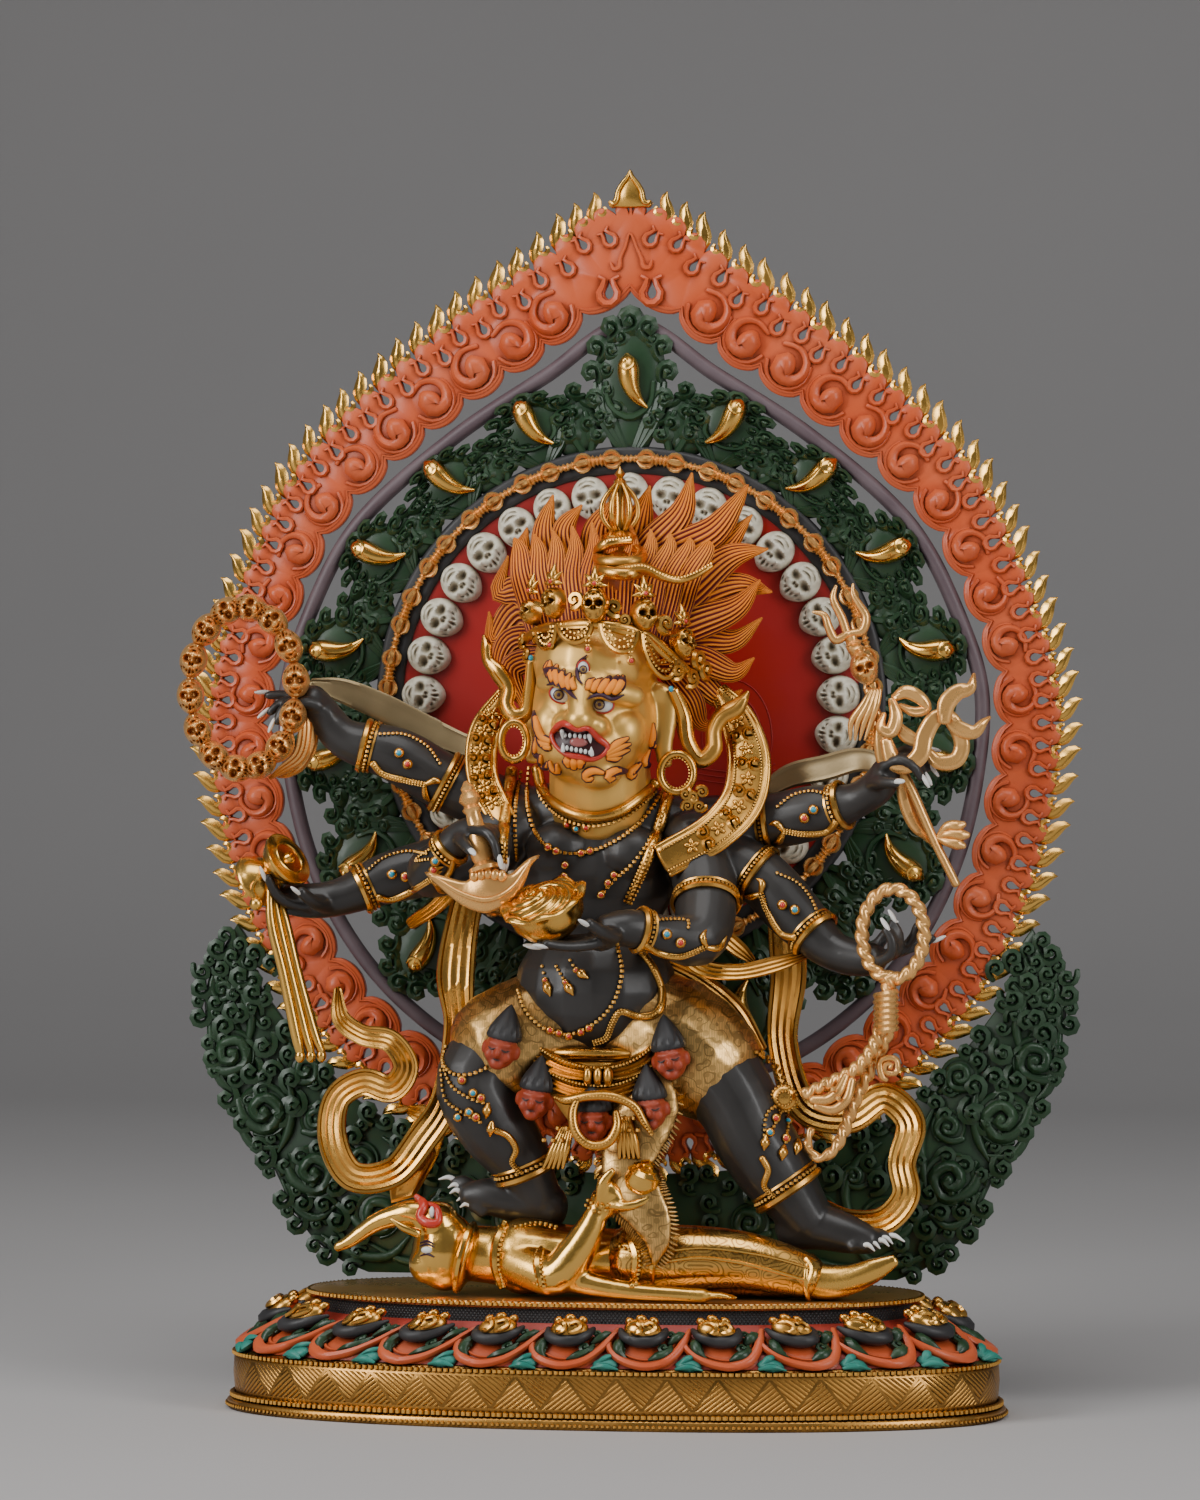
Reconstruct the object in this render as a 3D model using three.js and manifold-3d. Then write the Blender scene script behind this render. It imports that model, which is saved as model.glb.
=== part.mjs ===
// A six-armed guardian figure striding over a lying elephant-headed figure, on an oval lotus
// plinth, in front of a tall openwork aureole of scrolls and flames.
// Millimetres, +Z up, origin at the middle of the plinth's underside, the figure faces -Y.
import * as THREE from "three";
import { mergeVertices } from "three/addons/utils/BufferGeometryUtils.js";
import Module from "manifold-3d";

const wasm = await Module();
wasm.setup();

// Driving sizes
const FIGURE_HEIGHT = 406; // plinth top to the tip of the finial on the hair
const DRAWN_HEIGHT = 406; // the height at which the figure's points below are given
const DRAWN_GROUND = 60.5; // the level of the plinth's top in those points
const SEAT_GAP = 0.3; // clearance between pieces that touch
const PLINTH_HEIGHT = 60.5;
const PLINTH_TOP_HALF_WIDTH = 155;
const PLINTH_FLARE = 1.265; // the foot's plan against the top plate's plan
const PLINTH_EDGE = 9; // top plate left free behind the aureole
const PETALS = 22;
const AUREOLE_HEIGHT = 564.5;
const AUREOLE_HALF_WIDTH = 229;
const AUREOLE_THICKNESS = 6;
const FIGURE_BACK = 42; // how far the drawn figure reaches back from the plinth's middle
const AUREOLE_GAP = 7; // free space between the figure's back and the aureole's raised work
const FLAME_TIP = 14;
const FLAME_BAND_SIDE = 42; // tip to inner scallops at the sides
const FLAME_BAND_TOP = 66;
const FLAME_TIPS = 58;
const SCALLOPS = 28;
const RING_WIDTH = 7; // plain rod inside the flames
const RING_GAP = 4.5; // from the rod to the scallops of the flame band at the sides
const HALO_RADIUS = 131.5;
const HALO_RIM = 14;
const HALO_CENTRE = 292.5; // height of the halo's centre over the plinth
const HALO_RIM_RISE = 2;
const SKULL_RING_RADIUS = 108;
const SKULLS = 33;
const SKULL_SIZE = 20;
const LEAF_CLUSTERS = 18;
const JEWEL_LENGTH = 20; // gilt drop on each cluster

const figureScale = FIGURE_HEIGHT / DRAWN_HEIGHT;
const RELIEF = 4; // how far the aureole's bosses stand proud of its face
const aureoleY = FIGURE_BACK * figureScale + AUREOLE_GAP + RELIEF + AUREOLE_THICKNESS / 2;
const plinthTopHalfDepth = aureoleY + AUREOLE_THICKNESS / 2 + PLINTH_EDGE;

// Solids

// A closed geometry as a solid, its faces turned outwards.
function solid(geometry) {
  const bare = geometry.index ? geometry.toNonIndexed() : geometry.clone();
  bare.deleteAttribute("normal");
  bare.deleteAttribute("uv");
  const merged = mergeVertices(bare, 1e-4);
  const verts = merged.attributes.position.array;
  const tris = new Uint32Array(merged.index.array);
  const corner = (i) => new THREE.Vector3(verts[3 * i], verts[3 * i + 1], verts[3 * i + 2]);
  let volume = 0;
  for (let i = 0; i < tris.length; i += 3) {
    const [a, b, c] = [corner(tris[i]), corner(tris[i + 1]), corner(tris[i + 2])];
    volume += a.dot(b.cross(c));
  }
  if (volume < 0)
    for (let i = 0; i < tris.length; i += 3) [tris[i + 1], tris[i + 2]] = [tris[i + 2], tris[i + 1]];
  return new wasm.Manifold(new wasm.Mesh({ numProp: 3, vertProperties: verts, triVerts: tris }));
}

const join = (solids) => solids.reduce((whole, piece) => whole.add(piece));

// The largest single body of a solid: crumbs that a cut leaves are dropped.
function largest(piece) {
  return piece.decompose().reduce((best, body) => (body.volume() > best.volume() ? body : best));
}

function ball([x, y, z], [rx, ry, rz], { across = 8, up = 6, turn = [0, 0, 0], swell = 0 } = {}) {
  const g = new THREE.SphereGeometry(1, across, up);
  g.rotateX(Math.PI / 2);
  g.scale(rx + swell, ry + swell, rz + swell);
  g.applyMatrix4(new THREE.Matrix4().makeRotationFromEuler(new THREE.Euler(...turn)));
  g.translate(x, y, z);
  return solid(g);
}

// A turned solid: profile points are [radius, height] from one end of the axis to the other.
function turned(profile, around, place, turn = [0, 0, 0]) {
  const g = new THREE.LatheGeometry(profile.map(([r, h]) => new THREE.Vector2(r, h)), around);
  g.rotateX(Math.PI / 2);
  g.applyMatrix4(new THREE.Matrix4().makeRotationFromEuler(new THREE.Euler(...turn)));
  g.translate(...place);
  return solid(g);
}

// A smooth line through stations [x, y, z, size...], each size carried along with it.
function stationsAlong(stations, rings, closed = false) {
  const line = new THREE.CatmullRomCurve3(
    stations.map(([x, y, z]) => new THREE.Vector3(x, y, z)), closed, "centripetal");
  return Array.from({ length: rings }, (_, i) => {
    const t = closed ? i / rings : i / (rings - 1);
    const at = t * (closed ? stations.length : stations.length - 1);
    const low = Math.min(Math.floor(at), stations.length - 1);
    const high = closed ? (low + 1) % stations.length : Math.min(low + 1, stations.length - 1);
    const share = at - low;
    return {
      centre: line.getPoint(t),
      along: line.getTangent(t).normalize(),
      sizes: stations[low].slice(3).map((s, k) => s + (stations[high][3 + k] - s) * share),
    };
  });
}

// A closed skin over rings of points, with a pole at each end, or joined end to end.
function skin(rings, poles) {
  const sides = rings[0].length;
  const points = rings.flat();
  const faces = [];
  const last = rings.length - 1;
  const loops = poles ? last : rings.length;
  for (let i = 0; i < loops; i++) {
    const next = (i + 1) % rings.length;
    for (let k = 0; k < sides; k++) {
      const [a, b] = [i * sides + k, i * sides + ((k + 1) % sides)];
      const [c, d] = [next * sides + k, next * sides + ((k + 1) % sides)];
      faces.push(a, c, b, b, c, d);
    }
  }
  if (poles) {
    const base = points.length;
    points.push(...poles);
    for (let k = 0; k < sides; k++) {
      const next = (k + 1) % sides;
      faces.push(base, k, next, base + 1, last * sides + next, last * sides + k);
    }
  }
  const g = new THREE.BufferGeometry();
  g.setAttribute("position", new THREE.Float32BufferAttribute(points.flatMap((p) => p.toArray()), 3));
  g.setIndex(faces);
  return solid(g);
}

// A rounded solid along stations [x, y, z, radius], such as a limb, a lock of hair or a rope.
function limb(stations, { sides = 7, steps = 2, swell = 0, closed = false, round = 0.55 } = {}) {
  const count = closed ? stations.length * steps : (stations.length - 1) * steps + 1;
  const sections = stationsAlong(stations, count, closed);
  let side = new THREE.Vector3(0, 1, 0);
  if (Math.abs(sections[0].along.y) > 0.9) side.set(1, 0, 0);
  const rings = sections.map(({ centre, along, sizes }) => {
    side = side.clone().addScaledVector(along, -side.dot(along)).normalize();
    const other = along.clone().cross(side);
    return Array.from({ length: sides }, (_, k) => {
      const a = (2 * Math.PI * k) / sides;
      return centre.clone()
        .addScaledVector(side, Math.cos(a) * (sizes[0] + swell))
        .addScaledVector(other, Math.sin(a) * (sizes[0] + swell));
    });
  });
  if (closed) return skin(rings, null);
  const pole = (s, sign) =>
    s.centre.clone().addScaledVector(s.along, sign * (s.sizes[0] + swell) * round + sign * swell);
  return skin(rings, [pole(sections[0], -1), pole(sections.at(-1), 1)]);
}

// A flat band along stations [x, y, z, half width], its broad face turned to `facing`.
function band(stations, thickness, { facing = [0, 1, 0], steps = 2, swell = 0 } = {}) {
  const sections = stationsAlong(stations, (stations.length - 1) * steps + 1);
  const face = new THREE.Vector3(...facing).normalize();
  const rings = sections.map(({ centre, along, sizes }) => {
    const across = along.clone().cross(face).normalize();
    const out = across.clone().cross(along).normalize();
    const [w, t] = [sizes[0] + swell, thickness / 2 + swell];
    return [[-w, -t], [0, -t * 1.3], [w, -t], [w, t], [-w, t]].map(([a, b]) =>
      centre.clone().addScaledVector(across, a).addScaledVector(out, b));
  });
  const pole = (s, sign) => s.centre.clone().addScaledVector(s.along, sign * (0.5 + swell));
  return skin(rings, [pole(sections[0], -1), pole(sections.at(-1), 1)]);
}

// A plate in the XZ plane, from an outline of [x, z] points, centred on y = middle.
function plate(outline, thickness, middle = 0, holes = []) {
  const wound = (points, sign) => {
    const vectors = points.map(([x, z]) => new THREE.Vector2(x, z));
    return THREE.ShapeUtils.area(vectors) * sign < 0 ? vectors.reverse() : vectors;
  };
  const shape = new THREE.Shape(wound(outline, 1));
  for (const hole of holes) shape.holes.push(new THREE.Path(wound(hole, -1)));
  const g = new THREE.ExtrudeGeometry(shape, { depth: thickness, bevelEnabled: false });
  g.rotateX(Math.PI / 2);
  g.translate(0, middle + thickness / 2, 0);
  return solid(g);
}

// Plinth

// Plan of the plinth at a share of the top plate's size: a slightly squared oval.
const PLAN_POWER = 2 / 2.25;
function planPoint(share, angle) {
  const squared = (v) => Math.sign(v) * Math.abs(v) ** PLAN_POWER;
  return [
    PLINTH_TOP_HALF_WIDTH * share * squared(Math.cos(angle)),
    plinthTopHalfDepth * share * squared(Math.sin(angle)),
  ];
}

// Angles that divide the plan into equal lengths.
function evenAngles(count, share) {
  const FINE = 720;
  const marks = [0];
  for (let i = 0; i < FINE; i++) {
    const [a, b] = [planPoint(share, (2 * Math.PI * i) / FINE), planPoint(share, (2 * Math.PI * (i + 1)) / FINE)];
    marks.push(marks[i] + Math.hypot(b[0] - a[0], b[1] - a[1]));
  }
  return Array.from({ length: count }, (_, k) => {
    const wanted = ((k + 0.5) / count) * marks[FINE];
    return (2 * Math.PI * marks.findIndex((m) => m >= wanted)) / FINE;
  });
}

// Each row is a moulding: plan share against the top plate, height share, and how far the petals
// stand out of it and the dips between them sink in.
function makePlinth() {
  const foot = PLINTH_FLARE;
  const rows = [
    [foot, 0, 0], [foot, 0.1, 0], [foot * 0.98, 0.13, 0], [foot * 0.985, 0.45, 0],
    [1.14, 0.62, 0.03], [1.045, 0.8, 0.022], [0.955, 0.8, 0], [0.955, 0.93, 0], [1, 0.95, 0], [1, 1, 0],
  ];
  const angles = evenAngles(PETALS * 2, foot);
  const rings = rows.map(([share, level, wave]) => angles.map((a, i) => {
    const swing = i % 2 ? -wave : wave;
    return new THREE.Vector3(...planPoint(share + swing, a), (level + swing) * PLINTH_HEIGHT);
  }));
  return skin(rings, [new THREE.Vector3(0, 0, 0), new THREE.Vector3(0, 0, PLINTH_HEIGHT)]);
}

// Aureole, in its own frame: x across, z up from the plinth's top, y from its middle plane

// Right half of the line through the flames' tips, as shares of the half width and the height.
const TIP_LINE = [
  [0, 1], [0.245, 0.934], [0.52, 0.853], [0.8, 0.74], [0.935, 0.626], [1, 0.53], [0.985, 0.433],
  [0.926, 0.339], [0.81, 0.247], [0.646, 0.173], [0.437, 0.117], [0.218, 0.092], [0, 0.086],
];
const BELT = 0.53; // share of the height at which the aureole is widest

// The tip line drawn in by the given insets at the side, the top and the foot.
function aureoleLine(side, top, foot) {
  const across = 1 - side / AUREOLE_HALF_WIDTH;
  const above = 1 - top / (AUREOLE_HEIGHT * (1 - BELT));
  const below = 1 - foot / (AUREOLE_HEIGHT * (BELT - TIP_LINE.at(-1)[1]));
  const place = ([x, z], sign) => {
    const rise = (z - BELT) * (z > BELT ? above : below);
    return new THREE.Vector3(sign * x * across * AUREOLE_HALF_WIDTH, 0, (BELT + rise) * AUREOLE_HEIGHT);
  };
  const right = TIP_LINE.map((p) => place(p, 1));
  const left = TIP_LINE.slice(1, -1).reverse().map((p) => place(p, -1));
  return new THREE.CatmullRomCurve3([...right, ...left], true, "centripetal");
}

// A point of a closed line and the direction from it towards the inside of the aureole.
function pointAndInward(line, share) {
  const t = ((share % 1) + 1) % 1;
  const along = line.getTangentAt(t);
  return { point: line.getPointAt(t), inward: new THREE.Vector3(along.z, 0, -along.x) };
}

const flatPoint = (v) => [v.x, v.z];

// Jagged line through the flames' tips and the dips between them, each tip leaning to the apex.
function flameLine() {
  const tips = aureoleLine(0, 0, 0);
  const LEAN = 0.2; // as a share of the flames' spacing
  return Array.from({ length: FLAME_TIPS * 2 }, (_, i) => {
    const isTip = i % 2 === 0;
    const lean = !isTip || i === 0 ? 0 : i < FLAME_TIPS ? -LEAN : LEAN;
    const { point, inward } = pointAndInward(tips, (i / 2 + lean) / FLAME_TIPS);
    return flatPoint(point.addScaledVector(inward, isTip ? 0 : FLAME_TIP));
  });
}

// Openings between the scalloped inner edge of the flame band and the plain ring.
function scallopGaps() {
  const edge = aureoleLine(FLAME_BAND_SIDE, FLAME_BAND_TOP, FLAME_BAND_SIDE);
  const ring = ringLine(RING_WIDTH / 2);
  return Array.from({ length: SCALLOPS }, (_, i) => {
    const at = (line, step) => flatPoint(line.getPointAt((i + 0.5 + step) / SCALLOPS));
    return [at(edge, -0.38), at(edge, 0.38), at(ring, 0)];
  });
}

// Middle line of the plain ring inside the flames, moved outwards by an amount.
function ringLine(outwards) {
  const inset = FLAME_BAND_SIDE + RING_GAP + RING_WIDTH / 2 - outwards;
  return aureoleLine(inset, inset + FLAME_BAND_TOP - FLAME_BAND_SIDE + RING_GAP, inset);
}

// Distance from the halo's centre to the ring's inner edge, at an angle from straight up.
function ringReach(angle) {
  const ray = new THREE.Vector3(Math.sin(angle), 0, Math.cos(angle));
  return ringLine(-RING_WIDTH / 2).getPoints(180).reduce((best, p) => {
    const arm = new THREE.Vector3(p.x, 0, p.z - HALO_CENTRE);
    const match = arm.clone().normalize().dot(ray);
    return match > best.match ? { match, reach: arm.length() } : best;
  }, { match: -1, reach: 0 }).reach;
}

const haloPoint = (radius, angle) => [radius * Math.sin(angle), HALO_CENTRE + radius * Math.cos(angle)];

// Openings between the clusters of curled leaves that join the halo to the ring.
function leafGaps() {
  return Array.from({ length: LEAF_CLUSTERS }, (_, k) => {
    const angle = (2 * Math.PI * (k + 0.5)) / LEAF_CLUSTERS;
    const reach = ringReach(angle);
    const depth = reach - HALO_RADIUS;
    const wide = 0.32 * (2 * Math.PI / LEAF_CLUSTERS);
    return [
      haloPoint(HALO_RADIUS + 0.25 * depth, angle),
      haloPoint(reach - 1, angle + wide),
      haloPoint(reach - 1, angle - wide),
    ];
  });
}

// Raised rim of the halo, which carries a garland.
function haloRim() {
  const AROUND = 26;
  const circle = (radius) => Array.from({ length: AROUND }, (_, i) => haloPoint(radius, (2 * Math.PI * i) / AROUND));
  return plate(circle(HALO_RADIUS), AUREOLE_THICKNESS, -HALO_RIM_RISE, [circle(HALO_RADIUS - HALO_RIM)]);
}

// One skull of the garland on the halo, wider at the brow.
function haloSkull(angle) {
  const [wide, tall] = [SKULL_SIZE * 0.46, SKULL_SIZE * 0.52];
  const shape = [[-0.6, -1], [0.6, -1], [1, 0.8], [-1, 0.8]];
  const turnedShape = shape.map(([x, z]) => [
    SKULL_RING_RADIUS * Math.sin(angle) + x * wide * Math.cos(angle) + z * tall * Math.sin(angle),
    HALO_CENTRE + SKULL_RING_RADIUS * Math.cos(angle) - x * wide * Math.sin(angle) + z * tall * Math.cos(angle),
  ]);
  return plate(turnedShape, AUREOLE_THICKNESS, -HALO_RIM_RISE * 1.2);
}

// Drop-shaped jewel set on a cluster of leaves.
function jewel(k) {
  const angle = (2 * Math.PI * k) / LEAF_CLUSTERS;
  const [x, z] = haloPoint((HALO_RADIUS + ringReach(angle)) / 2, angle);
  const [wide, tall] = [JEWEL_LENGTH * 0.21, JEWEL_LENGTH * 0.5];
  return ball([x, -AUREOLE_THICKNESS / 2, z], [wide, RELIEF, tall], { across: 4, up: 3, turn: [0, angle + 0.9, 0] });
}

// The broad wings of scrolling leaves at the foot, joined under the flames.
const WING_OUTER = [
  [0.9, 0.318], [0.965, 0.27], [0.975, 0.235], [0.95, 0.205], [0.93, 0.172], [0.885, 0.143],
  [0.845, 0.118], [0.81, 0.09], [0.775, 0.06], [0.735, 0.036], [0.67, 0.014], [0.6, 0],
];
const WING_INNER = [
  [0.87, 0.3], [0.855, 0.265], [0.82, 0.245], [0.765, 0.215], [0.69, 0.183], [0.6, 0.15],
  [0.46, 0.125], [0.25, 0.1], [0, 0.093],
];
function wings() {
  const spread = (points, count) => new THREE.CatmullRomCurve3(
    points.map(([x, z]) => new THREE.Vector3(x * AUREOLE_HALF_WIDTH, 0, z * AUREOLE_HEIGHT)),
    false, "centripetal").getSpacedPoints(count);
  const CURLS = 9;
  const outer = spread(WING_OUTER, CURLS * 2).map((p, i) => {
    const out = i % 2 ? 3.2 : 0;
    return [p.x + out, Math.max(p.z - (i > CURLS ? out * 0.5 : 0), 0)];
  });
  const inner = spread(WING_INNER, 9).map(flatPoint);
  const right = [...inner.slice().reverse(), ...outer];
  const left = right.slice(1).reverse().map(([x, z]) => [-x, z]);
  const face = -AUREOLE_THICKNESS / 2;
  const scrolls = [[0.905, 0.2, 12], [0.83, 0.15, 13], [0.72, 0.09, 13], [0.57, 0.045, 12], [0.93, 0.255, 8]];
  const bosses = scrolls.flatMap(([x, z, r]) => [1, -1].map((sign) =>
    ball([sign * x * AUREOLE_HALF_WIDTH, face, z * AUREOLE_HEIGHT], [r, RELIEF, r], { across: 5, up: 3 })));
  return join([plate([...right, ...left], AUREOLE_THICKNESS), ...bosses]);
}

function makeAureole() {
  const gaps = [...scallopGaps(), ...leafGaps()].map((gap) => plate(gap, AUREOLE_THICKNESS * 2));
  const openwork = gaps.reduce((sheet, gap) => sheet.subtract(gap), plate(flameLine(), AUREOLE_THICKNESS));
  const skulls = Array.from({ length: SKULLS }, (_, k) => haloSkull((2 * Math.PI * k) / SKULLS));
  const jewels = Array.from({ length: LEAF_CLUSTERS }, (_, k) => jewel(k));
  const whole = join([openwork, wings(), haloRim(), ...skulls, ...jewels]);
  return largest(whole.translate([0, aureoleY, PLINTH_HEIGHT + SEAT_GAP]));
}

// The figure and what it holds. Points are drawn in millimetres from the plinth's middle, at
// DRAWN_HEIGHT, and follow the figure's own height.

const drawn = ([x, y, z]) =>
  [x * figureScale, y * figureScale, PLINTH_HEIGHT + (z - DRAWN_GROUND) * figureScale];
const drawnStations = (stations) => stations.map(([x, y, z, ...sizes]) =>
  [...drawn([x, y, z]), ...sizes.map((size) => size * figureScale)]);
const bodyLimb = (stations, options) => limb(drawnStations(stations), options);
const bodyBand = (stations, thickness, options) =>
  band(drawnStations(stations), thickness * figureScale, options);
const bodyBall = (centre, radii, options) =>
  ball(drawn(centre), radii.map((r) => r * figureScale), options);

// A small skull with its jaw.
function skull([x, y, z], size, swell = 0) {
  return bodyLimb([[x, y - size * 0.4, z - size * 1.1, size * 0.55], [x, y, z, size]],
    { sides: 4, steps: 1, round: 0.8, swell });
}

function torso() {
  return join([
    bodyBall([-7, -6, 187], [34, 26, 22], { across: 6, up: 4 }),
    bodyBall([-7, -14, 211], [41, 35, 36], { across: 9, up: 6 }),
    bodyBall([-8, -6, 268], [41, 27, 35], { across: 8, up: 5 }),
    bodyLimb([[-49, 0, 297, 14], [-6, -3, 296, 19], [40, 0, 291, 14]], { sides: 6, steps: 1, round: 0.8 }),
    bodyLimb([[-7, -8, 296, 22], [-6, -16, 322, 21]], { sides: 6, steps: 1 }),
  ]);
}

function head() {
  return join([
    bodyBall([-6, -22, 352], [31, 32, 36], { across: 8, up: 5 }),
    bodyBall([-8, -34, 333], [27, 24, 19], { across: 6, up: 4 }),
    bodyBall([-5, -18, 374], [33, 33, 25], { across: 7, up: 4 }),
    bodyBall([-7, -56, 348], [7, 9, 7], { across: 4, up: 3 }),
    bodyBall([26, -15, 345], [7, 10, 18], { across: 4, up: 3 }),
    bodyBall([-37, -15, 347], [7, 10, 18], { across: 4, up: 3 }),
  ]);
}

// Locks of flaming hair: root, bend and tip of each.
const LOCKS = [
  [[-30, -4, 372], [-52, 0, 362], [-47, 0, 340]],
  [[-26, -4, 384], [-48, 2, 388], [-66, 4, 398]],
  [[-22, 0, 400], [-40, 4, 412], [-49, 8, 436]],
  [[-12, 2, 412], [-24, 6, 436], [-31, 8, 462]],
  [[8, 4, 420], [20, 8, 446], [38, 10, 472]],
  [[26, 4, 412], [50, 8, 440], [70, 12, 464]],
  [[30, 4, 400], [58, 8, 416], [80, 8, 433]],
  [[30, 2, 388], [60, 6, 392], [83, 4, 410]],
  [[26, 2, 366], [54, 4, 362], [72, 4, 352]],
];
function hair(swell) {
  const locks = LOCKS.map(([root, bend, tip]) =>
    bodyLimb([[...root, 18], [...bend, 13], [...tip, 2]], { sides: 4, steps: 1, round: 0.2, swell }));
  return join([bodyBall([8, 2, 400], [42, 16, 42], { across: 6, up: 4, swell }), ...locks]);
}

// The bands of the crown, its five skulls, and the finial with a snake round its foot.
const CROWN_BAND = [[-36, -20, 381], [-24, -43, 387], [-2, -52, 389], [16, -46, 378], [28, -22, 373]];
const CROWN_SKULLS = [[-35, -26, 397], [-23, -40, 404], [-2, -47, 404], [19, -41, 397], [32, -25, 386]];
function crown(swell) {
  const settings = CROWN_SKULLS.map(([x, y, z]) =>
    bodyLimb([[x, y + 1, z - 16, 5.5], [x, y, z, 7.5], [x, y + 2, z + 15, 1.5]], { sides: 4, steps: 1, swell }));
  const profile = [[0, -4], [10, -2], [5, 5], [9, 11], [5, 15], [9.5, 21], [7, 28], [2, 34], [0, 39]];
  const finial = turned(profile.map(([r, h]) => [r * figureScale, h * figureScale]), 5,
    drawn([3, -6, 430]));
  const snake = [[-11, -12, 424, 2.8], [2, -17, 421, 3.4], [20, -15, 420, 3.6], [38, -8, 415, 3.2], [54, -4, 424, 2]];
  return join([
    bodyLimb(CROWN_BAND.map((p) => [...p, 5]), { sides: 4, steps: 1, swell }), ...settings, finial,
    bodyLimb(snake, { sides: 3, steps: 1, swell }),
  ]);
}
const headdress = (swell = 0) => join([hair(swell), crown(swell)]);

// A ring that hangs at the ear, with the knob above it.
function earring([x, y, z], radius) {
  const AROUND = 7;
  const ring = Array.from({ length: AROUND }, (_, i) => {
    const a = (2 * Math.PI * i) / AROUND;
    return [x + radius * Math.cos(a), y, z + radius * Math.sin(a), 2.4];
  });
  return join([
    bodyLimb(ring, { sides: 3, steps: 1, closed: true }),
    bodyBall([x, y + 3, z + radius + 4], [6.5, 6, 7], { across: 4, up: 3 }),
  ]);
}

// Three arms a side, each from the shoulder to the wrist, and the closed or cupped hand at its end.
const RIGHT_ARMS = [
  [[-46, 4, 298, 15], [-84, 2, 313, 14.5], [-110, -4, 328, 14], [-137, -8, 337, 10], [-147, -10, 350, 8.5], [-154, -14, 361, 7]],
  [[-46, -4, 288, 15], [-84, -8, 274, 14.5], [-113, -16, 266, 13], [-135, -22, 257, 9.5], [-150, -24, 255, 9], [-166, -27, 256, 6]],
  [[-46, -10, 294, 15.5], [-72, -24, 278, 15], [-86, -38, 270, 13], [-79, -52, 277, 9], [-67, -58, 288, 8.5], [-54, -60, 292, 6]],
];
const LEFT_ARMS = [
  [[38, 4, 293, 15], [78, 4, 295, 14], [102, 0, 300, 13.5], [123, -6, 306, 9], [134, -11, 313, 9], [142, -16, 324, 6]],
  [[36, -4, 285, 15], [74, -8, 268, 14.5], [94, -12, 248, 14], [112, -18, 232, 10], [126, -22, 228, 9], [142, -27, 228, 5]],
  [[40, -8, 288, 16], [50, -26, 258, 15.5], [48, -44, 238, 14], [33, -54, 240, 10.5], [17, -64, 244, 9.5], [-2, -72, 242, 8]],
];
const RIGHT_FINGER = [[-168, -24, 258, 3.6], [-176, -26, 268, 2.8], [-186, -28, 268, 1.4]];
const LEFT_FINGER = [[0, -78, 250, 4], [-18, -82, 236, 3.4], [-34, -80, 238, 1.6]];
function arms(stations, finger, swell = 0) {
  const parts = stations.map((arm) => bodyLimb(arm, { sides: 5, steps: 1, swell }));
  const hands = stations.map((arm) => arm.at(-1)).map(([x, y, z]) =>
    bodyBall([x, y, z], [9, 7, 8], { across: 4, up: 3, swell }));
  return join([...parts, ...hands, bodyLimb(finger, { sides: 3, steps: 1, swell })]);
}
const rightArms = (swell) => arms(RIGHT_ARMS, RIGHT_FINGER, swell);
const leftArms = (swell) => arms(LEFT_ARMS, LEFT_FINGER, swell);

// Legs in a lunge, the hide round the hips with its tail, and the knotted belt.
const RIGHT_LEG = [[-22, -6, 184, 27], [-52, -20, 182, 25], [-70, -32, 165, 21], [-60, -31, 140, 17], [-40, -27, 117, 12], [-34, -25, 106, 11]];
const LEFT_LEG = [[10, -6, 186, 28], [44, -15, 178, 26], [66, -22, 158, 21], [80, -23, 134, 18], [96, -21, 109, 13], [103, -20, 97, 11]];
const RIGHT_FOOT = [[-28, -24, 103, 9], [-48, -27, 105, 9.5], [-66, -29, 109, 8], [-76, -30, 113, 3.5]];
const LEFT_FOOT = [[98, -18, 95, 9.5], [116, -21, 93, 10], [134, -24, 91, 8], [146, -26, 92, 3.5]];
function legsAndSkirt() {
  const leg = { sides: 6, steps: 1 };
  const drape = { sides: 6, steps: 1, round: 0.2 };
  const WAIST_POINTS = 9;
  const waist = Array.from({ length: WAIST_POINTS }, (_, i) => {
    const a = (2 * Math.PI * i) / WAIST_POINTS;
    return [-7 + 37 * Math.cos(a), -11 + 29 * Math.sin(a), 188 - 5 * Math.cos(a), 4];
  });
  return join([
    ...[RIGHT_LEG, LEFT_LEG].map((s) => bodyLimb(s, leg)),
    ...[RIGHT_FOOT, LEFT_FOOT].map((s) => bodyLimb(s, { sides: 5, steps: 1 })),
    bodyLimb([[-8, -3, 192, 31], [-34, -13, 189, 31], [-60, -24, 181, 28]], drape),
    bodyLimb([[0, -3, 192, 31], [34, -12, 184, 31], [64, -20, 163, 26]], drape),
    bodyBand([[-2, -30, 168, 15], [4, -38, 140, 14], [14, -44, 112, 11], [24, -48, 92, 4]], 7, { steps: 1 }),
    bodyBand([[-7, 14, 190, 30], [-8, 20, 165, 30], [-6, 18, 142, 18]], 7, { steps: 1 }),
    bodyLimb(waist, { sides: 3, steps: 1, closed: true }),
  ]);
}

// Garland of five cut heads, each with its hair drawn up in a cone.
const GARLAND = [[-48.5, -48, 184], [-32, -46, 159], [-2, -50, 149], [26, -48, 155], [35.5, -46, 179.5]];
function garland() {
  const heads = GARLAND.map(([x, y, z]) =>
    bodyLimb([[x, y, z - 6, 6], [x, y, z + 2, 8.5], [x, y + 1, z + 9, 7], [x, y + 1, z + 19, 1.5]],
      { sides: 4, steps: 1 }));
  const cord = [[-58, -34, 196, 2.6], ...GARLAND.map(([x, y, z]) => [x, y + 6, z + 2, 3.2]), [40, -32, 194, 2.6]];
  return join([...heads, bodyLimb(cord, { sides: 3, steps: 1 })]);
}

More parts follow.
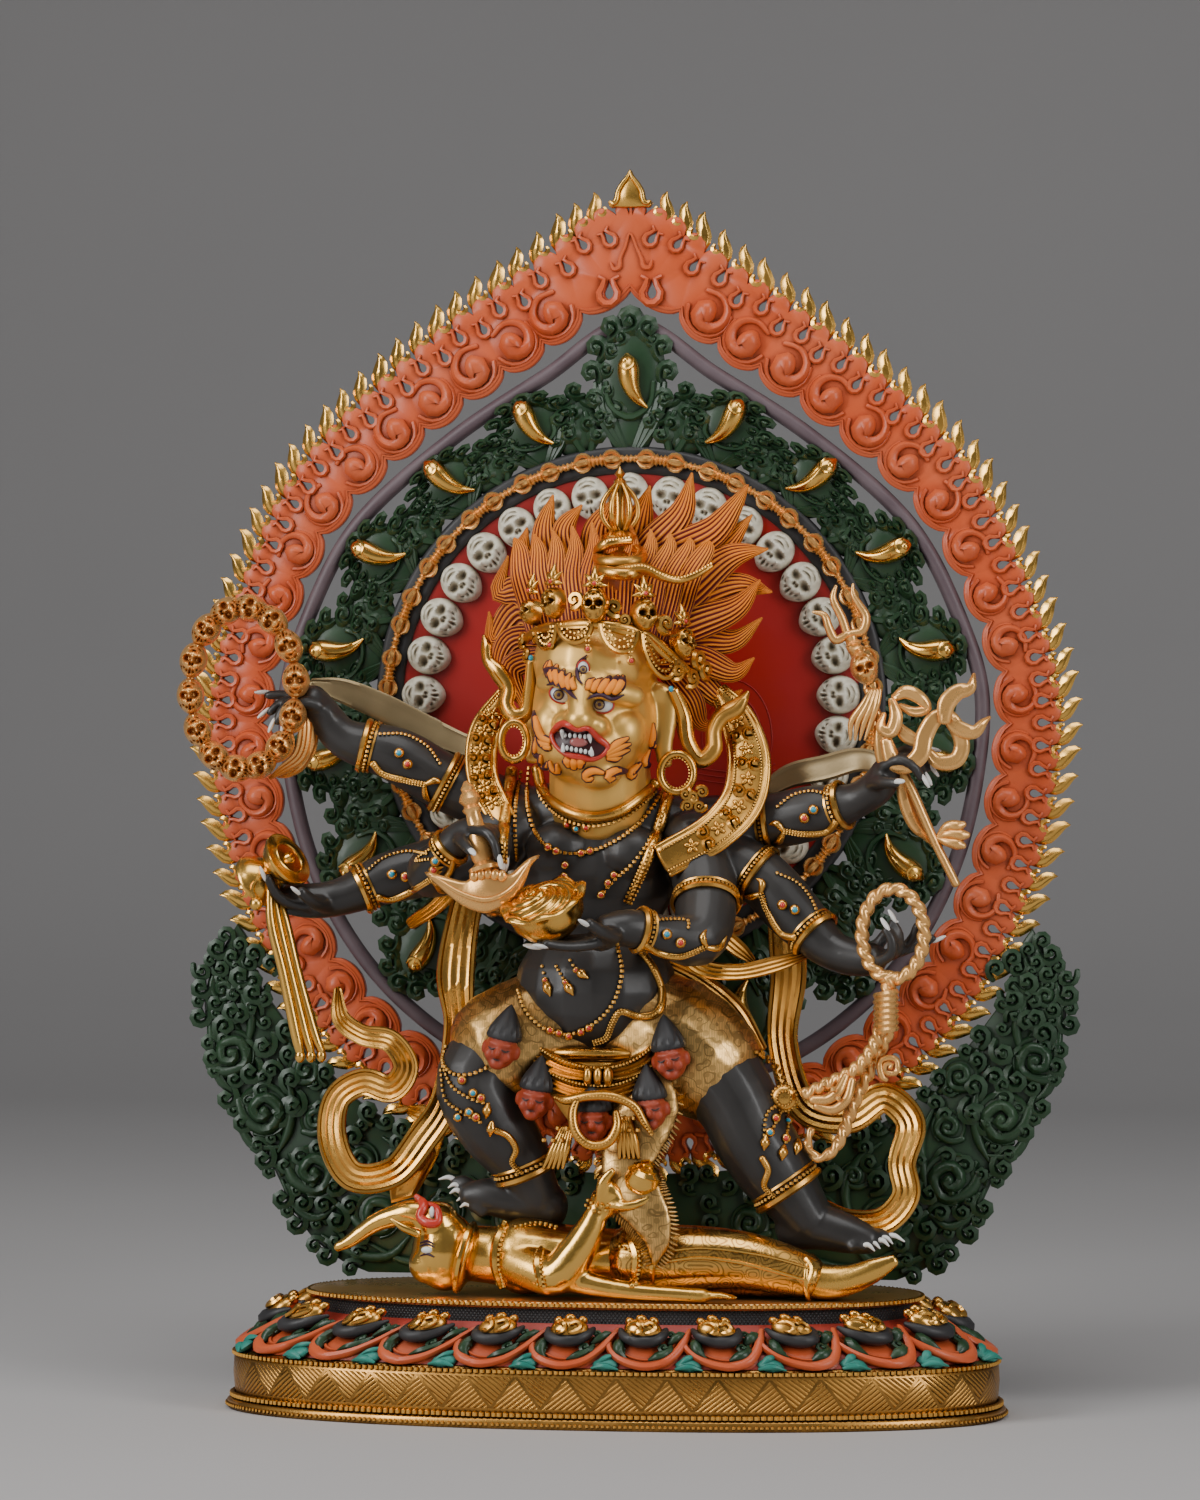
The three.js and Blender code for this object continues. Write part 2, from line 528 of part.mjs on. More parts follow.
// Flowered shawl that stands up behind each shoulder.
function shawl() {
  return join([
    bodyBand([[30, -34, 276, 8], [54, -26, 290, 9], [67, -16, 306, 10], [69, -8, 326, 10], [62, 0, 346, 9], [50, 4, 358, 5]],
      5, { facing: [-0.5, 1, 0], steps: 1 }),
    bodyBand([[-52, -26, 296, 6], [-64, -16, 318, 7], [-64, -8, 340, 7], [-54, 0, 362, 4]], 5,
      { facing: [0.6, 1, 0], steps: 1 }),
  ]);
}

// Scarves that pass behind the arms and flutter at each side.
const SCARF_RIGHT = [
  [-60, 16, 290, 9], [-84, 17, 262, 9], [-84, 15, 220, 8], [-80, 10, 180, 8], [-84, 4, 152, 7],
  [-97, 0, 136, 7], [-112, -4, 118, 6], [-134, -5, 119, 6], [-143, -2, 138, 6], [-141, 1, 155, 6],
  [-128, 2, 163, 6], [-113, -1, 160, 6], [-106, -3, 170, 5.5], [-113, -3, 184, 5], [-128, -1, 187, 4.5],
  [-140, 0, 194, 4], [-141, 1, 210, 2],
];
const SCARF_LEFT = [
  [48, 17, 282, 9], [80, 18, 262, 9], [88, 15, 220, 8], [86, 10, 180, 8], [96, 6, 152, 7],
  [118, 3, 148, 7], [136, 1, 158, 6.5], [149, 0, 146, 6.5], [145, -2, 126, 6], [147, -2, 110, 6],
  [136, -1, 97, 6], [118, 0, 96, 5.5], [104, 2, 104, 3],
];
const scarf = (stations, swell = 0) => bodyBand(stations, 4, { steps: 1, swell });

// What the hands hold

function skullRosary(swell = 0) {
  const BEADS = 14;
  const stations = Array.from({ length: BEADS * 2 }, (_, i) => {
    const a = (Math.PI * (i + 0.5)) / BEADS;
    return [-186 + 29 * Math.cos(a), -22, 362.5 + 42 * Math.sin(a), i % 2 ? 4 : 8.6];
  });
  return bodyLimb(stations, { sides: 4, steps: 1, closed: true, swell });
}

function handDrum(swell = 0) {
  const cups = [[-186, -30, 264, 11.5], [-178, -30, 268, 9.5], [-169, -30, 272, 4.5], [-160, -30, 276, 9.5], [-152, -30, 280, 11.5]];
  return join([
    bodyLimb(cups, { sides: 9, steps: 1, round: 0.15, swell }),
    bodyLimb([[-168, -34, 270, 4], [-162, -36, 248, 3], [-156, -34, 222, 4.5], [-147, -32, 183, 6.5]],
      { sides: 5, steps: 1, swell }),
  ]);
}

function flayingKnife(swell = 0) {
  return join([
    bodyBand([[-84, -68, 274, 1.5], [-76, -69, 264, 5], [-57, -70, 259, 8], [-40, -71, 265, 6.5], [-31, -71, 280, 1.5]],
      4, { steps: 1, swell }),
    bodyLimb([[-55, -68, 262, 4], [-53, -64, 280, 3], [-54, -61, 297, 3], [-54, -60, 306, 5.5], [-54, -59, 319, 2]],
      { sides: 6, steps: 1, swell }),
  ]);
}

function skullCup(swell = 0) {
  const profile = [[0, -18], [11, -16], [18, -8], [20, 0], [19, 3], [13, 6], [8, 11], [0, 12]];
  const place = drawn([-22, -78, 257]);
  return turned(profile.map(([r, h]) =>
    [r ? r * figureScale + swell : 0, h * figureScale + Math.sign(h) * swell]), 9, place);
}

function trident(swell = 0) {
  const thin = { sides: 4, steps: 1, swell };
  const [foot, mid, top] = [[174, -18, 262, 1.6], [145.5, -18, 338, 2.4], [121, -18, 390, 2.6]];
  return join([
    bodyLimb([foot, mid, top], thin),
    bodyLimb([top, [115, -18, 405, 2.8], [113, -18, 420, 1]], thin),
    bodyLimb([[121, -18, 388, 2.6], [109, -18, 395, 2.6], [105, -18, 412, 1]], thin),
    bodyLimb([[122, -18, 388, 2.6], [124, -18, 404, 2.6], [124, -18, 416, 1]], thin),
    skull([129, -18, 375], 7, swell),
    bodyBall([137, -18, 357], [7, 6, 8], { across: 5, up: 3, swell }),
    bodyBand([[138, -18, 356, 3], [158, -15, 354, 5], [176, -14, 338, 5], [188, -15, 348, 1.5]], 3, { steps: 1, swell }),
    bodyBand([[141, -20, 350, 3], [160, -22, 330, 5], [172, -20, 300, 6], [186, -18, 288, 3]], 3, { steps: 1, swell }),
  ]);
}

function noose(swell = 0) {
  const AROUND = 12;
  const loop = Array.from({ length: AROUND }, (_, i) => {
    const a = (2 * Math.PI * i) / AROUND;
    return [143 + 16 * Math.cos(a) * (1 + 0.2 * Math.sin(a)), -32, 244 + 24 * Math.sin(a), 3.4];
  });
  const rope = { sides: 4, steps: 1, swell };
  return join([
    bodyLimb(loop, { ...rope, closed: true }),
    bodyLimb([[143, -32, 222, 5], [141, -31, 204, 5.5], [137, -30, 190, 5]], rope),
    bodyLimb([[138, -30, 192, 4], [120, -31, 178, 4], [104, -33, 168, 4], [90, -36, 160, 4], [82, -38, 158, 4]], rope),
    bodyLimb([[138, -30, 192, 4], [146, -28, 178, 4], [136, -27, 164, 4], [122, -26, 150, 4], [112, -26, 138, 3]], rope),
  ]);
}

// The lying figure with an elephant's head, holding up a fruit.
function tramplee(swell = 0) {
  const fine = { steps: 1, swell };
  const whole = join([
    bodyBall([-80, -36, 80], [17, 15, 16], { across: 7, up: 5, swell }),
    bodyBall([-61, -38, 82], [9, 16, 18], { across: 6, up: 4, swell }),
    bodyLimb([[-88, -38, 92, 8], [-100, -40, 103, 6.5], [-113, -41, 104, 5], [-124, -41, 94, 4], [-134, -41, 86, 2.6], [-142, -42, 88, 1.5]],
      { sides: 5, ...fine }),
    bodyLimb([[-50, -34, 80, 17], [-24, -33, 78, 17], [4, -33, 78, 16], [26, -33, 77, 18], [58, -33, 77, 16], [96, -32, 74, 12], [116, -31, 72, 9]],
      { sides: 7, ...fine }),
    bodyLimb([[112, -32, 73, 9], [130, -36, 76, 8], [144, -38, 84, 4]], { sides: 5, ...fine }),
    bodyLimb([[-42, -44, 82, 10], [-20, -52, 74, 9], [-6, -54, 92, 8], [5, -54, 109, 6.5], [18, -54, 121, 7]],
      { sides: 6, ...fine }),
    bodyBall([24, -54, 126], [9, 8, 7], { across: 6, up: 4, swell }),
    bodyLimb([[-30, -48, 74, 9], [-10, -56, 68, 7], [36, -62, 66, 4.5], [56, -62, 65, 2.5]], { sides: 4, ...fine }),
  ]);
  const roomAbove = new THREE.BoxGeometry(4 * FIGURE_HEIGHT, 4 * FIGURE_HEIGHT, 4 * FIGURE_HEIGHT);
  roomAbove.translate(0, 0, 2 * FIGURE_HEIGHT + PLINTH_HEIGHT + SEAT_GAP - swell);
  return whole.intersect(solid(roomAbove));
}

// What lies against the figure is cut out of it, so that no two pieces share any space.
const rightScarf = (swell) => scarf(SCARF_RIGHT, swell);
const leftScarf = (swell) => scarf(SCARF_LEFT, swell);
const HELD = [skullRosary, handDrum, flayingKnife, skullCup, trident, noose, tramplee, rightScarf, leftScarf];
const cleared = (piece, neighbours) =>
  largest(neighbours.reduce((left, neighbour) => left.subtract(neighbour(SEAT_GAP)), piece));

function makeFigure() {
  const whole = join([
    torso(), head(), legsAndSkirt(), garland(), shawl(),
    earring([34, -20, 320], 9.5), earring([-45, -20, 322], 9.5),
  ]);
  return cleared(whole, [...HELD, headdress, rightArms, leftArms]);
}

// The pieces, with their finishes

function node(name, piece, color, metalness = 0, roughness = 0.5) {
  const { vertProperties, triVerts } = piece.getMesh();
  const g = new THREE.BufferGeometry();
  g.setAttribute("position", new THREE.Float32BufferAttribute(vertProperties, 3));
  g.setIndex([...triVerts]);
  const mesh = new THREE.Mesh(g, new THREE.MeshStandardMaterial({ color, metalness, roughness }));
  mesh.name = name;
  return mesh;
}

const GOLD = 0xd8a24a;
const group = new THREE.Group();
group.add(
  node("lotus_plinth", makePlinth(), 0xb98a3e, 1, 0.4),
  node("aureole", makeAureole(), 0xa8432e, 0, 0.6),
  node("mahakala", makeFigure(), 0x2b2a29, 0, 0.5),
  node("hair_and_crown", cleared(headdress(), HELD), 0xd2581f, 0, 0.6),
  node("right_arms", cleared(rightArms(), HELD), 0x2b2a29, 0, 0.5),
  node("left_arms", cleared(leftArms(), [...HELD, rightArms]), 0x2b2a29, 0, 0.5),
  node("trampled_figure", largest(tramplee()), GOLD, 1, 0.3),
  node("skull_rosary", largest(skullRosary()), GOLD, 1, 0.3),
  node("hand_drum", largest(handDrum()), GOLD, 1, 0.3),
  node("flaying_knife", largest(flayingKnife()), GOLD, 1, 0.3),
  node("skull_cup", largest(skullCup().subtract(flayingKnife(SEAT_GAP))), GOLD, 1, 0.3),
  node("trident", largest(trident()), GOLD, 1, 0.3),
  node("noose", largest(noose()), GOLD, 1, 0.3),
  node("right_scarf", largest(scarf(SCARF_RIGHT)), GOLD, 1, 0.35),
  node("left_scarf", largest(scarf(SCARF_LEFT)), GOLD, 1, 0.35),
);

export default group;
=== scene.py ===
# %% [markdown]
# # A gilt and painted guardian figure with its aureole and lotus plinth
# The imported solids give every place and size. The fine surface is made here: carved flames and
# leaves, beads and garlands, hair, jewellery, and finishes that are worn as on the real figure, with
# painted shade darkening their recesses.
# Lengths are in millimetres until a piece is made, and in metres afterwards.

import math
from functools import partial

import bpy
import numpy as np
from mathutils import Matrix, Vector
from mathutils.bvhtree import BVHTree
from mathutils.geometry import delaunay_2d_cdt


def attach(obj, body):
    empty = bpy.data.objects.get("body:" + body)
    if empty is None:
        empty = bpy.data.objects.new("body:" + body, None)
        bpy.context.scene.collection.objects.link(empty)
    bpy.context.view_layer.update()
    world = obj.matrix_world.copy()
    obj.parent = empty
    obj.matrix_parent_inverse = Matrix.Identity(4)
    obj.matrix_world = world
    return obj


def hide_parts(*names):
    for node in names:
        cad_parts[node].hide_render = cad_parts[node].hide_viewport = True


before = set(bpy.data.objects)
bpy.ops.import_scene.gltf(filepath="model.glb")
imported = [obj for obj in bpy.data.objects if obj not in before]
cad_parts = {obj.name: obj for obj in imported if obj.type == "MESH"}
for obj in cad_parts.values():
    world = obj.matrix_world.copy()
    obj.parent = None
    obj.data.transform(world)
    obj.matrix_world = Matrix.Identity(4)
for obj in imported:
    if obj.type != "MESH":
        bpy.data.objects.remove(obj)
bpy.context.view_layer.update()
MM = 0.001

# %% [markdown]
# ## Small tools for surfaces
# Each shape is a grid of points: rings of points along a line, joined by four-sided faces, with a
# fan at each end. A ring at P(t) is P(t) + A(t) w(t) x + B(t) h(t) y over the section (x, y), where
# A and B are the directions across the line.

# %% Parts, rings and skins


def unit(v):
    """Each vector divided by its length."""
    v = np.asarray(v, float)
    return v / np.maximum(np.linalg.norm(v, axis=-1, keepdims=True), 1e-12)


class Part:
    """Points with four-sided and three-sided faces, turned outwards, and a painted value a point."""

    def __init__(self, points, quads=(), tris=(), paint=0.0, turn=True):
        self.v = np.asarray(points, float).reshape(-1, 3)
        self.q = np.asarray(quads, int).reshape(-1, 4)
        self.t = np.asarray(tris, int).reshape(-1, 3)
        self.p = np.broadcast_to(np.asarray(paint, float).reshape(-1), (len(self.v),)).copy()
        if turn and self.volume() < 0:
            self.flip()

    def volume(self):
        """A measure of the volume: the sum of a . (b x c) over the corners of the faces, from the middle."""
        corners = np.vstack([self.q[:, [0, 1, 2]], self.q[:, [0, 2, 3]], self.t])
        a, b, c = (self.v[corners[:, k]] - self.v.mean(0) for k in range(3))
        return float(np.einsum("ij,ij->i", a, np.cross(b, c)).sum())

    def flip(self):
        """Turns every face over."""
        self.q = self.q[:, ::-1]
        self.t = self.t[:, ::-1]


def merge(parts):
    """Several parts as one, with their faces as they are."""
    starts = np.cumsum([0] + [len(p.v) for p in parts[:-1]])
    return Part(
        np.vstack([p.v for p in parts]),
        np.vstack([p.q + s for p, s in zip(parts, starts)]),
        np.vstack([p.t + s for p, s in zip(parts, starts)]),
        np.concatenate([p.p for p in parts]),
        turn=False,
    )


def skin(rings, closed=False, poles=None, paint=0.0):
    """A closed surface over rings (rows, around, 3): joined end to end, or with a pole at each end."""
    rows, around = rings.shape[:2]
    index = np.arange(rows * around).reshape(rows, around)
    low = index if closed else index[:-1]
    high = np.roll(index, -1, axis=0) if closed else index[1:]
    quads = np.stack([low, np.roll(low, -1, 1), np.roll(high, -1, 1), high], -1)
    paint = np.broadcast_to(paint, (rows, around)).reshape(-1)
    points = rings.reshape(-1, 3)
    if poles is None:
        return Part(points, quads, paint=paint)
    n = len(points)
    first, last = index[0], index[-1]
    tris = np.vstack([
        np.stack([np.full(around, n), np.roll(first, -1), first], -1),
        np.stack([np.full(around, n + 1), last, np.roll(last, -1)], -1),
    ])
    paint = np.concatenate([paint, [paint[0], paint[-1]]])
    return Part(np.vstack([points, poles]), quads, tris, paint)

# %% Lines, and sections carried along them


def smooth_line(rows, count, closed=False):
    """Even steps along a centripetal Catmull-Rom line through rows of any width: each span is the
    cubic with the rows' slopes, whose parameter grows with the square root of the distance."""
    p = np.asarray(rows, float)
    p = np.vstack([p[-1], p, p[:2]]) if closed else np.vstack([2 * p[0] - p[1], p, 2 * p[-1] - p[-2]])
    gap = np.sqrt(np.linalg.norm(np.diff(p[:, :3], axis=0), axis=1)) + 1e-6
    slope = np.diff(p, axis=0) / gap[:, None]
    tangent = (slope[:-1] * gap[1:, None] + slope[1:] * gap[:-1, None]) / (gap[:-1] + gap[1:])[:, None]
    u = np.linspace(0, 1, 24, endpoint=False)[None, :, None]
    a, b, g = p[1:-2, None], p[2:-1, None], gap[1:-1, None, None]
    ta, tb = tangent[:-1, None] * g, tangent[1:, None] * g
    fine = (2 * u**3 - 3 * u**2 + 1) * a + (u**3 - 2 * u**2 + u) * ta + (3 * u**2 - 2 * u**3) * b + (
        u**3 - u**2) * tb
    fine = np.vstack([fine.reshape(-1, p.shape[1]), p[-2]])
    far = np.concatenate([[0], np.cumsum(np.linalg.norm(np.diff(fine[:, :3], axis=0), axis=1))])
    wanted = np.linspace(0, far[-1], count, endpoint=not closed)
    return np.stack([np.interp(wanted, far, column) for column in fine.T], -1)


def across_line(line, face, fixed):
    """Directions along, across and out of a line. Fixed keeps its face to one side, else it turns least."""
    along = unit(np.gradient(line[:, :3], axis=0))
    if fixed:
        out = unit(face - (along @ face)[:, None] * along)
    else:
        out = np.empty_like(along)
        now = np.asarray(face, float)
        for i, t in enumerate(along):
            now = unit(now - t * (now @ t))
            out[i] = now
    return along, np.cross(along, out), out


FLAT = {"face": (0, 0, 1), "fixed": True}
UPRIGHT = {"face": (0, 1, 0), "fixed": True}
CIRCLE = {n: np.stack([np.cos(np.arange(n) * 2 * np.pi / n), np.sin(np.arange(n) * 2 * np.pi / n)], -1)
    for n in range(3, 97)}


def sweep(stations, section, count=0, face=(0.0, 1.0, 0.0), fixed=False, closed=False, cap=0.7,
        twist=0.0, paint=0.0):
    """A section (x, y) carried along stations x, y, z, half width and, if given, half thickness."""
    s = np.asarray(stations, float)
    s = s if s.shape[1] > 4 else np.c_[s, s[:, 3]]
    line = smooth_line(s, count or 3 * len(s), closed)
    if closed:
        line = np.vstack([line, line[:1]])
    along, across, out = across_line(line, np.asarray(face, float), fixed or closed)
    if closed:
        ends = unit(along[0] + along[-1])
        along[0] = ends
        line, along, across, out = (a[:-1] for a in (line, along, across, out))
    if twist:
        a = np.linspace(0, 2 * np.pi * twist, len(line))[:, None]
        across, out = across * np.cos(a) + out * np.sin(a), out * np.cos(a) - across * np.sin(a)
    x, y = np.asarray(section, float).T
    rings = (line[:, None, :3] + across[:, None] * (line[:, None, 3:4] * x[:, None])
        + out[:, None] * (line[:, None, 4:5] * y[:, None]))
    if closed:
        return skin(rings, closed=True, paint=paint)
    reach = cap * np.minimum(line[[0, -1], 3], line[[0, -1], 4])
    rounded = []
    for end, sign in ((0, -1), (-1, 1)):
        centre = line[end, :3]
        rounded.append([centre + (rings[end] - centre) * math.cos(f)
            + sign * along[end] * reach[end] * math.sin(f)
            for f in (0.55, 1.1)])
    rings = np.concatenate([np.array(rounded[0][::-1]), rings, np.array(rounded[1])])
    poles = [line[0, :3] - along[0] * reach[0], line[-1, :3] + along[-1] * reach[1]]
    if np.ndim(paint) == 2:
        paint = np.broadcast_to(paint, (len(line), len(x)))
        paint = np.vstack([paint[:1], paint[:1], paint, paint[-1:], paint[-1:]])
    return skin(rings, poles=poles, paint=paint)

# %% Tubes, turned forms and copies


def tube(stations, sides=8, count=0, **options):
    """A sweep whose section is a circle of so many sides."""
    return sweep(stations, CIRCLE[sides], count, **options)


def hoop(centre, across, up, count=16, start=0.0):
    """Points centre + across cos a + up sin a, for even steps of the angle a."""
    a = start + np.arange(count)[:, None] * 2 * np.pi / count
    return np.asarray(centre) + np.cos(a) * np.asarray(across) + np.sin(a) * np.asarray(up)


def wire_ring(points, radius, sides, count, **options):
    """A closed tube of one radius through points."""
    return tube(np.c_[points, np.full(len(points), radius)], sides, count, closed=True, **options)


def turned(profile, around=16, place=(0, 0, 0), axis=(0, 0, 1)):
    """A turned form: rows of radius and height about the axis, from one end to the other."""
    r, h = np.asarray(profile, float).T
    axis = unit(axis)
    side = unit(np.cross(axis, (0.3, 1, 0.2)))
    other = np.cross(axis, side)
    spoke = CIRCLE[around][:, :1] * side + CIRCLE[around][:, 1:] * other
    rings = np.asarray(place) + h[:, None, None] * axis + r[:, None, None] * spoke
    poles = [np.asarray(place) + h[0] * axis, np.asarray(place) + h[-1] * axis]
    return skin(rings, poles=poles)


def rotation(angles):
    """Rotation by angles about x, then y, then z."""
    (a, b, c), (d, e, f) = np.cos(angles), np.sin(angles)
    x = np.array([[1, 0, 0], [0, a, -d], [0, d, a]])
    y = np.array([[b, 0, e], [0, 1, 0], [-e, 0, b]])
    z = np.array([[c, -f, 0], [f, c, 0], [0, 0, 1]])
    return z @ y @ x


def ball(centre, radii, around=16, rows=10, turn=(0, 0, 0)):
    """An ellipsoid: a turned form of radius sin t and height -cos t, stretched by its radii."""
    tilt = np.linspace(0, np.pi, rows + 1)[1:-1]
    part = turned(np.stack([np.sin(tilt), -np.cos(tilt)], -1), around)
    part.v[-2:] = [[0, 0, -1], [0, 0, 1]]
    part.v = (part.v * np.broadcast_to(radii, 3)) @ rotation(turn).T + np.asarray(centre, float)
    return part


def stamp(part, places, axes):
    """Copies of a part at places (n, 3), with three directions for each (n, 3, 3) or for all (3, 3)."""
    places = np.reshape(places, (-1, 3))
    axes = np.broadcast_to(np.reshape(axes, (-1, 3, 3)), (len(places), 3, 3))
    v = np.einsum("vk,nkj->nvj", part.v, axes) + places[:, None]
    shift = (np.arange(len(places)) * len(part.v))[:, None, None]
    mirrored = np.linalg.det(axes) < 0
    q = np.broadcast_to(part.q, (len(places),) + part.q.shape) + shift
    t = np.broadcast_to(part.t, (len(places),) + part.t.shape) + shift
    q = np.where(mirrored[:, None, None], q[:, :, ::-1], q)
    t = np.where(mirrored[:, None, None], t[:, :, ::-1], t)
    return Part(v, q, t, np.tile(part.p, len(places)), turn=False)


def moved(part, place, turn=(0, 0, 0), scale=1.0):
    """A copy of a part, scaled, turned and placed."""
    return stamp(part, place, rotation(turn).T * scale)

# %% [markdown]
# ## Pieces and sheets
# A piece is one Blender mesh with one finish. Flat pierced work is filled between its outline and
# its holes, given its thickness and a small bevel. Flesh is several rounded forms that are fused
# and smoothed, as a modeller fuses wax.

# %% Making pieces


def piece(name, parts, material, slot, *nodes):
    """One mesh object in metres that rides on the body and stands for the named solids."""
    part = merge(parts) if isinstance(parts, list) else parts
    mesh = bpy.data.meshes.new(name)
    loops = np.concatenate([part.q.reshape(-1), part.t.reshape(-1)])
    starts = np.concatenate([np.arange(len(part.q)) * 4, 4 * len(part.q) + np.arange(len(part.t)) * 3])
    mesh.vertices.add(len(part.v))
    mesh.vertices.foreach_set("co", (part.v * MM).reshape(-1))
    mesh.loops.add(len(loops))
    mesh.loops.foreach_set("vertex_index", loops)
    mesh.polygons.add(len(starts))
    mesh.polygons.foreach_set("loop_start", starts)
    mesh.polygons.foreach_set("use_smooth", np.ones(len(starts), bool))
    mesh.attributes.new("paint", "FLOAT", "POINT").data.foreach_set("value", part.p)
    mesh.update(calc_edges=True)
    mesh.validate()
    mesh.set_sharp_from_angle(angle=math.radians(52))
    mesh.materials.append(material)
    made = bpy.data.objects.new(name, mesh)
    bpy.context.scene.collection.objects.link(made)
    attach(made, "root")
    if nodes:
        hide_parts(*nodes)
    print(name, len(part.q) * 2 + len(part.t), "triangles")
    return made


def mesh_part(mesh):
    """A Blender mesh as a part, in millimetres."""
    mesh.calc_loop_triangles()
    v = np.empty(len(mesh.vertices) * 3)
    mesh.vertices.foreach_get("co", v)
    t = np.empty(len(mesh.loop_triangles) * 3, np.int32)
    mesh.loop_triangles.foreach_get("vertices", t)
    return Part(v.reshape(-1, 3) / MM, tris=t.reshape(-1, 3))

# %% Sheets with openings, and parts grown into one


def pierced(loops, front, back, bevel=0.6):
    """A sheet in the XZ plane between y = front and y = back. The first loop of (x, z) is its outline
    and the others are holes. Each loop is wound with the metal on its left, and its front and back
    edges are drawn in by the bevel."""
    full, inset = [], []
    for k, loop in enumerate(loops):
        loop = np.asarray(loop, float)
        x, z = loop.T
        area = np.sum(x * np.roll(z, -1) - z * np.roll(x, -1))
        loop = loop[::-1] if (area < 0) == (k == 0) else loop
        ahead = unit(np.roll(loop, -1, 0) - np.roll(loop, 1, 0))
        full.append(loop)
        inset.append(loop + bevel * ahead[:, ::-1] * (-1, 1))
    sizes = [len(loop) for loop in full]
    starts = np.cumsum([0] + sizes[:-1])
    edges = [(s + i, s + (i + 1) % n) for s, n in zip(starts, sizes) for i in range(n)]
    flat = np.vstack(inset)
    made, _, faces, origins, _, _ = delaunay_2d_cdt([Vector(p) for p in flat], edges, [], 1, 1e-5, True)
    made = np.array([tuple(p) for p in made])
    tris = np.array([f for f in faces if len(f) == 3])
    x, z = made[tris].mean(1).T
    start, end = flat[[a for a, _ in edges]], flat[[b for _, b in edges]]
    spans = (start[:, 1] > z[:, None]) != (end[:, 1] > z[:, None])
    slope = (end[:, 0] - start[:, 0]) / np.where(start[:, 1] == end[:, 1], 1, end[:, 1] - start[:, 1])
    beyond = x[:, None] < start[:, 0] + (z[:, None] - start[:, 1]) * slope
    tris = tris[(spans & beyond).sum(1) % 2 == 1]
    into = np.zeros(len(flat), int)
    for out, sources in enumerate(origins):
        into[sources] = out
    n, m = len(made), len(flat)
    points = np.vstack([np.c_[made[:, 0], np.full(n, front), made[:, 1]],
            np.c_[made[:, 0], np.full(n, back), made[:, 1]]]
        + [np.insert(np.vstack(full), 1, y, 1) for y in (front + bevel, back - bevel)])
    here = np.arange(m)
    after = np.concatenate([s + (np.arange(k) + 1) % k for s, k in zip(starts, sizes)])
    layers = [into, 2 * n + here, 2 * n + m + here, n + into]
    quads = np.vstack([np.stack([a, b, b[after], a[after]], -1) for a, b in zip(layers[:-1], layers[1:])])
    return Part(points, quads, np.vstack([tris, tris[:, ::-1] + n]), turn=False)


def fused(parts, voxel, smooth=4, keep=0.5):
    """Overlapping forms joined into one skin by a voxel remesh, smoothed, and thinned to a share of faces."""
    whole = merge(parts)
    mesh = bpy.data.meshes.new("wax")
    mesh.from_pydata((whole.v * MM).tolist(), [], whole.q.tolist() + whole.t.tolist())
    made = bpy.data.objects.new("wax", mesh)
    remesh = made.modifiers.new("remesh", "REMESH")
    remesh.mode = "VOXEL"
    remesh.voxel_size = voxel * MM
    soften = made.modifiers.new("soften", "SMOOTH")
    soften.factor = 0.5
    soften.iterations = smooth
    thin = made.modifiers.new("thin", "DECIMATE")
    thin.ratio = keep
    bpy.context.scene.collection.objects.link(made)
    bpy.context.view_layer.update()
    solid = bpy.data.meshes.new_from_object(made.evaluated_get(bpy.context.evaluated_depsgraph_get()))
    bpy.data.objects.remove(made)
    return mesh_part(solid)

# %% [markdown]
# ## Finishes
# Every finish is one shared node group with these parts:
# - a base colour;
# - a darker colour painted into the recesses that ambient occlusion finds, as painted shade (on the
#   gilding also patina);
# - a lighter rubbed colour in patches;
# - a second painted colour where the mesh says so: partly the figure's own paint, partly painted
#   shade in the dents of the skulls and between the locks of hair;
# - a fine grain that drives roughness and bump.

# %% Groups of nodes


def new_group(title, inputs, outputs):
    """A node group with inputs (name, kind, value) and outputs (name, kind)."""
    tree = bpy.data.node_groups.new(title, "ShaderNodeTree")
    for name, kind, value in inputs:
        tree.interface.new_socket(name, in_out="INPUT", socket_type=kind).default_value = value
    for name, kind in outputs:
        tree.interface.new_socket(name, in_out="OUTPUT", socket_type=kind)
    return tree, tree.nodes.new("NodeGroupInput"), tree.nodes.new("NodeGroupOutput")


def calc(tree, operation, a, b=None, clamp=False):
    """A math node on sockets or numbers."""
    node = tree.nodes.new("ShaderNodeMath")
    node.operation = operation
    node.use_clamp = clamp
    for slot, value in enumerate(v for v in (a, b) if v is not None):
        if isinstance(value, (int, float)):
            node.inputs[slot].default_value = value
        else:
            tree.links.new(value, node.inputs[slot])
    return node.outputs[0]


def blend(tree, share, a, b):
    """A colour mix of two sockets."""
    node = tree.nodes.new("ShaderNodeMix")
    node.data_type = "RGBA"
    for slot, value in ((0, share), (6, a), (7, b)):
        tree.links.new(value, node.inputs[slot])
    return node.outputs[2]

# %% The wear and the painted recess shade of every finish
FLOAT, COLOUR = "NodeSocketFloat", "NodeSocketColor"
WEAR_AND_SHADE = ("Recess reach", "Recess amount", "Patch scale", "Patch amount", "Smooth", "Rough")
finish, given, made = new_group(
    "worn finish and painted shade",
    [("Base", COLOUR, (0.5, 0.5, 0.5, 1)), ("Recess", COLOUR, (0.02, 0.02, 0.02, 1)),
        ("Rubbed", COLOUR, (0.8, 0.8, 0.8, 1)), ("Painted", COLOUR, (0.1, 0.1, 0.1, 1)),
        ("Grain scale", FLOAT, 900.0), *[(name, FLOAT, 0.5) for name in WEAR_AND_SHADE]],
    [("Colour", COLOUR), ("Roughness", FLOAT), ("Height", FLOAT)])
where = finish.nodes.new("ShaderNodeTexCoord").outputs["Object"]
noises = []
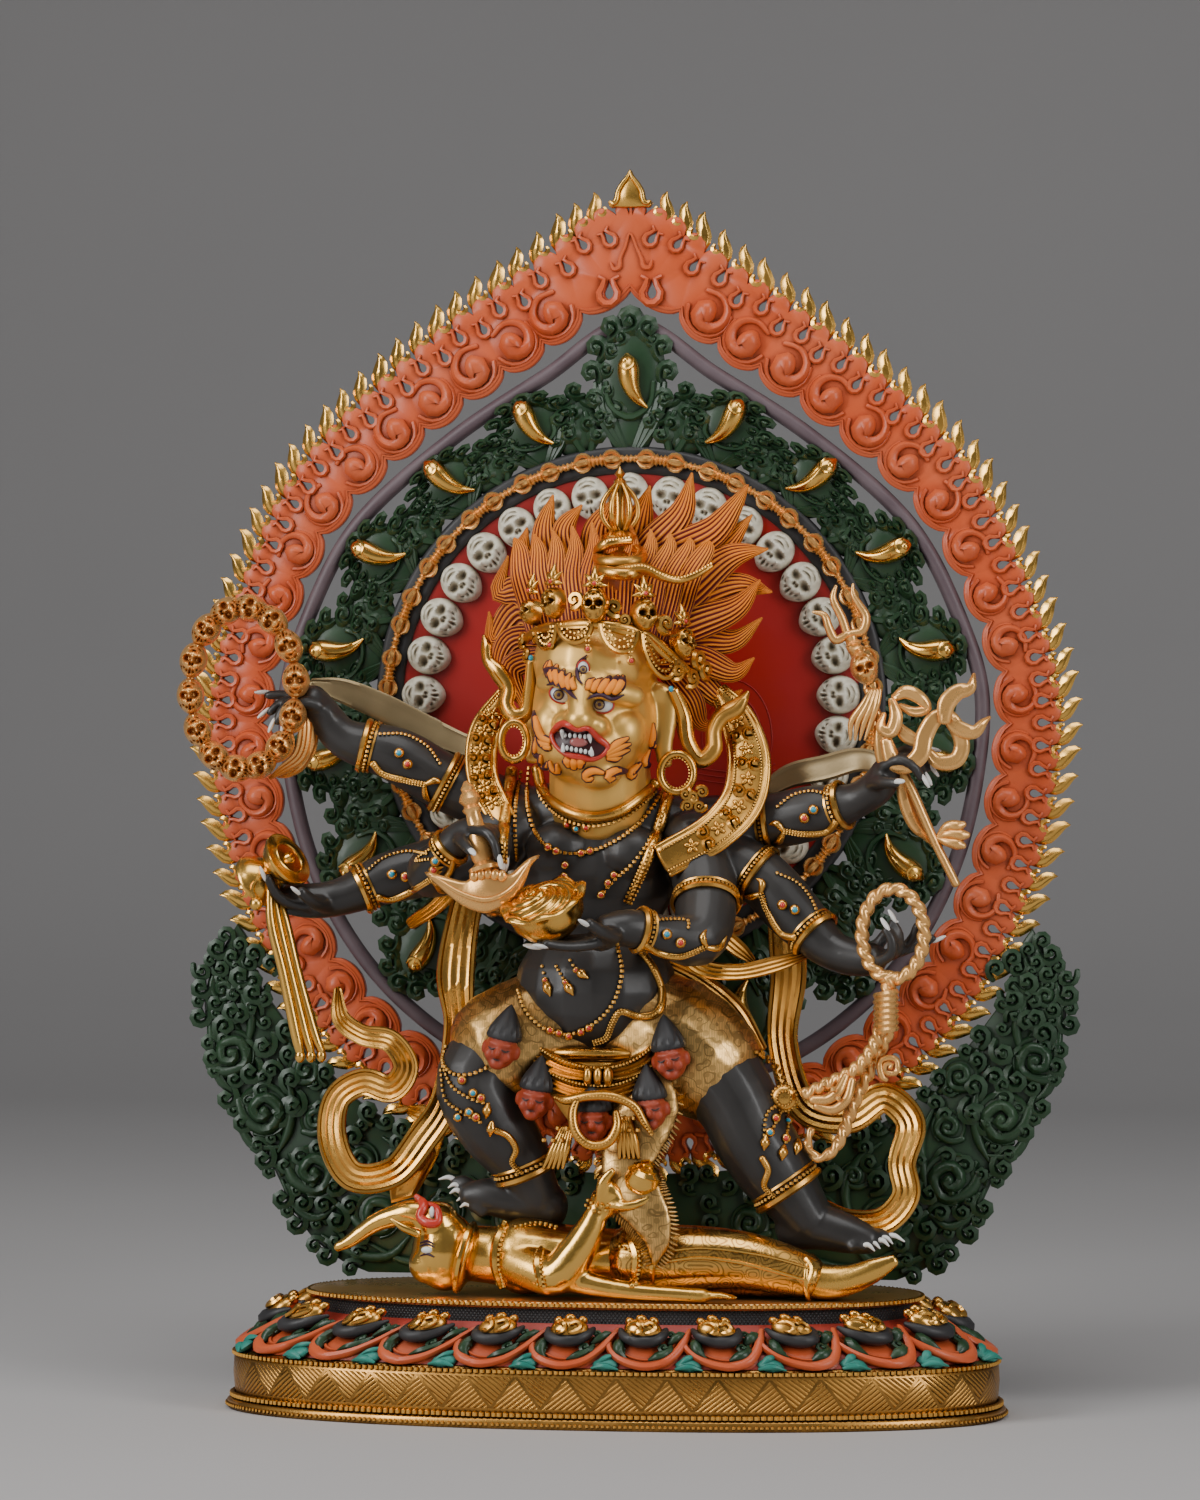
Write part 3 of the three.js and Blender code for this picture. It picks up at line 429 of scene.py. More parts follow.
for scale in ("Patch scale", "Grain scale"):
    noise = finish.nodes.new("ShaderNodeTexNoise")
    noise.inputs["Detail"].default_value = 5.0
    finish.links.new(where, noise.inputs["Vector"])
    finish.links.new(given.outputs[scale], noise.inputs["Scale"])
    noises.append(noise.outputs["Fac"])
patches, grain = noises
# Ambient occlusion finds the recesses. The recess colour mixed in there is painted shade, and on the gilding
# also patina.
occlusion = finish.nodes.new("ShaderNodeAmbientOcclusion")
occlusion.samples = 6
finish.links.new(given.outputs["Recess reach"], occlusion.inputs["Distance"])
do = partial(calc, finish)
closed_in = do("SUBTRACT", 1.0, occlusion.outputs["AO"])
uneven = do("MULTIPLY_ADD", patches, 1.1)
uneven.node.inputs[2].default_value = 0.45
recess = do("MULTIPLY", do("POWER", closed_in, 1.15), given.outputs["Recess amount"])
recess = do("MULTIPLY", recess, uneven, clamp=True)
painted = finish.nodes.new("ShaderNodeAttribute")
painted.attribute_name = "paint"
spread = do("MULTIPLY_ADD", patches, 3.0)
spread.node.inputs[2].default_value = -1.1
spread.node.use_clamp = True
colour = blend(finish, do("MULTIPLY", spread, given.outputs["Patch amount"]), given.outputs["Base"],
    given.outputs["Rubbed"])
colour = blend(finish, do("MULTIPLY", painted.outputs["Fac"], 1.0, clamp=True), colour,
    given.outputs["Painted"])
# Painted shade: the recess colour darkens the base colour where occlusion is high.
colour = blend(finish, recess, colour, given.outputs["Recess"])
span = do("SUBTRACT", given.outputs["Rough"], given.outputs["Smooth"])
share = do("ADD", do("MULTIPLY", spread, 0.7), do("MULTIPLY", recess, 0.6), clamp=True)
rough = do("ADD", do("MULTIPLY", span, share), given.outputs["Smooth"])
rough = do("ADD", rough, do("MULTIPLY", do("SUBTRACT", grain, 0.5), 0.12), clamp=True)
height = do("ADD", do("MULTIPLY", grain, 0.6), do("MULTIPLY", patches, 0.4))
for value, name in ((colour, "Colour"), (rough, "Roughness"), (height, "Height")):
    finish.links.new(value, made.inputs[name])
print(len(finish.nodes), "nodes in the worn finish and painted shade")

# %% Materials with that wear and painted shade


def material(name, base, recess, rubbed, gloss=(0.25, 0.5), shade_and_patina=(0.004, 1.0), patches=(40.0, 0.3),
        painted=(0, 0, 0), metallic=0.0, bump=0.15, coat=0.0, shine=0.5):
    """A material with the shared finish. Colours are linear. Gloss is its least and greatest roughness.
    shade_and_patina is how far and how strongly the recess colour is painted in as shade and patina.
    Patches gives how fine and how strong the patches are."""
    mat = bpy.data.materials.new(name)
    mat.use_nodes = True
    tree = mat.node_tree
    shader = tree.nodes["Principled BSDF"]
    group = tree.nodes.new("ShaderNodeGroup")
    group.node_tree = finish
    for slot, value in (("Base", base), ("Recess", recess), ("Rubbed", rubbed), ("Painted", painted)):
        group.inputs[slot].default_value = (*value, 1)
    for slot, value in zip(WEAR_AND_SHADE, (*shade_and_patina, *patches, *gloss)):
        group.inputs[slot].default_value = value
    ridge = tree.nodes.new("ShaderNodeBump")
    ridge.inputs["Strength"].default_value = bump
    ridge.inputs["Distance"].default_value = 0.0004
    tree.links.new(group.outputs["Height"], ridge.inputs["Height"])
    tree.links.new(ridge.outputs["Normal"], shader.inputs["Normal"])
    tree.links.new(group.outputs["Colour"], shader.inputs["Base Color"])
    tree.links.new(group.outputs["Roughness"], shader.inputs["Roughness"])
    shader.inputs["Metallic"].default_value = metallic
    shader.inputs["Coat Weight"].default_value = coat
    shader.inputs["Specular IOR Level"].default_value = shine
    shader.inputs["Coat Roughness"].default_value = 0.2
    return mat


def engraved(mat, cut, depth=0.0005, dark=0.6):
    """Lines, given as a value from 0 to 1, that are cut into a finish and hold its dark colour."""
    tree = mat.node_tree
    shader = tree.nodes["Principled BSDF"]
    group = next(node for node in tree.nodes if node.type == "GROUP")
    groove = tree.nodes.new("ShaderNodeBump")
    groove.invert = True
    groove.inputs["Distance"].default_value = depth
    tree.links.new(cut, groove.inputs["Height"])
    tree.links.new(shader.inputs["Normal"].links[0].from_socket, groove.inputs["Normal"])
    tree.links.new(groove.outputs["Normal"], shader.inputs["Normal"])
    shade = tree.nodes.new("ShaderNodeRGB")
    shade.outputs[0].default_value = group.inputs["Recess"].default_value
    colour = blend(tree, calc(tree, "MULTIPLY", cut, dark, clamp=True), group.outputs["Colour"],
        shade.outputs[0])
    tree.links.new(colour, shader.inputs["Base Color"])


def attribute(tree, name):
    """The value that a mesh holds on its points under a name."""
    node = tree.nodes.new("ShaderNodeAttribute")
    node.attribute_name = name
    return node.outputs["Fac"]


def write_attribute(made, name, values):
    """Keeps a value for each point of a made piece under a name."""
    made.data.attributes.new(name, "FLOAT", "POINT").data.foreach_set("value",
        np.asarray(values, np.float32))

# %% The finishes of this figure
# The dark recess colour of the gilding: painted shade, and patina.
GOLD_DARK = (0.045, 0.02, 0.008)
GOLD = material("gold", (0.90, 0.48, 0.11), GOLD_DARK, (0.62, 0.29, 0.06), gloss=(0.2, 0.48),
    shade_and_patina=(0.004, 1.3), patches=(45, 0.45), painted=(0.30, 0.14, 0.04), metallic=1.0)
GOLD_BRIGHT = material("polished gold", (0.94, 0.55, 0.13), (0.30, 0.12, 0.02), (0.78, 0.40, 0.08),
    gloss=(0.17, 0.38), shade_and_patina=(0.003, 0.8), patches=(30, 0.35), painted=(0.2, 0.09, 0.03), metallic=1.0)
COPPER_GOLD = material("copper gold", (0.96, 0.52, 0.17), (0.40, 0.15, 0.035), (0.86, 0.42, 0.12),
    gloss=(0.2, 0.42), shade_and_patina=(0.003, 0.6), patches=(60, 0.4), painted=(0.62, 0.27, 0.07), metallic=0.7)
FACE_GOLD = material("matt cold gold", (0.90, 0.53, 0.13), (0.30, 0.12, 0.025), (0.92, 0.60, 0.18),
    gloss=(0.34, 0.5), shade_and_patina=(0.006, 0.9), patches=(20, 0.3), painted=(0.25, 0.1, 0.03),
    metallic=0.75, bump=0.06)
FLAME_RED = material("terracotta paint", (0.62, 0.10, 0.030), (0.10, 0.012, 0.005), (0.70, 0.16, 0.06),
    gloss=(0.34, 0.52), shade_and_patina=(0.004, 0.9), patches=(35, 0.5), painted=(0.25, 0.03, 0.012),
    coat=0.15, shine=0.3)
LEAF_GREEN = material("leaf green paint", (0.012, 0.043, 0.015), (0.002, 0.006, 0.003),
    (0.032, 0.085, 0.03), gloss=(0.36, 0.56), shade_and_patina=(0.004, 1.0), patches=(45, 0.45),
    painted=(0.02, 0.05, 0.03), coat=0.12)
ROD_GREY = material("purple grey paint", (0.10, 0.068, 0.078), (0.02, 0.012, 0.014), (0.17, 0.13, 0.14),
    gloss=(0.45, 0.65), shade_and_patina=(0.005, 1.0), patches=(50, 0.5))
RIM_BLACK = material("rim paint", (0.022, 0.021, 0.022), (0.006, 0.006, 0.006), (0.05, 0.048, 0.048),
    gloss=(0.42, 0.65), shade_and_patina=(0.005, 1.0), patches=(60, 0.5))
HALO_RED = material("halo red paint", (0.44, 0.016, 0.013), (0.06, 0.002, 0.002), (0.42, 0.02, 0.018),
    gloss=(0.36, 0.55), shade_and_patina=(0.006, 0.8), patches=(25, 0.4), painted=(0.16, 0.006, 0.008), coat=0.2)
BONE = material("bone paint", (0.80, 0.76, 0.60), (0.16, 0.12, 0.07), (0.84, 0.80, 0.66), gloss=(0.5, 0.75),
    shade_and_patina=(0.004, 0.8), patches=(60, 0.4), painted=(0.22, 0.18, 0.11))
SKIN_BLACK = material("body paint", (0.021, 0.019, 0.0175), (0.005, 0.0045, 0.004), (0.044, 0.039, 0.035),
    gloss=(0.36, 0.55), shade_and_patina=(0.006, 0.9), patches=(22, 0.5), bump=0.1, coat=0.12)
HAIR_ORANGE = material("hair paint", (1.0, 0.27, 0.018), (0.09, 0.005, 0.009), (1.0, 0.42, 0.06),
    gloss=(0.45, 0.7), shade_and_patina=(0.003, 0.8), patches=(40, 0.5), painted=(0.11, 0.007, 0.012), shine=0.2)
HEAD_RED = material("severed head paint", (0.36, 0.045, 0.014), (0.06, 0.007, 0.004), (0.46, 0.08, 0.03),
    gloss=(0.4, 0.6), shade_and_patina=(0.003, 1.1), painted=(0.12, 0.02, 0.012))
TEAL = material("teal paint", (0.012, 0.20, 0.15), (0.008, 0.05, 0.04), (0.09, 0.42, 0.34),
    gloss=(0.4, 0.6), shade_and_patina=(0.004, 1.0), painted=(0.01, 0.08, 0.07))
PETAL_RED = material("petal paint", (0.42, 0.045, 0.028), (0.08, 0.008, 0.006), (0.54, 0.09, 0.05),
    gloss=(0.42, 0.62), shade_and_patina=(0.004, 0.9), painted=(0.3, 0.02, 0.02))
WHITE = material("tooth and nail paint", (0.80, 0.80, 0.76), (0.25, 0.2, 0.17), (0.9, 0.9, 0.88),
    gloss=(0.25, 0.4), shade_and_patina=(0.002, 1.0), painted=(0.3, 0.55, 0.75), coat=0.3)
RED_STONE = material("coral", (0.62, 0.03, 0.02), (0.1, 0.01, 0.01), (0.75, 0.1, 0.06), gloss=(0.08, 0.2),
    shade_and_patina=(0.001, 1.0), coat=0.5)
BLUE_STONE = material("turquoise", (0.01, 0.34, 0.50), (0.01, 0.08, 0.1), (0.08, 0.5, 0.6),
    gloss=(0.1, 0.25), shade_and_patina=(0.001, 1.0), coat=0.5)
print(len(bpy.data.materials), "finishes")

# %% [markdown]
# ## Camera, light and floor
# The camera stands 3 m in front of the figure and 9 degrees to its left, level with the chest.
# Two large soft lights stand at the sides and one overhead, over a plain pale floor.

# %% Camera, lights, floor
AZIMUTH = math.radians(9)
PITCH = math.radians(-0.5634)
camera = bpy.data.objects.new("camera", bpy.data.cameras.new("camera"))
camera.data.sensor_fit = "VERTICAL"
camera.data.sensor_height = 36
camera.data.lens = 144
camera.location = (0.46238, -2.96416, 0.36)
look = Vector((-math.sin(AZIMUTH) * math.cos(PITCH), math.cos(AZIMUTH) * math.cos(PITCH), math.sin(PITCH)))
camera.rotation_euler = look.to_track_quat("-Z", "Y").to_euler()
bpy.context.scene.collection.objects.link(camera)
bpy.context.scene.camera = camera


def soft_light(name, place, aim, size, power):
    """A four-sided light with its width and height in metres and its power in watts, aimed from a place."""
    light = bpy.data.objects.new(name, bpy.data.lights.new(name, "AREA"))
    light.data.shape = "RECTANGLE"
    light.data.size, light.data.size_y = size
    light.data.energy = power
    light.location = place
    light.rotation_euler = (Vector(aim) - Vector(place)).to_track_quat("-Z", "Y").to_euler()
    bpy.context.scene.collection.objects.link(light)


MIDDLE = (0, 0, 0.3)
soft_light("left", (-1.5, -1.5, 1.1), MIDDLE, (0.9, 1.5), 34)
soft_light("right", (1.7, -1.2, 0.9), MIDDLE, (0.7, 1.4), 19)
soft_light("above", (0.0, -0.7, 1.9), MIDDLE, (1.4, 0.9), 14)
world = bpy.data.worlds.new("studio")
world.use_nodes = True
world.node_tree.nodes["Background"].inputs["Color"].default_value = (0.62, 0.63, 0.65, 1)
world.node_tree.nodes["Background"].inputs["Strength"].default_value = 0.24
bpy.context.scene.world = world

floor_line = np.array([(0, -6), (0, 2.2), (0.05, 2.8), (0.4, 3.4), (1.2, 3.7), (5, 3.8)], float)
floor_mesh = bpy.data.meshes.new("floor")
floor_points = [(x, y, z) for z, y in floor_line for x in (-8.0, 8.0)]
floor_mesh.from_pydata(floor_points, [],
    [(2 * i, 2 * i + 1, 2 * i + 3, 2 * i + 2) for i in range(len(floor_line) - 1)])
floor_mesh.materials.append(material("studio paper", (0.49, 0.475, 0.47), (0.4, 0.4, 0.4),
    (0.53, 0.515, 0.51), gloss=(0.75, 0.9), shade_and_patina=(0.004, 0.0), patches=(2.0, 0.3), bump=0.02))
floor_mesh.polygons.foreach_set("use_smooth", np.ones(len(floor_mesh.polygons), bool))
floor = bpy.data.objects.new("floor", floor_mesh)
bpy.context.scene.collection.objects.link(floor)

# %% [markdown]
# ## Aureole: the band of flames
# A pierced sheet stands behind the figure. Its outer edge ends in gilt flame tips, each dip
# between them runs into a small hooked drop, and its inner edge is scalloped, with a spiral on
# each lobe. All of it follows lines drawn in from the flames' tips.

# %% Lines of the aureole
PLINTH_TOP = 60.5
BASE = PLINTH_TOP + 0.3
HEIGHT = 564.5
HALF_WIDTH = 229.0
BELT = 0.53
BAND_SIDE, BAND_TOP = 42, 66.0
AUREOLE_Y = 56.0
FRONT, BACK = AUREOLE_Y - 3, AUREOLE_Y + 3.0
HALO_CENTRE = np.array([0, FRONT, 353])
HALO_RADIUS, HALO_RIM = 131.5, 14.0
TIP_LINE = np.array([
    [0, 1], [0.245, 0.934], [0.52, 0.853], [0.8, 0.74], [0.935, 0.626], [1, 0.53], [0.985, 0.433],
    [0.926, 0.339], [0.81, 0.247], [0.646, 0.173], [0.437, 0.117], [0.218, 0.092], [0, 0.086]])


def aureole_line(side, top, foot):
    """The closed line of the flames' tips, drawn in by so much at the side, the top and the foot."""
    x, z = TIP_LINE.T
    above = 1 - top / (HEIGHT * (1 - BELT))
    below = 1 - foot / (HEIGHT * (BELT - TIP_LINE[-1, 1]))
    rise = (z - BELT) * np.where(z > BELT, above, below)
    right = np.c_[x * (HALF_WIDTH - side), 0 * x + FRONT, (BELT + rise) * HEIGHT + BASE]
    left = right[-2:0:-1] * (-1, 1, 1)
    return smooth_line(np.vstack([right, left]), 1800, closed=True)


def on_line(line, shares, inset=0):
    """Points at shares of a closed line, moved inwards, with the ways along it and outwards."""
    n = len(line)
    at = (np.asarray(shares, float) % 1) * n
    low = np.floor(at).astype(int)
    part = (at - low)[:, None]
    low = low % n
    point = line[low] * (1 - part) + line[(low + 1) % n] * part
    along = unit(line[(low + 6) % n] - line[low - 6])
    outward = np.c_[-along[:, 2], 0 * at, along[:, 0]]
    return point - outward * np.broadcast_to(inset, len(at))[:, None], along, outward


TOWARDS = np.array([0, -1, 0])


def relief_axes(along, outward, scale=1, mirror=None):
    """Axes for work stamped on the sheet: along the line, outwards, and towards the viewer."""
    n = len(along)
    scale = np.broadcast_to(scale, n)[:, None]
    sign = np.ones(n) if mirror is None else np.where(mirror, -1, 1)
    return np.stack([along * scale * sign[:, None], outward * scale,
        np.broadcast_to(TOWARDS, (n, 3)) * scale], 1)


TIPS = aureole_line(0, 0, 0)
SCALLOP_LINE = aureole_line(BAND_SIDE, BAND_TOP, BAND_SIDE)
ROD_LINE = aureole_line(50, 78.5, 50)
FLAMES, SCALLOPS = 116, 48

# %% The pierced sheet with its drops and scallops
flame = np.arange(FLAMES)
root_shares = (flame[:, None] + np.array([-0.5, -0.4, -0.28, 0, 0.28, 0.4])).reshape(-1) / FLAMES
root_insets = np.tile([15.5, 12.6, 11, 10, 11, 12.6], FLAMES)
from_apex = np.abs((root_shares * FLAMES + FLAMES / 2) % FLAMES - FLAMES / 2)
root_insets += np.interp(from_apex, [0.4, 1.3, 2.5], [7.5, 5.5, 0])
outer_edge = on_line(TIPS, root_shares, root_insets)[0][:, [0, 2]]
lobe_shares = np.arange(SCALLOPS * 12) / (SCALLOPS * 12)
lobe = np.abs(np.sin(np.pi * SCALLOPS * lobe_shares)) ** 0.62
inner_edge = on_line(SCALLOP_LINE, lobe_shares, 6.5 * lobe - 4.2)[0][:, [0, 2]]

drop_shares = (flame + 0.5) / FLAMES
tip_points, drop_along, drop_out = on_line(TIPS, drop_shares)
band_width = np.linalg.norm(SCALLOP_LINE[None, ::6] - tip_points[:, None], axis=2).min(1)
by_turns = np.where(np.minimum(flame, FLAMES - 1 - flame) % 2, 0.12, 0.52)
drop_inset = 19.5 + (band_width - BAND_SIDE) * by_turns
drop_places = on_line(TIPS, drop_shares, drop_inset)[0]
DROP = np.array([[0, 4.6], [0.7, 2.6], [1.5, 1.2], [2, -0.3], [1.7, -1.7], [0.9, -2.6], [0, -2.9],
    [-0.9, -2.6], [-1.7, -1.7], [-2, -0.3], [-1.5, 1.2], [-0.7, 2.6]])
drop_holes = [p[[0, 2]] + DROP @ np.stack([a[[0, 2]], o[[0, 2]]])
    for p, a, o in list(zip(drop_places, drop_along, drop_out))[2:-2]]
drop_holes += [DROP * 1.25 + (x, 563) for x in (-11, 11)]
band_sheet = pierced([outer_edge, inner_edge, *drop_holes], FRONT, BACK)

hook = tube([(-3.4, 5.2, 0.2, 0.7), (-1.5, 4.2, 0.7, 0.9), (-2.1, 1.8, 0.8, 0.95), (-3.3, -0.6, 0.9, 1.1),
    (-2.4, -3.2, 1, 1.3), (0, -4.3, 1, 1.4), (2.4, -3.2, 1, 1.3), (3.3, -0.6, 0.9, 1.1),
    (2.1, 1.8, 0.8, 0.95), (1.5, 4.2, 0.7, 0.9), (3.4, 5.2, 0.2, 0.7)], 5, 12, **FLAT)
hooks = stamp(hook, drop_places[2:-2], relief_axes(drop_along, drop_out)[2:-2])

SPIRAL_TURNS = 0.95
turn_share = np.linspace(0, 1, 9)
spiral_angle = 2.3 - turn_share * SPIRAL_TURNS * 2 * np.pi
spiral_reach = 9.4 * (1 - turn_share) ** 0.75 + 0.6
spiral_x, spiral_y = spiral_reach * np.cos(spiral_angle), spiral_reach * np.sin(spiral_angle)
spiral = tube(np.c_[spiral_x, spiral_y, 0.2 + 0.6 * turn_share,
    1.2 + 4.8 * turn_share**1.5, 1.1 + 4.2 * turn_share**1.2], 7, 17, **FLAT)
groove_rows = [(9.5 * math.cos(a), 9.5 * math.sin(a), 0.3, 1) for a in np.linspace(-2.9, 0.5, 7)]
groove = tube(groove_rows, 5, 11, **FLAT)
lobe_centres = (np.arange(SCALLOPS) + 0.5) / SCALLOPS
near = on_line(SCALLOP_LINE, lobe_centres)[0]
lobe_width = np.linalg.norm(TIPS[None, ::6] - near[:, None], axis=2).min(1)
lobe_size = np.clip(lobe_width / BAND_SIDE, 1, 1.2)
spiral_places, spiral_along, spiral_out = on_line(SCALLOP_LINE, lobe_centres, 1.5 - 12.0 * lobe_size)
spiral_axes = relief_axes(spiral_along, spiral_out, lobe_size, np.arange(SCALLOPS) % 2 == 0)
spirals = stamp(merge([spiral, groove]), spiral_places[1:-1], spiral_axes[1:-1])
middle_hooks = [moved(hook, (x, FRONT - 0.2, 563), (math.pi / 2, 0, 0), 1.5) for x in (-11, 11)]
arch = tube([(x, FRONT - 0.6, z, r) for x, z, r in ((-9.8, 577.5, 0.8), (-8.2, 574.5, 1.4),
    (-5.6, 575.5, 1.5), (-5, 580, 1.1), (-2.4, 586, 0.9), (0, 592.5, 0.7), (3.6, 585, 0.9),
    (6, 579.5, 1.2), (7.2, 575.5, 1.6), (10, 575.2, 1.4), (11.2, 578.5, 0.8))], 6, 50)
edge_shares = np.arange(SCALLOPS * 8) / (SCALLOPS * 8)
edge_lobe = np.abs(np.sin(np.pi * SCALLOPS * edge_shares)) ** 0.62
edge_path, _, edge_out = on_line(SCALLOP_LINE, edge_shares, 6.5 * edge_lobe - 7)
edge_bead = skin(edge_path[:, None]
    + (edge_out[:, None] * CIRCLE[5][:, :1] + TOWARDS * CIRCLE[5][:, 1:]) * 0.9, closed=True)
piece("flame_band", [band_sheet, hooks, spirals, *middle_hooks, arch, edge_bead], FLAME_RED,
    "flame_red", "aureole")

# %% [markdown]
# Each gilt tip is a small leaf with a ridge that bends towards the apex, with a hook at its root.
# The largest stands at the apex, with a leaf of the same kind on each side of it.

# %% Gilt flame tips
TONGUE_SECTION = np.array([[-1, 0], [-0.6, -0.7], [-0.3, -0.55], [0, -0.95], [0.5, -0.6], [1, 0], [0, 0.6]])
tip_leaf = sweep([(3.2, -2.8, -0.4, 2.2, 1.1), (2, 2.6, 0.2, 3.3, 1.5), (-0.7, 5.2, 0.5, 3.2, 1.6),
        (-3.6, 7.4, 0.5, 2.8, 1.4), (-5.3, 9.8, 0.3, 1.7, 1), (-5.9, 12.2, 0.2, 0.25, 0.4)],
    TONGUE_SECTION, 9, face=(0, 0, -1), fixed=True)
tip_hook = tube([(-0.9, 4, 0.6, 0.8), (-1, 1.4, 0.9, 1.4), (-3, -0.1, 1, 1.6), (-5.2, 1, 1, 1.4),
    (-5.4, 2.8, 0.8, 0.8)], 5, 8, **FLAT)
tip_shares = flame / FLAMES
tip_sizes = np.where(np.arange(FLAMES) % 3 == 1, 1.14, 1)
tip_places, tip_along, tip_out = on_line(TIPS, tip_shares, 11.8 * tip_sizes)
tip_axes = relief_axes(tip_along, tip_out, tip_sizes, tip_shares > 0.5)
tip_places[:, 2] -= np.interp(np.minimum(flame, FLAMES - flame), [1, 4], [8, 0])
upright = stamp(merge([tip_leaf, tip_hook]), tip_places[2:-1], tip_axes[2:-1])
upright.v[:, 1] += 2.0
CREST = [(0, 17.6), (1.6, 14.8), (4.6, 11), (7, 6.6), (7.6, 3), (8.4, 0.6), (10, 0.2), (10.4, 2), (11, 0),
    (9.6, -1.8), (7, -1.6), (4, -1.8)]
CREST_FOOT = BASE + HEIGHT - 17.8
crest_line = smooth_line(
    np.array([(x, 0, z + CREST_FOOT) for x, z in CREST + [(-x, z) for x, z in CREST[:0:-1]]]),
    90, closed=True)
crest = pierced([crest_line[:, [0, 2]]], FRONT - 1.2, BACK - 1, 0.8)
crest_edges = [tube([(s * x, FRONT - 1.4, z + CREST_FOOT, r) for x, z, r in ((0, 16.8, 0.5), (1.2, 13.8, 1),
        (4, 10.2, 1.2), (6.2, 6, 1.3), (6.8, 2.6, 1.5), (8.4, 0.2, 1.5), (10.2, 1.4, 0.7))], 7, 22)
    for s in (1, -1)]
piece("flame_tips", [upright, crest, *crest_edges], GOLD_BRIGHT, "gilding", "aureole")

# %% [markdown]
# ## Aureole: rod, rim and halo
# A plain rod follows the inside of the band. The halo is a dark rim with a garland of double
# thunderbolts round a deep red field, with a ring of carved skulls at its edge.

# %% Rod, rim and field
rod = ROD_LINE[::6]
rod_out = on_line(ROD_LINE, np.arange(len(rod)) / len(rod))[2]
rod_section = rod_out[:, None] * CIRCLE[10][:, :1] + TOWARDS * CIRCLE[10][:, 1:]
rod_ring = rod[:, None] + (0, 2.6, 0) + rod_section * 3.9
piece("aureole_rod", skin(rod_ring, closed=True), ROD_GREY, "rod_grey", "aureole")

SPOKES = 180


def round_halo(angle):
    """Ways outwards, (sin a, cos a), and along, (cos a, -sin a), at angles a clockwise from the top."""
    c, s, zero = np.cos(angle), np.sin(angle), 0 * angle
    return np.stack([s, zero, c], -1), np.stack([c, zero, -s], -1)


radial = round_halo(np.arange(SPOKES) * 2 * np.pi / SPOKES)[0]


def halo_ring(profile, closed=True):
    """A ring turned about the halo's axis from rows of radius and depth behind the front."""
    r, y = np.asarray(profile, float).T
    rings = HALO_CENTRE + r[:, None, None] * radial + y[:, None, None] * (0, 1, 0)
    poles = None if closed else [HALO_CENTRE + (0, y[0], 0), HALO_CENTRE + (0, y[-1], 0)]
    return skin(rings, closed=closed, poles=poles)


inner, outer = HALO_RADIUS - HALO_RIM, HALO_RADIUS
piece("halo_rim", halo_ring([(inner, -0.6), (inner + 0.8, -1.8), (inner + 3, -2.2), (inner + 7, -1.4),
        (outer - 2.4, -2), (outer - 0.6, -1.2), (outer, 0.4), (outer - 0.2, 5.4), (inner, 5.4)]),
    RIM_BLACK, "body_black", "aureole")
red_field = halo_ring([(60, 1.6), (100, 1.4), (inner - 14, 1), (inner - 12.8, 0.2), (inner + 0.5, 0),
    (inner + 0.5, 5.2), (60, 5.4)], closed=False)

# %% Engraved lotus on the field: a few raised threads


def halo_thread(points):
    """A raised thread on the red field through points (x, z)."""
    return tube([(x, FRONT + 1.5, z, 0.35) for x, z in points], 5, 5 * len(points), fixed=True)


lotus_threads = [
    halo_thread([(52 + 9 * math.cos(a) * k, 336 + 13 * math.sin(a) * k) for a in np.linspace(-0.6, 3.7, 9)])
    for k in (1, 1.7, 2.3)]
lotus_threads += [halo_thread([(34, 321 - 3 * k), (50, 319 - 3 * k), (66, 320 - 3 * k), (74, 323 - 3 * k)])
    for k in range(3)]
piece("halo_field", [red_field, *lotus_threads], HALO_RED, "halo_red", "aureole")

# %% Garland of double thunderbolts
prongs = [tube([(s * 3.2, 0.9 * math.cos(a), 0.9 * math.sin(a), 1.2),
        (s * 5.5, 3.6 * math.cos(a), 3.6 * math.sin(a), 1.2), (s * 9, 3.9 * math.cos(a), 3.9 * math.sin(a),
        1.4), (s * 12, 0.9 * math.cos(a), 0.9 * math.sin(a), 1)],
    4, 7) for s in (1, -1) for a in np.arange(5) * 2 * np.pi / 5 + 0.3]
half_core = [(2.8, 0), (1.9, 1), (3.4, 2), (2.2, 3.2), (3.8, 4.2), (2.3, 5), (2.6, 9), (1.2, 11.8),
    (2.2, 13), (1.2, 14.2), (2.3, 15.6), (0.5, 17)]
core = turned([(r, -h) for r, h in half_core[:0:-1]] + half_core, 8, axis=(1, 0, 0))
VAJRAS = 24
vajra_out, vajra_along = round_halo((np.arange(VAJRAS) + 0.5) * 2 * np.pi / VAJRAS)
vajra = merge([core, *prongs])
vajra.v[:, 1] -= vajra.v[:, 0] ** 2 / (2 * (outer - 6.5))
garland_places = HALO_CENTRE + vajra_out * (outer - 6.5) - (0, 3.4, 0)
piece("halo_garland", stamp(vajra, garland_places, relief_axes(vajra_along, vajra_out)), COPPER_GOLD,
    "gilding", "aureole")

# %% [markdown]
# A carved skull is one relief over a shield-shaped plan. Its height is a dome with dents for the
# sockets and the nose, a curved grin with teeth, and waved lines of hair over the brow. The same
# relief serves the halo, the crown and the string of skulls.

# %% The carved skull
RELIEF = 1.3


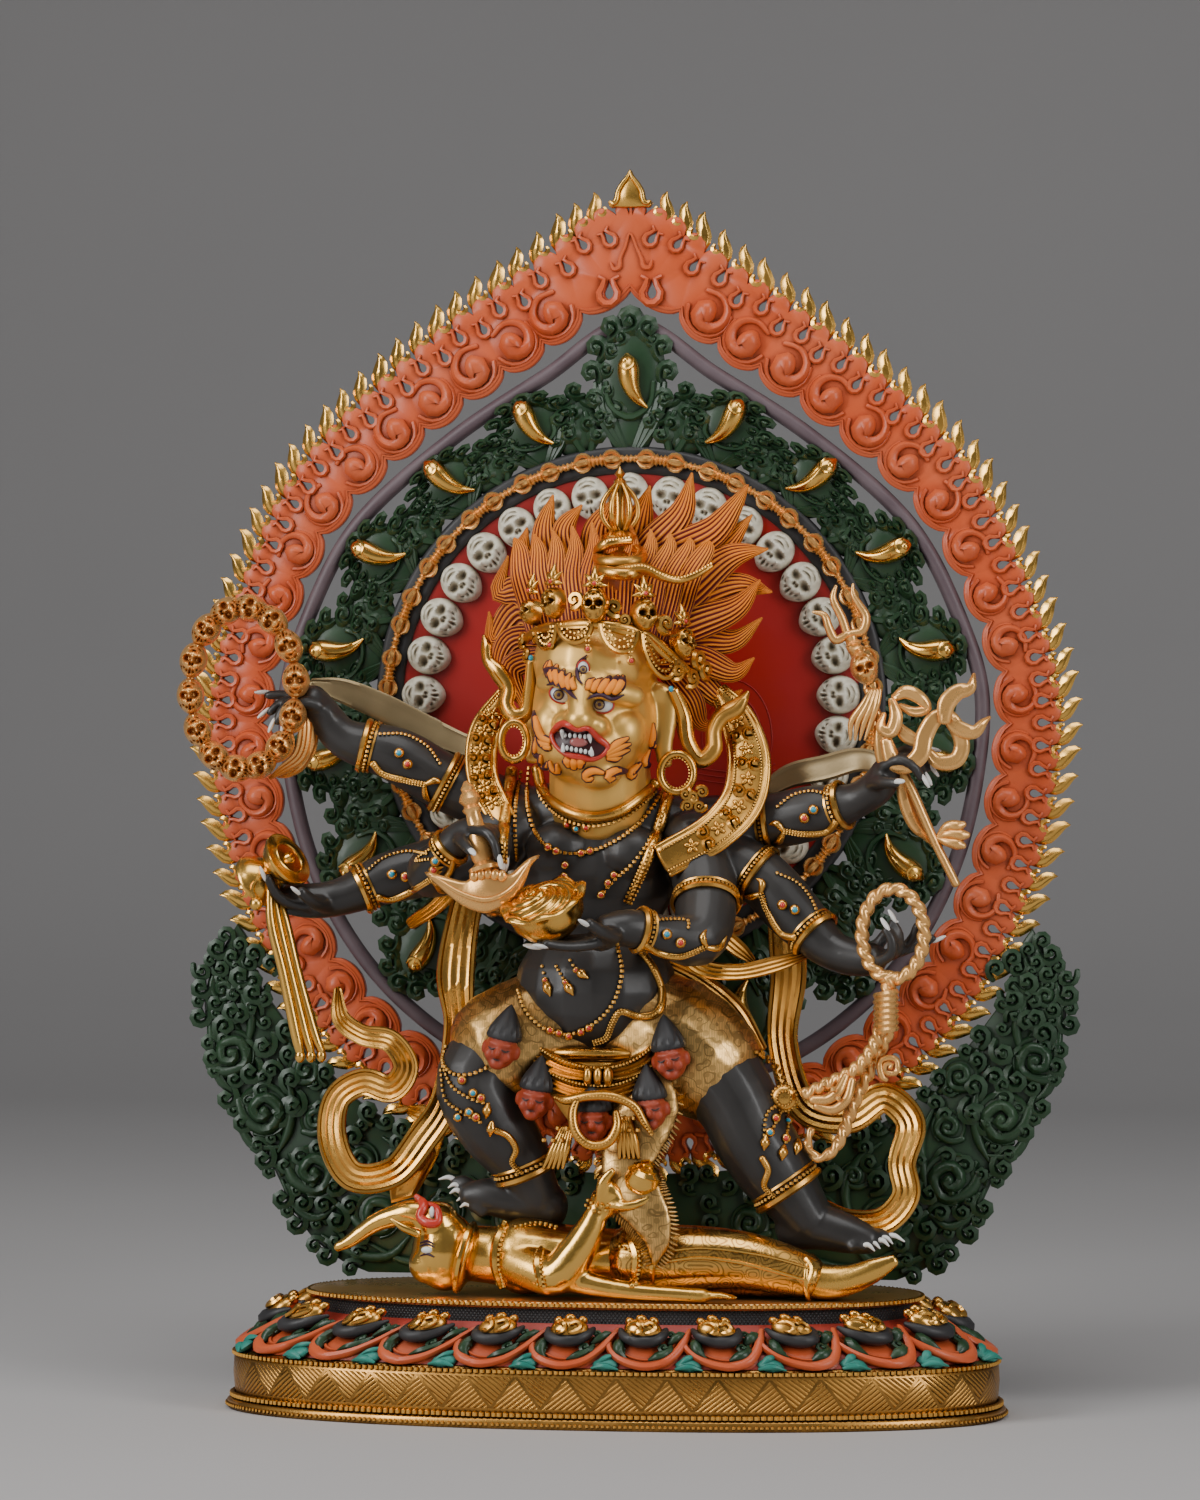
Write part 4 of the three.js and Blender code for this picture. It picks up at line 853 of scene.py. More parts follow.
def skull_relief(rows=15, around=32):
    """Half width 1 and half height 1.15, in the plane of x and y, with its relief along z."""
    r = np.linspace(0, 1, rows + 1)[1:, None]
    a = np.arange(around)[None] * 2 * np.pi / around
    x, y = r * np.cos(a), 1.16 * r * np.sin(a)
    x = x * np.where(y < 0, 1 - 0.22 * (y / 1.16) ** 2, 1 - 0.04 * (y / 1.16) ** 2)

    def dent(cx, cy, wx, wy):
        """A soft bump of height 1: e to the minus (x^2 + y^2)^1.3, in shares of its widths."""
        return np.exp(-(((x - cx) / wx) ** 2 + ((y - cy) / wy) ** 2) ** 1.3)

    high = 0.95 * (1 - r**2.6) ** 0.55
    sockets = dent(-0.38, 0.06, 0.27, 0.2) + dent(0.38, 0.06, 0.27, 0.2)
    cheeks = dent(-0.62, -0.22, 0.22, 0.18) + dent(0.62, -0.22, 0.22, 0.18)
    nose = dent(-0.09, -0.24, 0.09, 0.12) + dent(0.09, -0.24, 0.09, 0.12)
    bridge = dent(0, 0.02, 0.09, 0.24) + 0.8 * (dent(-0.38, 0.34, 0.3, 0.1) + dent(0.38, 0.34, 0.3, 0.1))
    grin = -0.72 + 0.42 * x**2
    mouth = np.exp(-(((y - grin) / 0.17) ** 2)) * (np.abs(x) < 0.72)
    teeth = mouth * np.abs(np.sin(x * 14)) ** 0.6
    waves = np.sin(22 * (y - 0.10 * np.cos(7 * x))) * np.clip((y - 0.42) * 6, 0, 1) * (1 - r**6)
    high = high - 0.6 * sockets + 0.2 * cheeks - 0.34 * nose + 0.16 * bridge
    high = high - 0.34 * mouth + 0.36 * teeth + 0.14 * waves
    shade = 0.95 * sockets + 0.9 * nose + 0.9 * (mouth - teeth) + 0.75 * np.clip(-waves, 0, 1)
    shade = np.clip(shade, 0, 1)
    front = np.stack([x, y, high * RELIEF], -1)
    rim = front[-1:] * (1, 1, 0) - (0, 0, 0.35 * RELIEF)
    paint = np.vstack([shade, shade[-1:] * 0])
    return skin(np.concatenate([front, rim]),
        poles=[(0, 0, high[0].mean() * RELIEF), rim[0].mean(0) * (0, 0, 1)], paint=paint)


carved_skull = skull_relief()
small_skull = skull_relief(11, 26)
SKULLS = 33
skull_out, skull_along = round_halo(np.arange(SKULLS) * 2 * np.pi / SKULLS)
skull_axes = relief_axes(skull_along, skull_out) * np.array([9.9, 9.9, 6])[None, :, None]
piece("halo_skulls", stamp(carved_skull, HALO_CENTRE + skull_out * 107 - (0, 0.2, 0), skull_axes),
    BONE, "bone_white", "aureole")

# %% [markdown]
# ## Aureole: scrolls of leaves
# Between the halo and the rod stand clusters of leaves: a raised lobe with a gilt drop, small
# snail curls round it, and sprays of curls between. Broad wings of larger scrolls stand at the foot.

# %% Curls, drops and the cluster


def curl(turns=1.25, start=3.4, width=1.5, sides=5, count=11, rise=1.6, lead=3.5):
    """A stem that winds into a snail: its reach shrinks with its angle."""
    t = np.linspace(0, 1, 8)
    angle = -0.5 * np.pi - t * turns * 2 * np.pi
    reach = start * (1 - t) ** 0.85 + 0.35
    rows = np.c_[reach * np.cos(angle), reach * np.sin(angle), 0.3 + rise * t, width * (1 - 0.25 * t)]
    stem = np.array([[lead, -start * 1.05, -0.2, width * 0.8]])
    return tube(np.vstack([stem, rows]), sides, count, **FLAT)


def spread_curls(rows, template):
    """Copies of a curl from rows of u, v, size, turn in degrees and hand."""
    u, v, size, turn, hand = np.asarray(rows, float).T
    a = np.radians(turn)
    zero = 0 * a
    first = np.stack([np.cos(a), np.sin(a), zero], -1) * (size * hand)[:, None]
    second = np.stack([-np.sin(a), np.cos(a), zero], -1) * size[:, None]
    third = np.stack([zero, zero, size], -1)
    return stamp(template, np.stack([u, v, zero + 1], -1), np.stack([first, second, third], 1))


snail = curl(1.15, 3.3, 2.1, 4, 10, 2.8, 3.2)
lobe_turn = np.radians(np.array([-150, -118, -88, -60, -30, 0, 30, 60, 88, 118, 150]))
lobe_rows = [(15.5 * math.sin(a), 27 + 20 * math.cos(a), 1.0 + 0.12 * math.cos(a), -math.degrees(a),
        1 if a > 0 else -1)
    for a in lobe_turn]
inner_rows = [(-7.5, 36, 0.8, 40, 1), (-9.5, 29, 0.8, 80, 1), (-9, 21, 0.75, 110, 1),
    (-3.6, 41, 0.8, 10, -1), (4.5, 44, 0.7, -20, 1), (-4.8, 14, 0.8, 160, 1), (9.5, 40, 0.75, -60, -1)]
cluster_bed = [ball((0, 27, -1.4), (14.5, 20.5, 4.6), 16, 6), ball((0, 8, -1.8), (10, 12, 4), 12, 6),
    ball((0, 46, -1.2), (6.5, 7.5, 3.6), 10, 5)]
veins = [tube([(s * (1.5 + k), -1, 0.6, 1.4), (s * (5 + 2.4 * k), 7, 1.6, 1.6),
        (s * (8.4 + 2.3 * k), 15, 1.8, 1.5), (s * (9.6 + 2.2 * k), 24, 1, 1)], 5, 7, **FLAT)
        for s in (1, -1)
    for k in (0, 1, 2)]
bowl = tube([(-9.5, 24, 2, 1.1), (-8.2, 16, 2.6, 1.3), (0, 11, 2.9, 1.5), (8.2, 16, 2.6, 1.3),
    (9.5, 24, 2, 1.1)], 6, 14, **FLAT)
cluster = merge([*cluster_bed, *veins, bowl, spread_curls(lobe_rows, snail),
    spread_curls(inner_rows, snail)])
spray_rows = [(0, 29, 0.95, 0, 1), (-6, 25, 0.9, 40, 1), (6.2, 24, 0.9, -40, -1), (-2.6, 19, 0.85, 20, -1),
    (-8.5, 17, 0.95, 70, 1), (8.6, 15, 0.95, -70, -1), (3.4, 12.5, 0.85, -20, 1), (-5.5, 9, 1, 110, 1),
    (6.2, 6.5, 0.95, -120, -1)]
spray = merge([ball((0, 13, -1.6), (8.5, 14, 3.6), 14, 8), ball((-4, 6, -1.6), (8, 8, 3.4), 12, 6),
    tube([(-1, -1, 0.6, 1.6), (-4, 8, 1.8, 1.7), (-3, 17, 1.8, 1.2)], 6, 8, **FLAT),
    tube([(2, -1, 0.6, 1.6), (4.5, 8, 1.6, 1.6), (2.5, 18, 1.8, 1.1)], 6, 8, **FLAT),
    spread_curls(spray_rows, snail)])
drop_body = tube([(-1.2, 14.2, 2.4, 1.6), (-0.8, 11.6, 3.4, 4.4), (-0.3, 7.2, 4.2, 5.6),
    (0.1, 2.4, 4.2, 5.4), (1.5, -3, 4, 4.3), (4.4, -8.2, 3.4, 2.8), (9, -12.4, 2.6, 0.8)], 12, 18, **FLAT)
drop_line = tube([(1.6, 8, 9.2, 0.5), (1.8, 2, 9.2, 0.6), (3, -3.4, 8, 0.5), (5.6, -8, 6, 0.4)], 4, 9,
    **FLAT)
drop_nose = merge([ball((-1.4, 11, 7.2), (2.2, 2.2, 2), 8, 6),
    tube([(-4.4, 9.2, 7, 0.7), (-1.2, 6.6, 9.6, 0.8), (2.8, 8.6, 8.6, 0.8), (3, 12.2, 6.6, 0.6)], 5, 10,
        **FLAT)])
leaf_drop = merge([drop_body, drop_line, drop_nose])

# %% Clusters and sprays round the halo
CLUSTERS = 18


def spokes(offset):
    """Places and axes of the clusters at even angles round the halo, with their ways outward and how far
    each can reach to the rod."""
    angle = (np.arange(CLUSTERS) + offset) * 2 * np.pi / CLUSTERS
    outward, along = round_halo(angle)
    arm = ROD_LINE - HALO_CENTRE
    nearest = (unit(arm * (1, 0, 1)) @ outward.T).argmax(0)
    reach = np.linalg.norm(arm, axis=1)[nearest] - HALO_RADIUS
    axes = relief_axes(along, outward, 1, (angle > 0.01) & (angle < np.pi))
    axes[:, 1] *= (reach / 52)[:, None]
    return HALO_CENTRE + outward * (HALO_RADIUS - 0.5), axes, outward, reach


places, axes, _, _ = spokes(0)
spray_places, spray_axes, _, _ = spokes(0.5)
axes[:, 0] *= 1.28
axes[0, 1] *= 1.14
spray_axes[:, 0] *= 1.25
spray_axes[:, 1] *= 1.18
leaves = [stamp(cluster, places, axes), stamp(spray, spray_places, spray_axes)]
_, drop_axes, drop_outward, reach = spokes(0)
drop_axes[:, 1] = drop_outward
drop_at = places + drop_outward * (reach * 0.52)[:, None]
piece("leaf_drops", stamp(leaf_drop, drop_at, drop_axes), GOLD_BRIGHT, "gilding", "aureole")
for part in leaves:
    part.v[:, 1] += 0.8
piece("leaf_clusters", leaves, LEAF_GREEN, "leaf_green", "aureole")

# %% Wings of scrolls at the foot
WING_OUTER = np.array([
    [0.9, 0.318], [0.965, 0.27], [0.975, 0.235], [0.95, 0.205], [0.93, 0.172], [0.885, 0.143],
    [0.845, 0.118], [0.81, 0.09], [0.775, 0.06], [0.735, 0.036], [0.67, 0.014], [0.6, 0.002]])
WING_INNER = np.array([
    [0.87, 0.3], [0.855, 0.265], [0.82, 0.245], [0.765, 0.215], [0.69, 0.183], [0.6, 0.15], [0.46, 0.125],
    [0.25, 0.1], [0, 0.093]])


def wing_line(shares, count):
    """A smooth line through shares of the half width and of the height above the base."""
    rows = np.c_[shares[:, 0] * HALF_WIDTH, 0 * shares[:, 0], shares[:, 1] * HEIGHT + BASE]
    return smooth_line(rows, count)


wing_outer, wing_inner = wing_line(WING_OUTER, 30), wing_line(WING_INNER, 26)
half = np.vstack([wing_inner[::-1], wing_outer])[:, [0, 2]]
half[:, 0] -= 1.5
wing_sheet = pierced([np.vstack([half, (half * (-1, 1))[::-1][:-1]])], FRONT + 1, BACK)
big_curl = curl(1.6, 9.6, 3.4, 7, 26, 4, 9)
curl_rim = [(11.6 * math.cos(a), 11.6 * math.sin(a), 0.6, 1.5) for a in np.linspace(-1.2, 3.9, 14)]
big_rim = tube(curl_rim, 5, 20, **FLAT)
scroll = merge([big_curl, big_rim, ball((0, 0, 0), (11.5, 11.5, 2.6), 18, 5)])
SCROLLS = np.array([[0.905, 0.2, 1, 20], [0.83, 0.148, 1.1, 70], [0.715, 0.093, 1.1, 60],
    [0.57, 0.055, 1, 40], [0.925, 0.258, 0.62, 100], [0.42, 0.06, 0.85, 30], [0.27, 0.052, 0.8, 20],
    [0.735, 0.186, 0.75, 40], [0.71, 0.14, 0.7, 10], [0.61, 0.105, 0.75, 70], [0.5, 0.095, 0.6, 20]])


def edge_rows(line, count, size, side, inset):
    """Rows of curls along a wing's edge, set in from it, with their size and hand by turns."""
    at = np.linspace(1, len(line) - 2, count).astype(int)
    ahead = unit(line[at + 1] - line[at - 1])
    out = np.c_[-ahead[:, 2], ahead[:, 0]] * side
    turn = np.degrees(np.arctan2(out[:, 1], out[:, 0])) - 90
    odd = np.arange(count) % 2
    sizes = size * np.where(odd, 1.12, 0.9)
    return np.c_[line[at][:, [0, 2]] - out * inset, sizes, turn, np.where(odd, -1, 1)]


fine_curl = curl(1.35, 3.6, 1.7, 5, 11, 2.2)
EDGE_CURLS = [(wing_outer, 1, ((21, 1.25, -0.6), (17, 1, 8), (13, 1.35, 17), (10, 1.3, 27))),
    (wing_inner, -1, ((17, 1.15, -0.4), (14, 0.95, 7), (12, 1.3, 15), (10, 1.3, 25)))]
scroll_rows = [(x * HALF_WIDTH, z * HEIGHT + BASE, size, turn, 1) for x, z, size, turn in SCROLLS]
curls = [spread_curls(edge_rows(line, count, size, side, inset), fine_curl)
    for line, side, rows in EDGE_CURLS for count, size, inset in rows]
ribs = [[(0.90, 0.30), (0.885, 0.262), (0.86, 0.23), (0.875, 0.2)],
    [(0.955, 0.245), (0.952, 0.215), (0.93, 0.175), (0.885, 0.16)],
    [(0.90, 0.165), (0.885, 0.135), (0.85, 0.115), (0.79, 0.115)],
    [(0.80, 0.195), (0.77, 0.165), (0.775, 0.13), (0.80, 0.11)], [(0.79, 0.085), (0.76, 0.06), (0.71, 0.05),
        (0.66, 0.065)], [(0.68, 0.16), (0.65, 0.13), (0.655, 0.1), (0.67, 0.07)],
    [(0.70, 0.035), (0.62, 0.018), (0.54, 0.018), (0.5, 0.035)], [(0.60, 0.03), (0.5, 0.012), (0.4, 0.02),
        (0.34, 0.04)], [(0.56, 0.125), (0.51, 0.11), (0.48, 0.08), (0.5, 0.05)]]
rib_parts = [tube([(x * HALF_WIDTH, z * HEIGHT + BASE, 1, r) for (x, z), r in zip(rib, (0.8, 2.4, 2.8, 1))],
    7, 14, **FLAT) for rib in ribs]
right_wing = merge([spread_curls(scroll_rows, scroll), *curls, *rib_parts])
half_axes = np.array([[[1, 0, 0], [0, 0, 1], [0, -1, 0]], [[-1, 0, 0], [0, 0, 1], [0, -1, 0]]], float)
both_wings = stamp(right_wing, [(0, FRONT + 1.6, 0)] * 2, half_axes)
piece("leaf_wings", [wing_sheet, both_wings], LEAF_GREEN, "leaf_green", "aureole")

# %% [markdown]
# ## Lotus plinth
# The plan is a squared oval, |x/a|^n + |y/b|^n = 1 with n = 2.25, so a point at angle t is
# (a c |c|^(2/n - 1), b s |s|^(2/n - 1)) with c = cos t and s = sin t. Each storey is that oval at a
# share of the top's size. One petal is made flat and stamped twenty-two times on the slope.

# %% Storeys of the plinth
TOP_HALF = np.array([155, 68])
POWER = 2 / 2.25


def plan(angle, share):
    """Points of the oval at angles t, as the formula above says."""
    c, s = np.cos(angle), np.sin(angle)
    flat = np.stack([np.sign(c) * np.abs(c) ** POWER, np.sign(s) * np.abs(s) ** POWER], -1)
    return flat * TOP_HALF * np.asarray(share)[..., None]


ROUND = 1440
even = smooth_line(np.c_[plan(np.arange(ROUND) * 2 * np.pi / ROUND, 1), np.zeros(ROUND)],
    ROUND, closed=True)
cosine, sine = (np.sign(even[:, :2]) * np.abs(even[:, :2] / TOP_HALF) ** (1 / POWER)).T
oval = np.arctan2(sine, cosine)


def storey(rows):
    """A closed form of ovals, from rows of a share of the top's size and a height."""
    share, z = np.asarray(rows, float).T
    angle = oval[::5]
    ring = plan(angle[None], share[:, None])
    rings = np.concatenate([ring, np.broadcast_to(z[:, None, None], ring.shape[:2] + (1,))], -1)
    return skin(rings, poles=[(0, 0, z[0]), (0, 0, z[-1])])

# %% Rims of beads
BEAD = ball((0, 0, 0), 1, 6, 3)


def rim_beads(share, z, count, radius):
    """A row of beads round the oval at a share of the top's size."""
    angle = oval[(np.arange(count) * len(oval) / count).astype(int)]
    places = np.c_[plan(angle, np.full(count, share)), np.full(count, z)]
    return stamp(BEAD, places, np.eye(3) * radius)


foot = storey([(1.2, 0), (1.262, 0), (1.266, 1), (1.266, 4.2), (1.258, 5), (1.24, 5.4),
    (1.238, 8.6), (1.241, 9.4), (1.246, 18), (1.243, 25.6), (1.238, 26.4), (1.236, 29),
    (1.22, 30.2), (1, 30.4)])
top_rows = [(0.9, 56.8), (0.968, 56.8), (0.985, 57.2), (0.998, 58.2), (0.998, 59.6),
    (0.99, 60.3), (0.975, 60), (0.96, 60.4), (0.6, 60.4)]
rim_rows = [rim_beads(1.25, 6.9, 300, 1.75), rim_beads(1.243, 28, 300, 1.6),
    rim_beads(0.998, 59.1, 260, 1.5), rim_beads(1.268, 2.2, 340, 1.1)]
print(len(rim_rows), "rows of beads round the plinth")

# %% The engraved foot, the top and the slope
FROM_BACK = np.arctan2(even[:, 0], -even[:, 1])
ROUND_ORDER = np.argsort(FROM_BACK)
LENGTH_ROUND = np.linalg.norm(even[1, :2] - even[0, :2]) * len(even)
FOOT_SHARE = 1.246
BAND_FOOT, BAND_TALL, ZIGZAG = 9.6, 16.2, 25


def measured(made, part):
    """Writes on each point its way round the plinth and its height, in millimetres."""
    turn = np.arctan2(part.v[:, 0], -part.v[:, 1])
    share = np.interp(turn, FROM_BACK[ROUND_ORDER], np.linspace(0, 1, len(even)))
    write_attribute(made, "arc", share * LENGTH_ROUND * FOOT_SHARE)
    write_attribute(made, "rise", part.v[:, 2])


ENGRAVED_GOLD = material("engraved gold", (0.64, 0.33, 0.08), GOLD_DARK, (0.42, 0.20, 0.05),
    gloss=(0.24, 0.5), shade_and_patina=(0.003, 1.5), patches=(45, 0.5), metallic=1)
tree = ENGRAVED_GOLD.node_tree
do = partial(calc, tree)
arc, rise = attribute(tree, "arc"), attribute(tree, "rise")
across_band = do("DIVIDE", do("SUBTRACT", rise, BAND_FOOT), BAND_TALL)
zigzag = do("ABSOLUTE", do("SUBTRACT", do("MULTIPLY", do("FRACT", do("DIVIDE", arc, ZIGZAG)), 2), 1))
upper = do("GREATER_THAN", across_band, zigzag)
lean = do("MULTIPLY", rise, do("SUBTRACT", do("MULTIPLY", upper, 2.6), 1.3))
hatch = do("POWER", do("ABSOLUTE", do("SINE", do("MULTIPLY", do("ADD", arc, lean), 0.95))), 5)
border = do("LESS_THAN", do("ABSOLUTE", do("SUBTRACT", across_band, zigzag)), 0.07)
in_band = do("MULTIPLY", do("GREATER_THAN", rise, 9.8), do("LESS_THAN", rise, 25.4))
engraved(ENGRAVED_GOLD, do("MULTIPLY", do("MAXIMUM", hatch, border), in_band), 0.0005, 0.45)
measured(piece("plinth_foot", foot, ENGRAVED_GOLD, "gilding", "lotus_plinth"), foot)
TOP_GOLD = material("worn gold plate", (0.86, 0.52, 0.19), GOLD_DARK, (0.62, 0.33, 0.10),
    gloss=(0.26, 0.44), shade_and_patina=(0.006, 0.7), patches=(30, 0.6), metallic=0.9)
piece("plinth_top", storey(top_rows), TOP_GOLD, "gilding", "lotus_plinth")
piece("plinth_gilding", rim_rows, GOLD, "gilding", "lotus_plinth")
piece("plinth_slope",
    storey([(1, 27.5), (1.222, 27.5), (1.21, 31), (1.17, 36), (1.09, 42), (1, 47), (0.97, 50),
        (0.8, 50)]), PETAL_RED, "head_red", "lotus_plinth")

# %% The scratched waist
WAIST_BLACK = material("scratched black paint", (0.03, 0.029, 0.03), (0.006, 0.006, 0.006),
    (0.07, 0.066, 0.064), gloss=(0.42, 0.65), shade_and_patina=(0.005, 1), patches=(60, 0.5))
tree = WAIST_BLACK.node_tree
do = partial(calc, tree)
arc, rise = attribute(tree, "arc"), attribute(tree, "rise")
scratches = [do("POWER", do("ABSOLUTE", do("SINE", do("MULTIPLY", do(side, arc, rise), 1.25))), 6)
    for side in ("ADD", "SUBTRACT")]
engraved(WAIST_BLACK, do("MAXIMUM", *scratches), 0.0006, 0.7)
waist = storey([(0.8, 46), (0.97, 46), (0.965, 48), (0.962, 56), (0.955, 57), (0.8, 57)])
measured(piece("plinth_waist", waist, WAIST_BLACK, "body_black", "lotus_plinth"), waist)

# %% One petal, flat
PETAL_TALL = 24.0
u_rim = [(-17.2, 21, 1, 1.2), (-18.6, 12, 2, 2), (-14.5, 4, 2.8, 2.4), (-3, -0.8, 3.2, 2.5),
    (8, 2.4, 3, 2.4), (15.5, 10, 2.6, 2.2), (19.4, 17, 2.2, 2), (22.6, 23, 1.4, 1.4)]


def flat_tube(rows, count=14, sides=7):
    """A tube that lies on a flat template and faces its front."""
    return tube(rows, sides, count, **FLAT)


small_snail = curl(1.2, 2.7, 1.4, 5, 10, 1.4, 2)
petal_red = merge([flat_tube(u_rim, 26), ball((0, 10, 0.4), (17, 12, 1.8), 20, 6),
    flat_tube([(0.78 * x, 4 + 0.74 * y, z - 0.6, 0.7) for x, y, z, r in u_rim], 20, 5)])
petal_green = merge([
    flat_tube([(-11, 3.6, 2.6, 1), (-14, 8, 3.4, 2.8), (-13, 13, 3.4, 2.8), (-10.6, 16, 3, 1.2)], 10),
    flat_tube([(0, 3.4, 2.6, 0.8), (4.5, 4.8, 3.6, 2.5), (9, 7.4, 3.6, 2.3), (12, 12, 3.2, 1)], 10),
    flat_tube([(11, 13.5, 2.6, 1.2), (15, 17, 3.4, 2.4), (19, 20, 3, 1)], 9),
    spread_curls([(-12.6, 12.5, 0.8, 0, 1), (8.4, 9.8, 1, 60, 1), (12.5, 18.8, 0.75, 0, -1),
        (-13.4, 7.6, 0.7, 180, 1), (17.4, 19, 0.7, 40, 1)], moved(small_snail, (0, 0, 2.6)))])
petal_black = merge([flat_tube([(-11.5, 21.5, 4, 1.4), (-10, 16, 5.6, 2.9), (-4, 12.6, 6.6, 3.5),
        (3.5, 13.2, 6.6, 3.4), (8.8, 17.6, 5.6, 2.6), (10.8, 22, 4, 1.2)], 18, 8),
    ball((-0.6, 18.5, 3.2), (9.6, 5.6, 4.2), 14, 6)])
cap_scrolls = [flat_tube(rows, 12, 6) for rows in (
    [(-6.8, 17.4, 8.6, 0.9), (-3.8, 15.2, 10.4, 1.5), (-1.6, 17.6, 11.6, 1.5), (-3.4, 20.6, 11.6, 1.4),
        (-6.6, 21.2, 9.8, 0.9)],
    [(0.4, 15.2, 10.4, 0.9), (3.6, 15.8, 11, 1.5), (5.8, 18.6, 10.4, 1.5), (3.6, 21.2, 11.2, 1.4),
        (0.8, 19.4, 12.4, 0.9)])]
petal_gold = merge([ball((-0.6, 19.6, 6.2), (9.6, 6.8, 5.4), 18, 10), *cap_scrolls,
    ball((-6.4, 24.6, 7), (2.6, 2.4, 2.6), 8, 6), ball((5.4, 25, 7), (2.6, 2.4, 2.6), 8, 6),
    ball((-0.6, 25.4, 8.4), (3, 2.4, 2.6), 8, 6)])
petal_teal = merge([ball((19, 1.4, 1), (6.6, 4, 2.6), 10, 6),
    flat_tube([(12.6, -1, 1.2, 0.8), (19, -0.6, 3, 1.8), (25.4, -1.6, 1.2, 0.6)], 8),
    flat_tube([(14, 0.6, 1.6, 0.8), (19, 4.2, 3.2, 1.8), (24, 7.4, 1.8, 0.5)], 8)])

# %% Petals stamped on the slope
PETALS = 22
petal_angle = oval[((np.arange(PETALS) + 0.25) * len(oval) / PETALS).astype(int)]
low = np.c_[plan(petal_angle, np.full(PETALS, 1.205)), np.full(PETALS, 30.5)]
high = np.c_[plan(petal_angle, np.full(PETALS, 1.03)), np.full(PETALS, 48)]
tangent = unit(plan(petal_angle + 0.01, np.full(PETALS, 1)) - plan(petal_angle - 0.01, np.full(PETALS, 1)))
tangent = np.c_[tangent, np.zeros(PETALS)]
up_slope = (high - low) / PETAL_TALL
out_slope = unit(np.cross(tangent, up_slope))
petal_axes = np.stack([tangent, up_slope, out_slope], 1)
for name, template, finish_of, slot in (("petal_rims", petal_red, FLAME_RED, "flame_red"),
        ("petal_leaves", petal_green, LEAF_GREEN, "leaf_green"),
        ("petal_undersides", petal_black, RIM_BLACK, "body_black"),
        ("petal_caps", petal_gold, GOLD, "gilding"),
        ("petals_between", petal_teal, TEAL, "petal_teal")):
    piece(name, stamp(template, low, petal_axes), finish_of, slot, "lotus_plinth")

# %% [markdown]
# ## The body
# The black body is modelled as a sculptor would in wax: rounded forms for the trunk, and limbs that
# swell and taper along a bent line. They are fused into one skin and smoothed.

# %% Trunk, arms and legs
ARMS = {
    "right upper": [(-46, 4, 298, 15), (-84, 2, 313, 14.5), (-110, -4, 328, 14), (-137, -8, 337, 10),
        (-147, -10, 350, 8.5), (-152, -13, 357, 7.5)],
    "right middle": [(-46, -4, 288, 15), (-84, -8, 274, 14.5), (-113, -16, 266, 13), (-135, -22, 257, 9.5),
        (-150, -24, 255, 9), (-160, -26, 256, 8)],
    "right front": [(-46, -10, 294, 15.5), (-72, -24, 278, 15), (-86, -38, 270, 13), (-79, -52, 277, 9),
        (-67, -58, 288, 8.5), (-60, -60, 291, 8)],
    "left upper": [(38, 4, 293, 15), (78, 4, 295, 14), (102, 0, 300, 13.5), (123, -6, 306, 9),
        (134, -11, 313, 9), (140, -15, 322, 7.5)],
    "left middle": [(36, -4, 285, 15), (74, -8, 268, 14.5), (94, -12, 248, 14), (112, -18, 232, 10),
        (126, -22, 228, 9), (134, -25, 228, 8)],
    "left front": [(40, -8, 288, 16), (50, -26, 258, 15.5), (48, -44, 238, 14), (33, -54, 240, 10.5),
        (17, -64, 244, 9.5), (6, -69, 243, 8)],
}
RIGHT_LEG = [(-22, -6, 184, 27), (-50, -20, 181, 24), (-65, -32, 165, 20), (-54, -31, 143, 19),
    (-43, -28, 127, 15.5), (-38, -26, 115, 13.5), (-33, -25, 105, 12)]
LEFT_LEG = [(10, -6, 186, 28), (44, -15, 178, 26), (64, -22, 158, 21), (73, -23, 140, 20),
    (84, -22, 123, 19), (94, -21, 108, 15), (101, -20, 97, 13)]
RIGHT_FOOT = [(-27, -24, 103, 11), (-44, -27, 106, 10.5), (-60, -29, 109, 9), (-69, -30, 109, 6.5)]
LEFT_FOOT = [(92, -18, 95, 12), (107, -20, 95, 11.5), (122, -23, 91.5, 9.5), (132, -25, 89, 7)]
trunk = [ball((-7, -6, 187), (34, 26, 22)), ball((-7, -14, 211), (41, 35, 36)),
    ball((-8, -6, 268), (41, 27, 35)), ball((-24, -22, 281), (17, 13, 14)),
    ball((12, -22, 279), (17, 13, 14)), tube([(-49, 0, 297, 14), (-6, -3, 298, 19), (40, 0, 291, 14)], 16),
    tube([(-7, -6, 292, 17), (-6, -12, 312, 15)], 16)]
limbs = [tube(rows, 16, 24) for rows in (*ARMS.values(), RIGHT_LEG, LEFT_LEG, RIGHT_FOOT, LEFT_FOOT)]
toes, claws = [], []
for foot_end, ahead, side in (((-68, -30, 108), (-1, -0.1, 0.35), (0.1, -0.65, -0.7)),
        ((131, -26, 88), (1, -0.2, 0), (-0.2, -0.85, -0.3))):
    for k in range(5):
        start = np.array(foot_end) + np.array(side) * (k - 2) * 3.3 - np.array(ahead) * (
            3 + 0.9 * k * (k > 2))
        way = unit(ahead) * (10.5 if k == 0 else 8.5 - 0.8 * k)
        tip = start + way * 1.1
        toes.append(tube([(*start, 3.4), (*(start + way * 0.6 + (0, 0, 1.8)), 3.0 if k else 3.6),
            (*tip, 2.3 if k else 2.8)], 8, 8))
        claws.append(tube([(*(tip - way * 0.1 + (0, 0, 1.2)), 1.4),
            (*(tip + unit(ahead) * 2.8 + (0, 0, 1.6)), 1.3),
            (*(tip + unit(ahead) * (8.0 if k == 0 else 6) - (0, 0, 1.2)), 0.4)], 7, 8))

# %% One hand


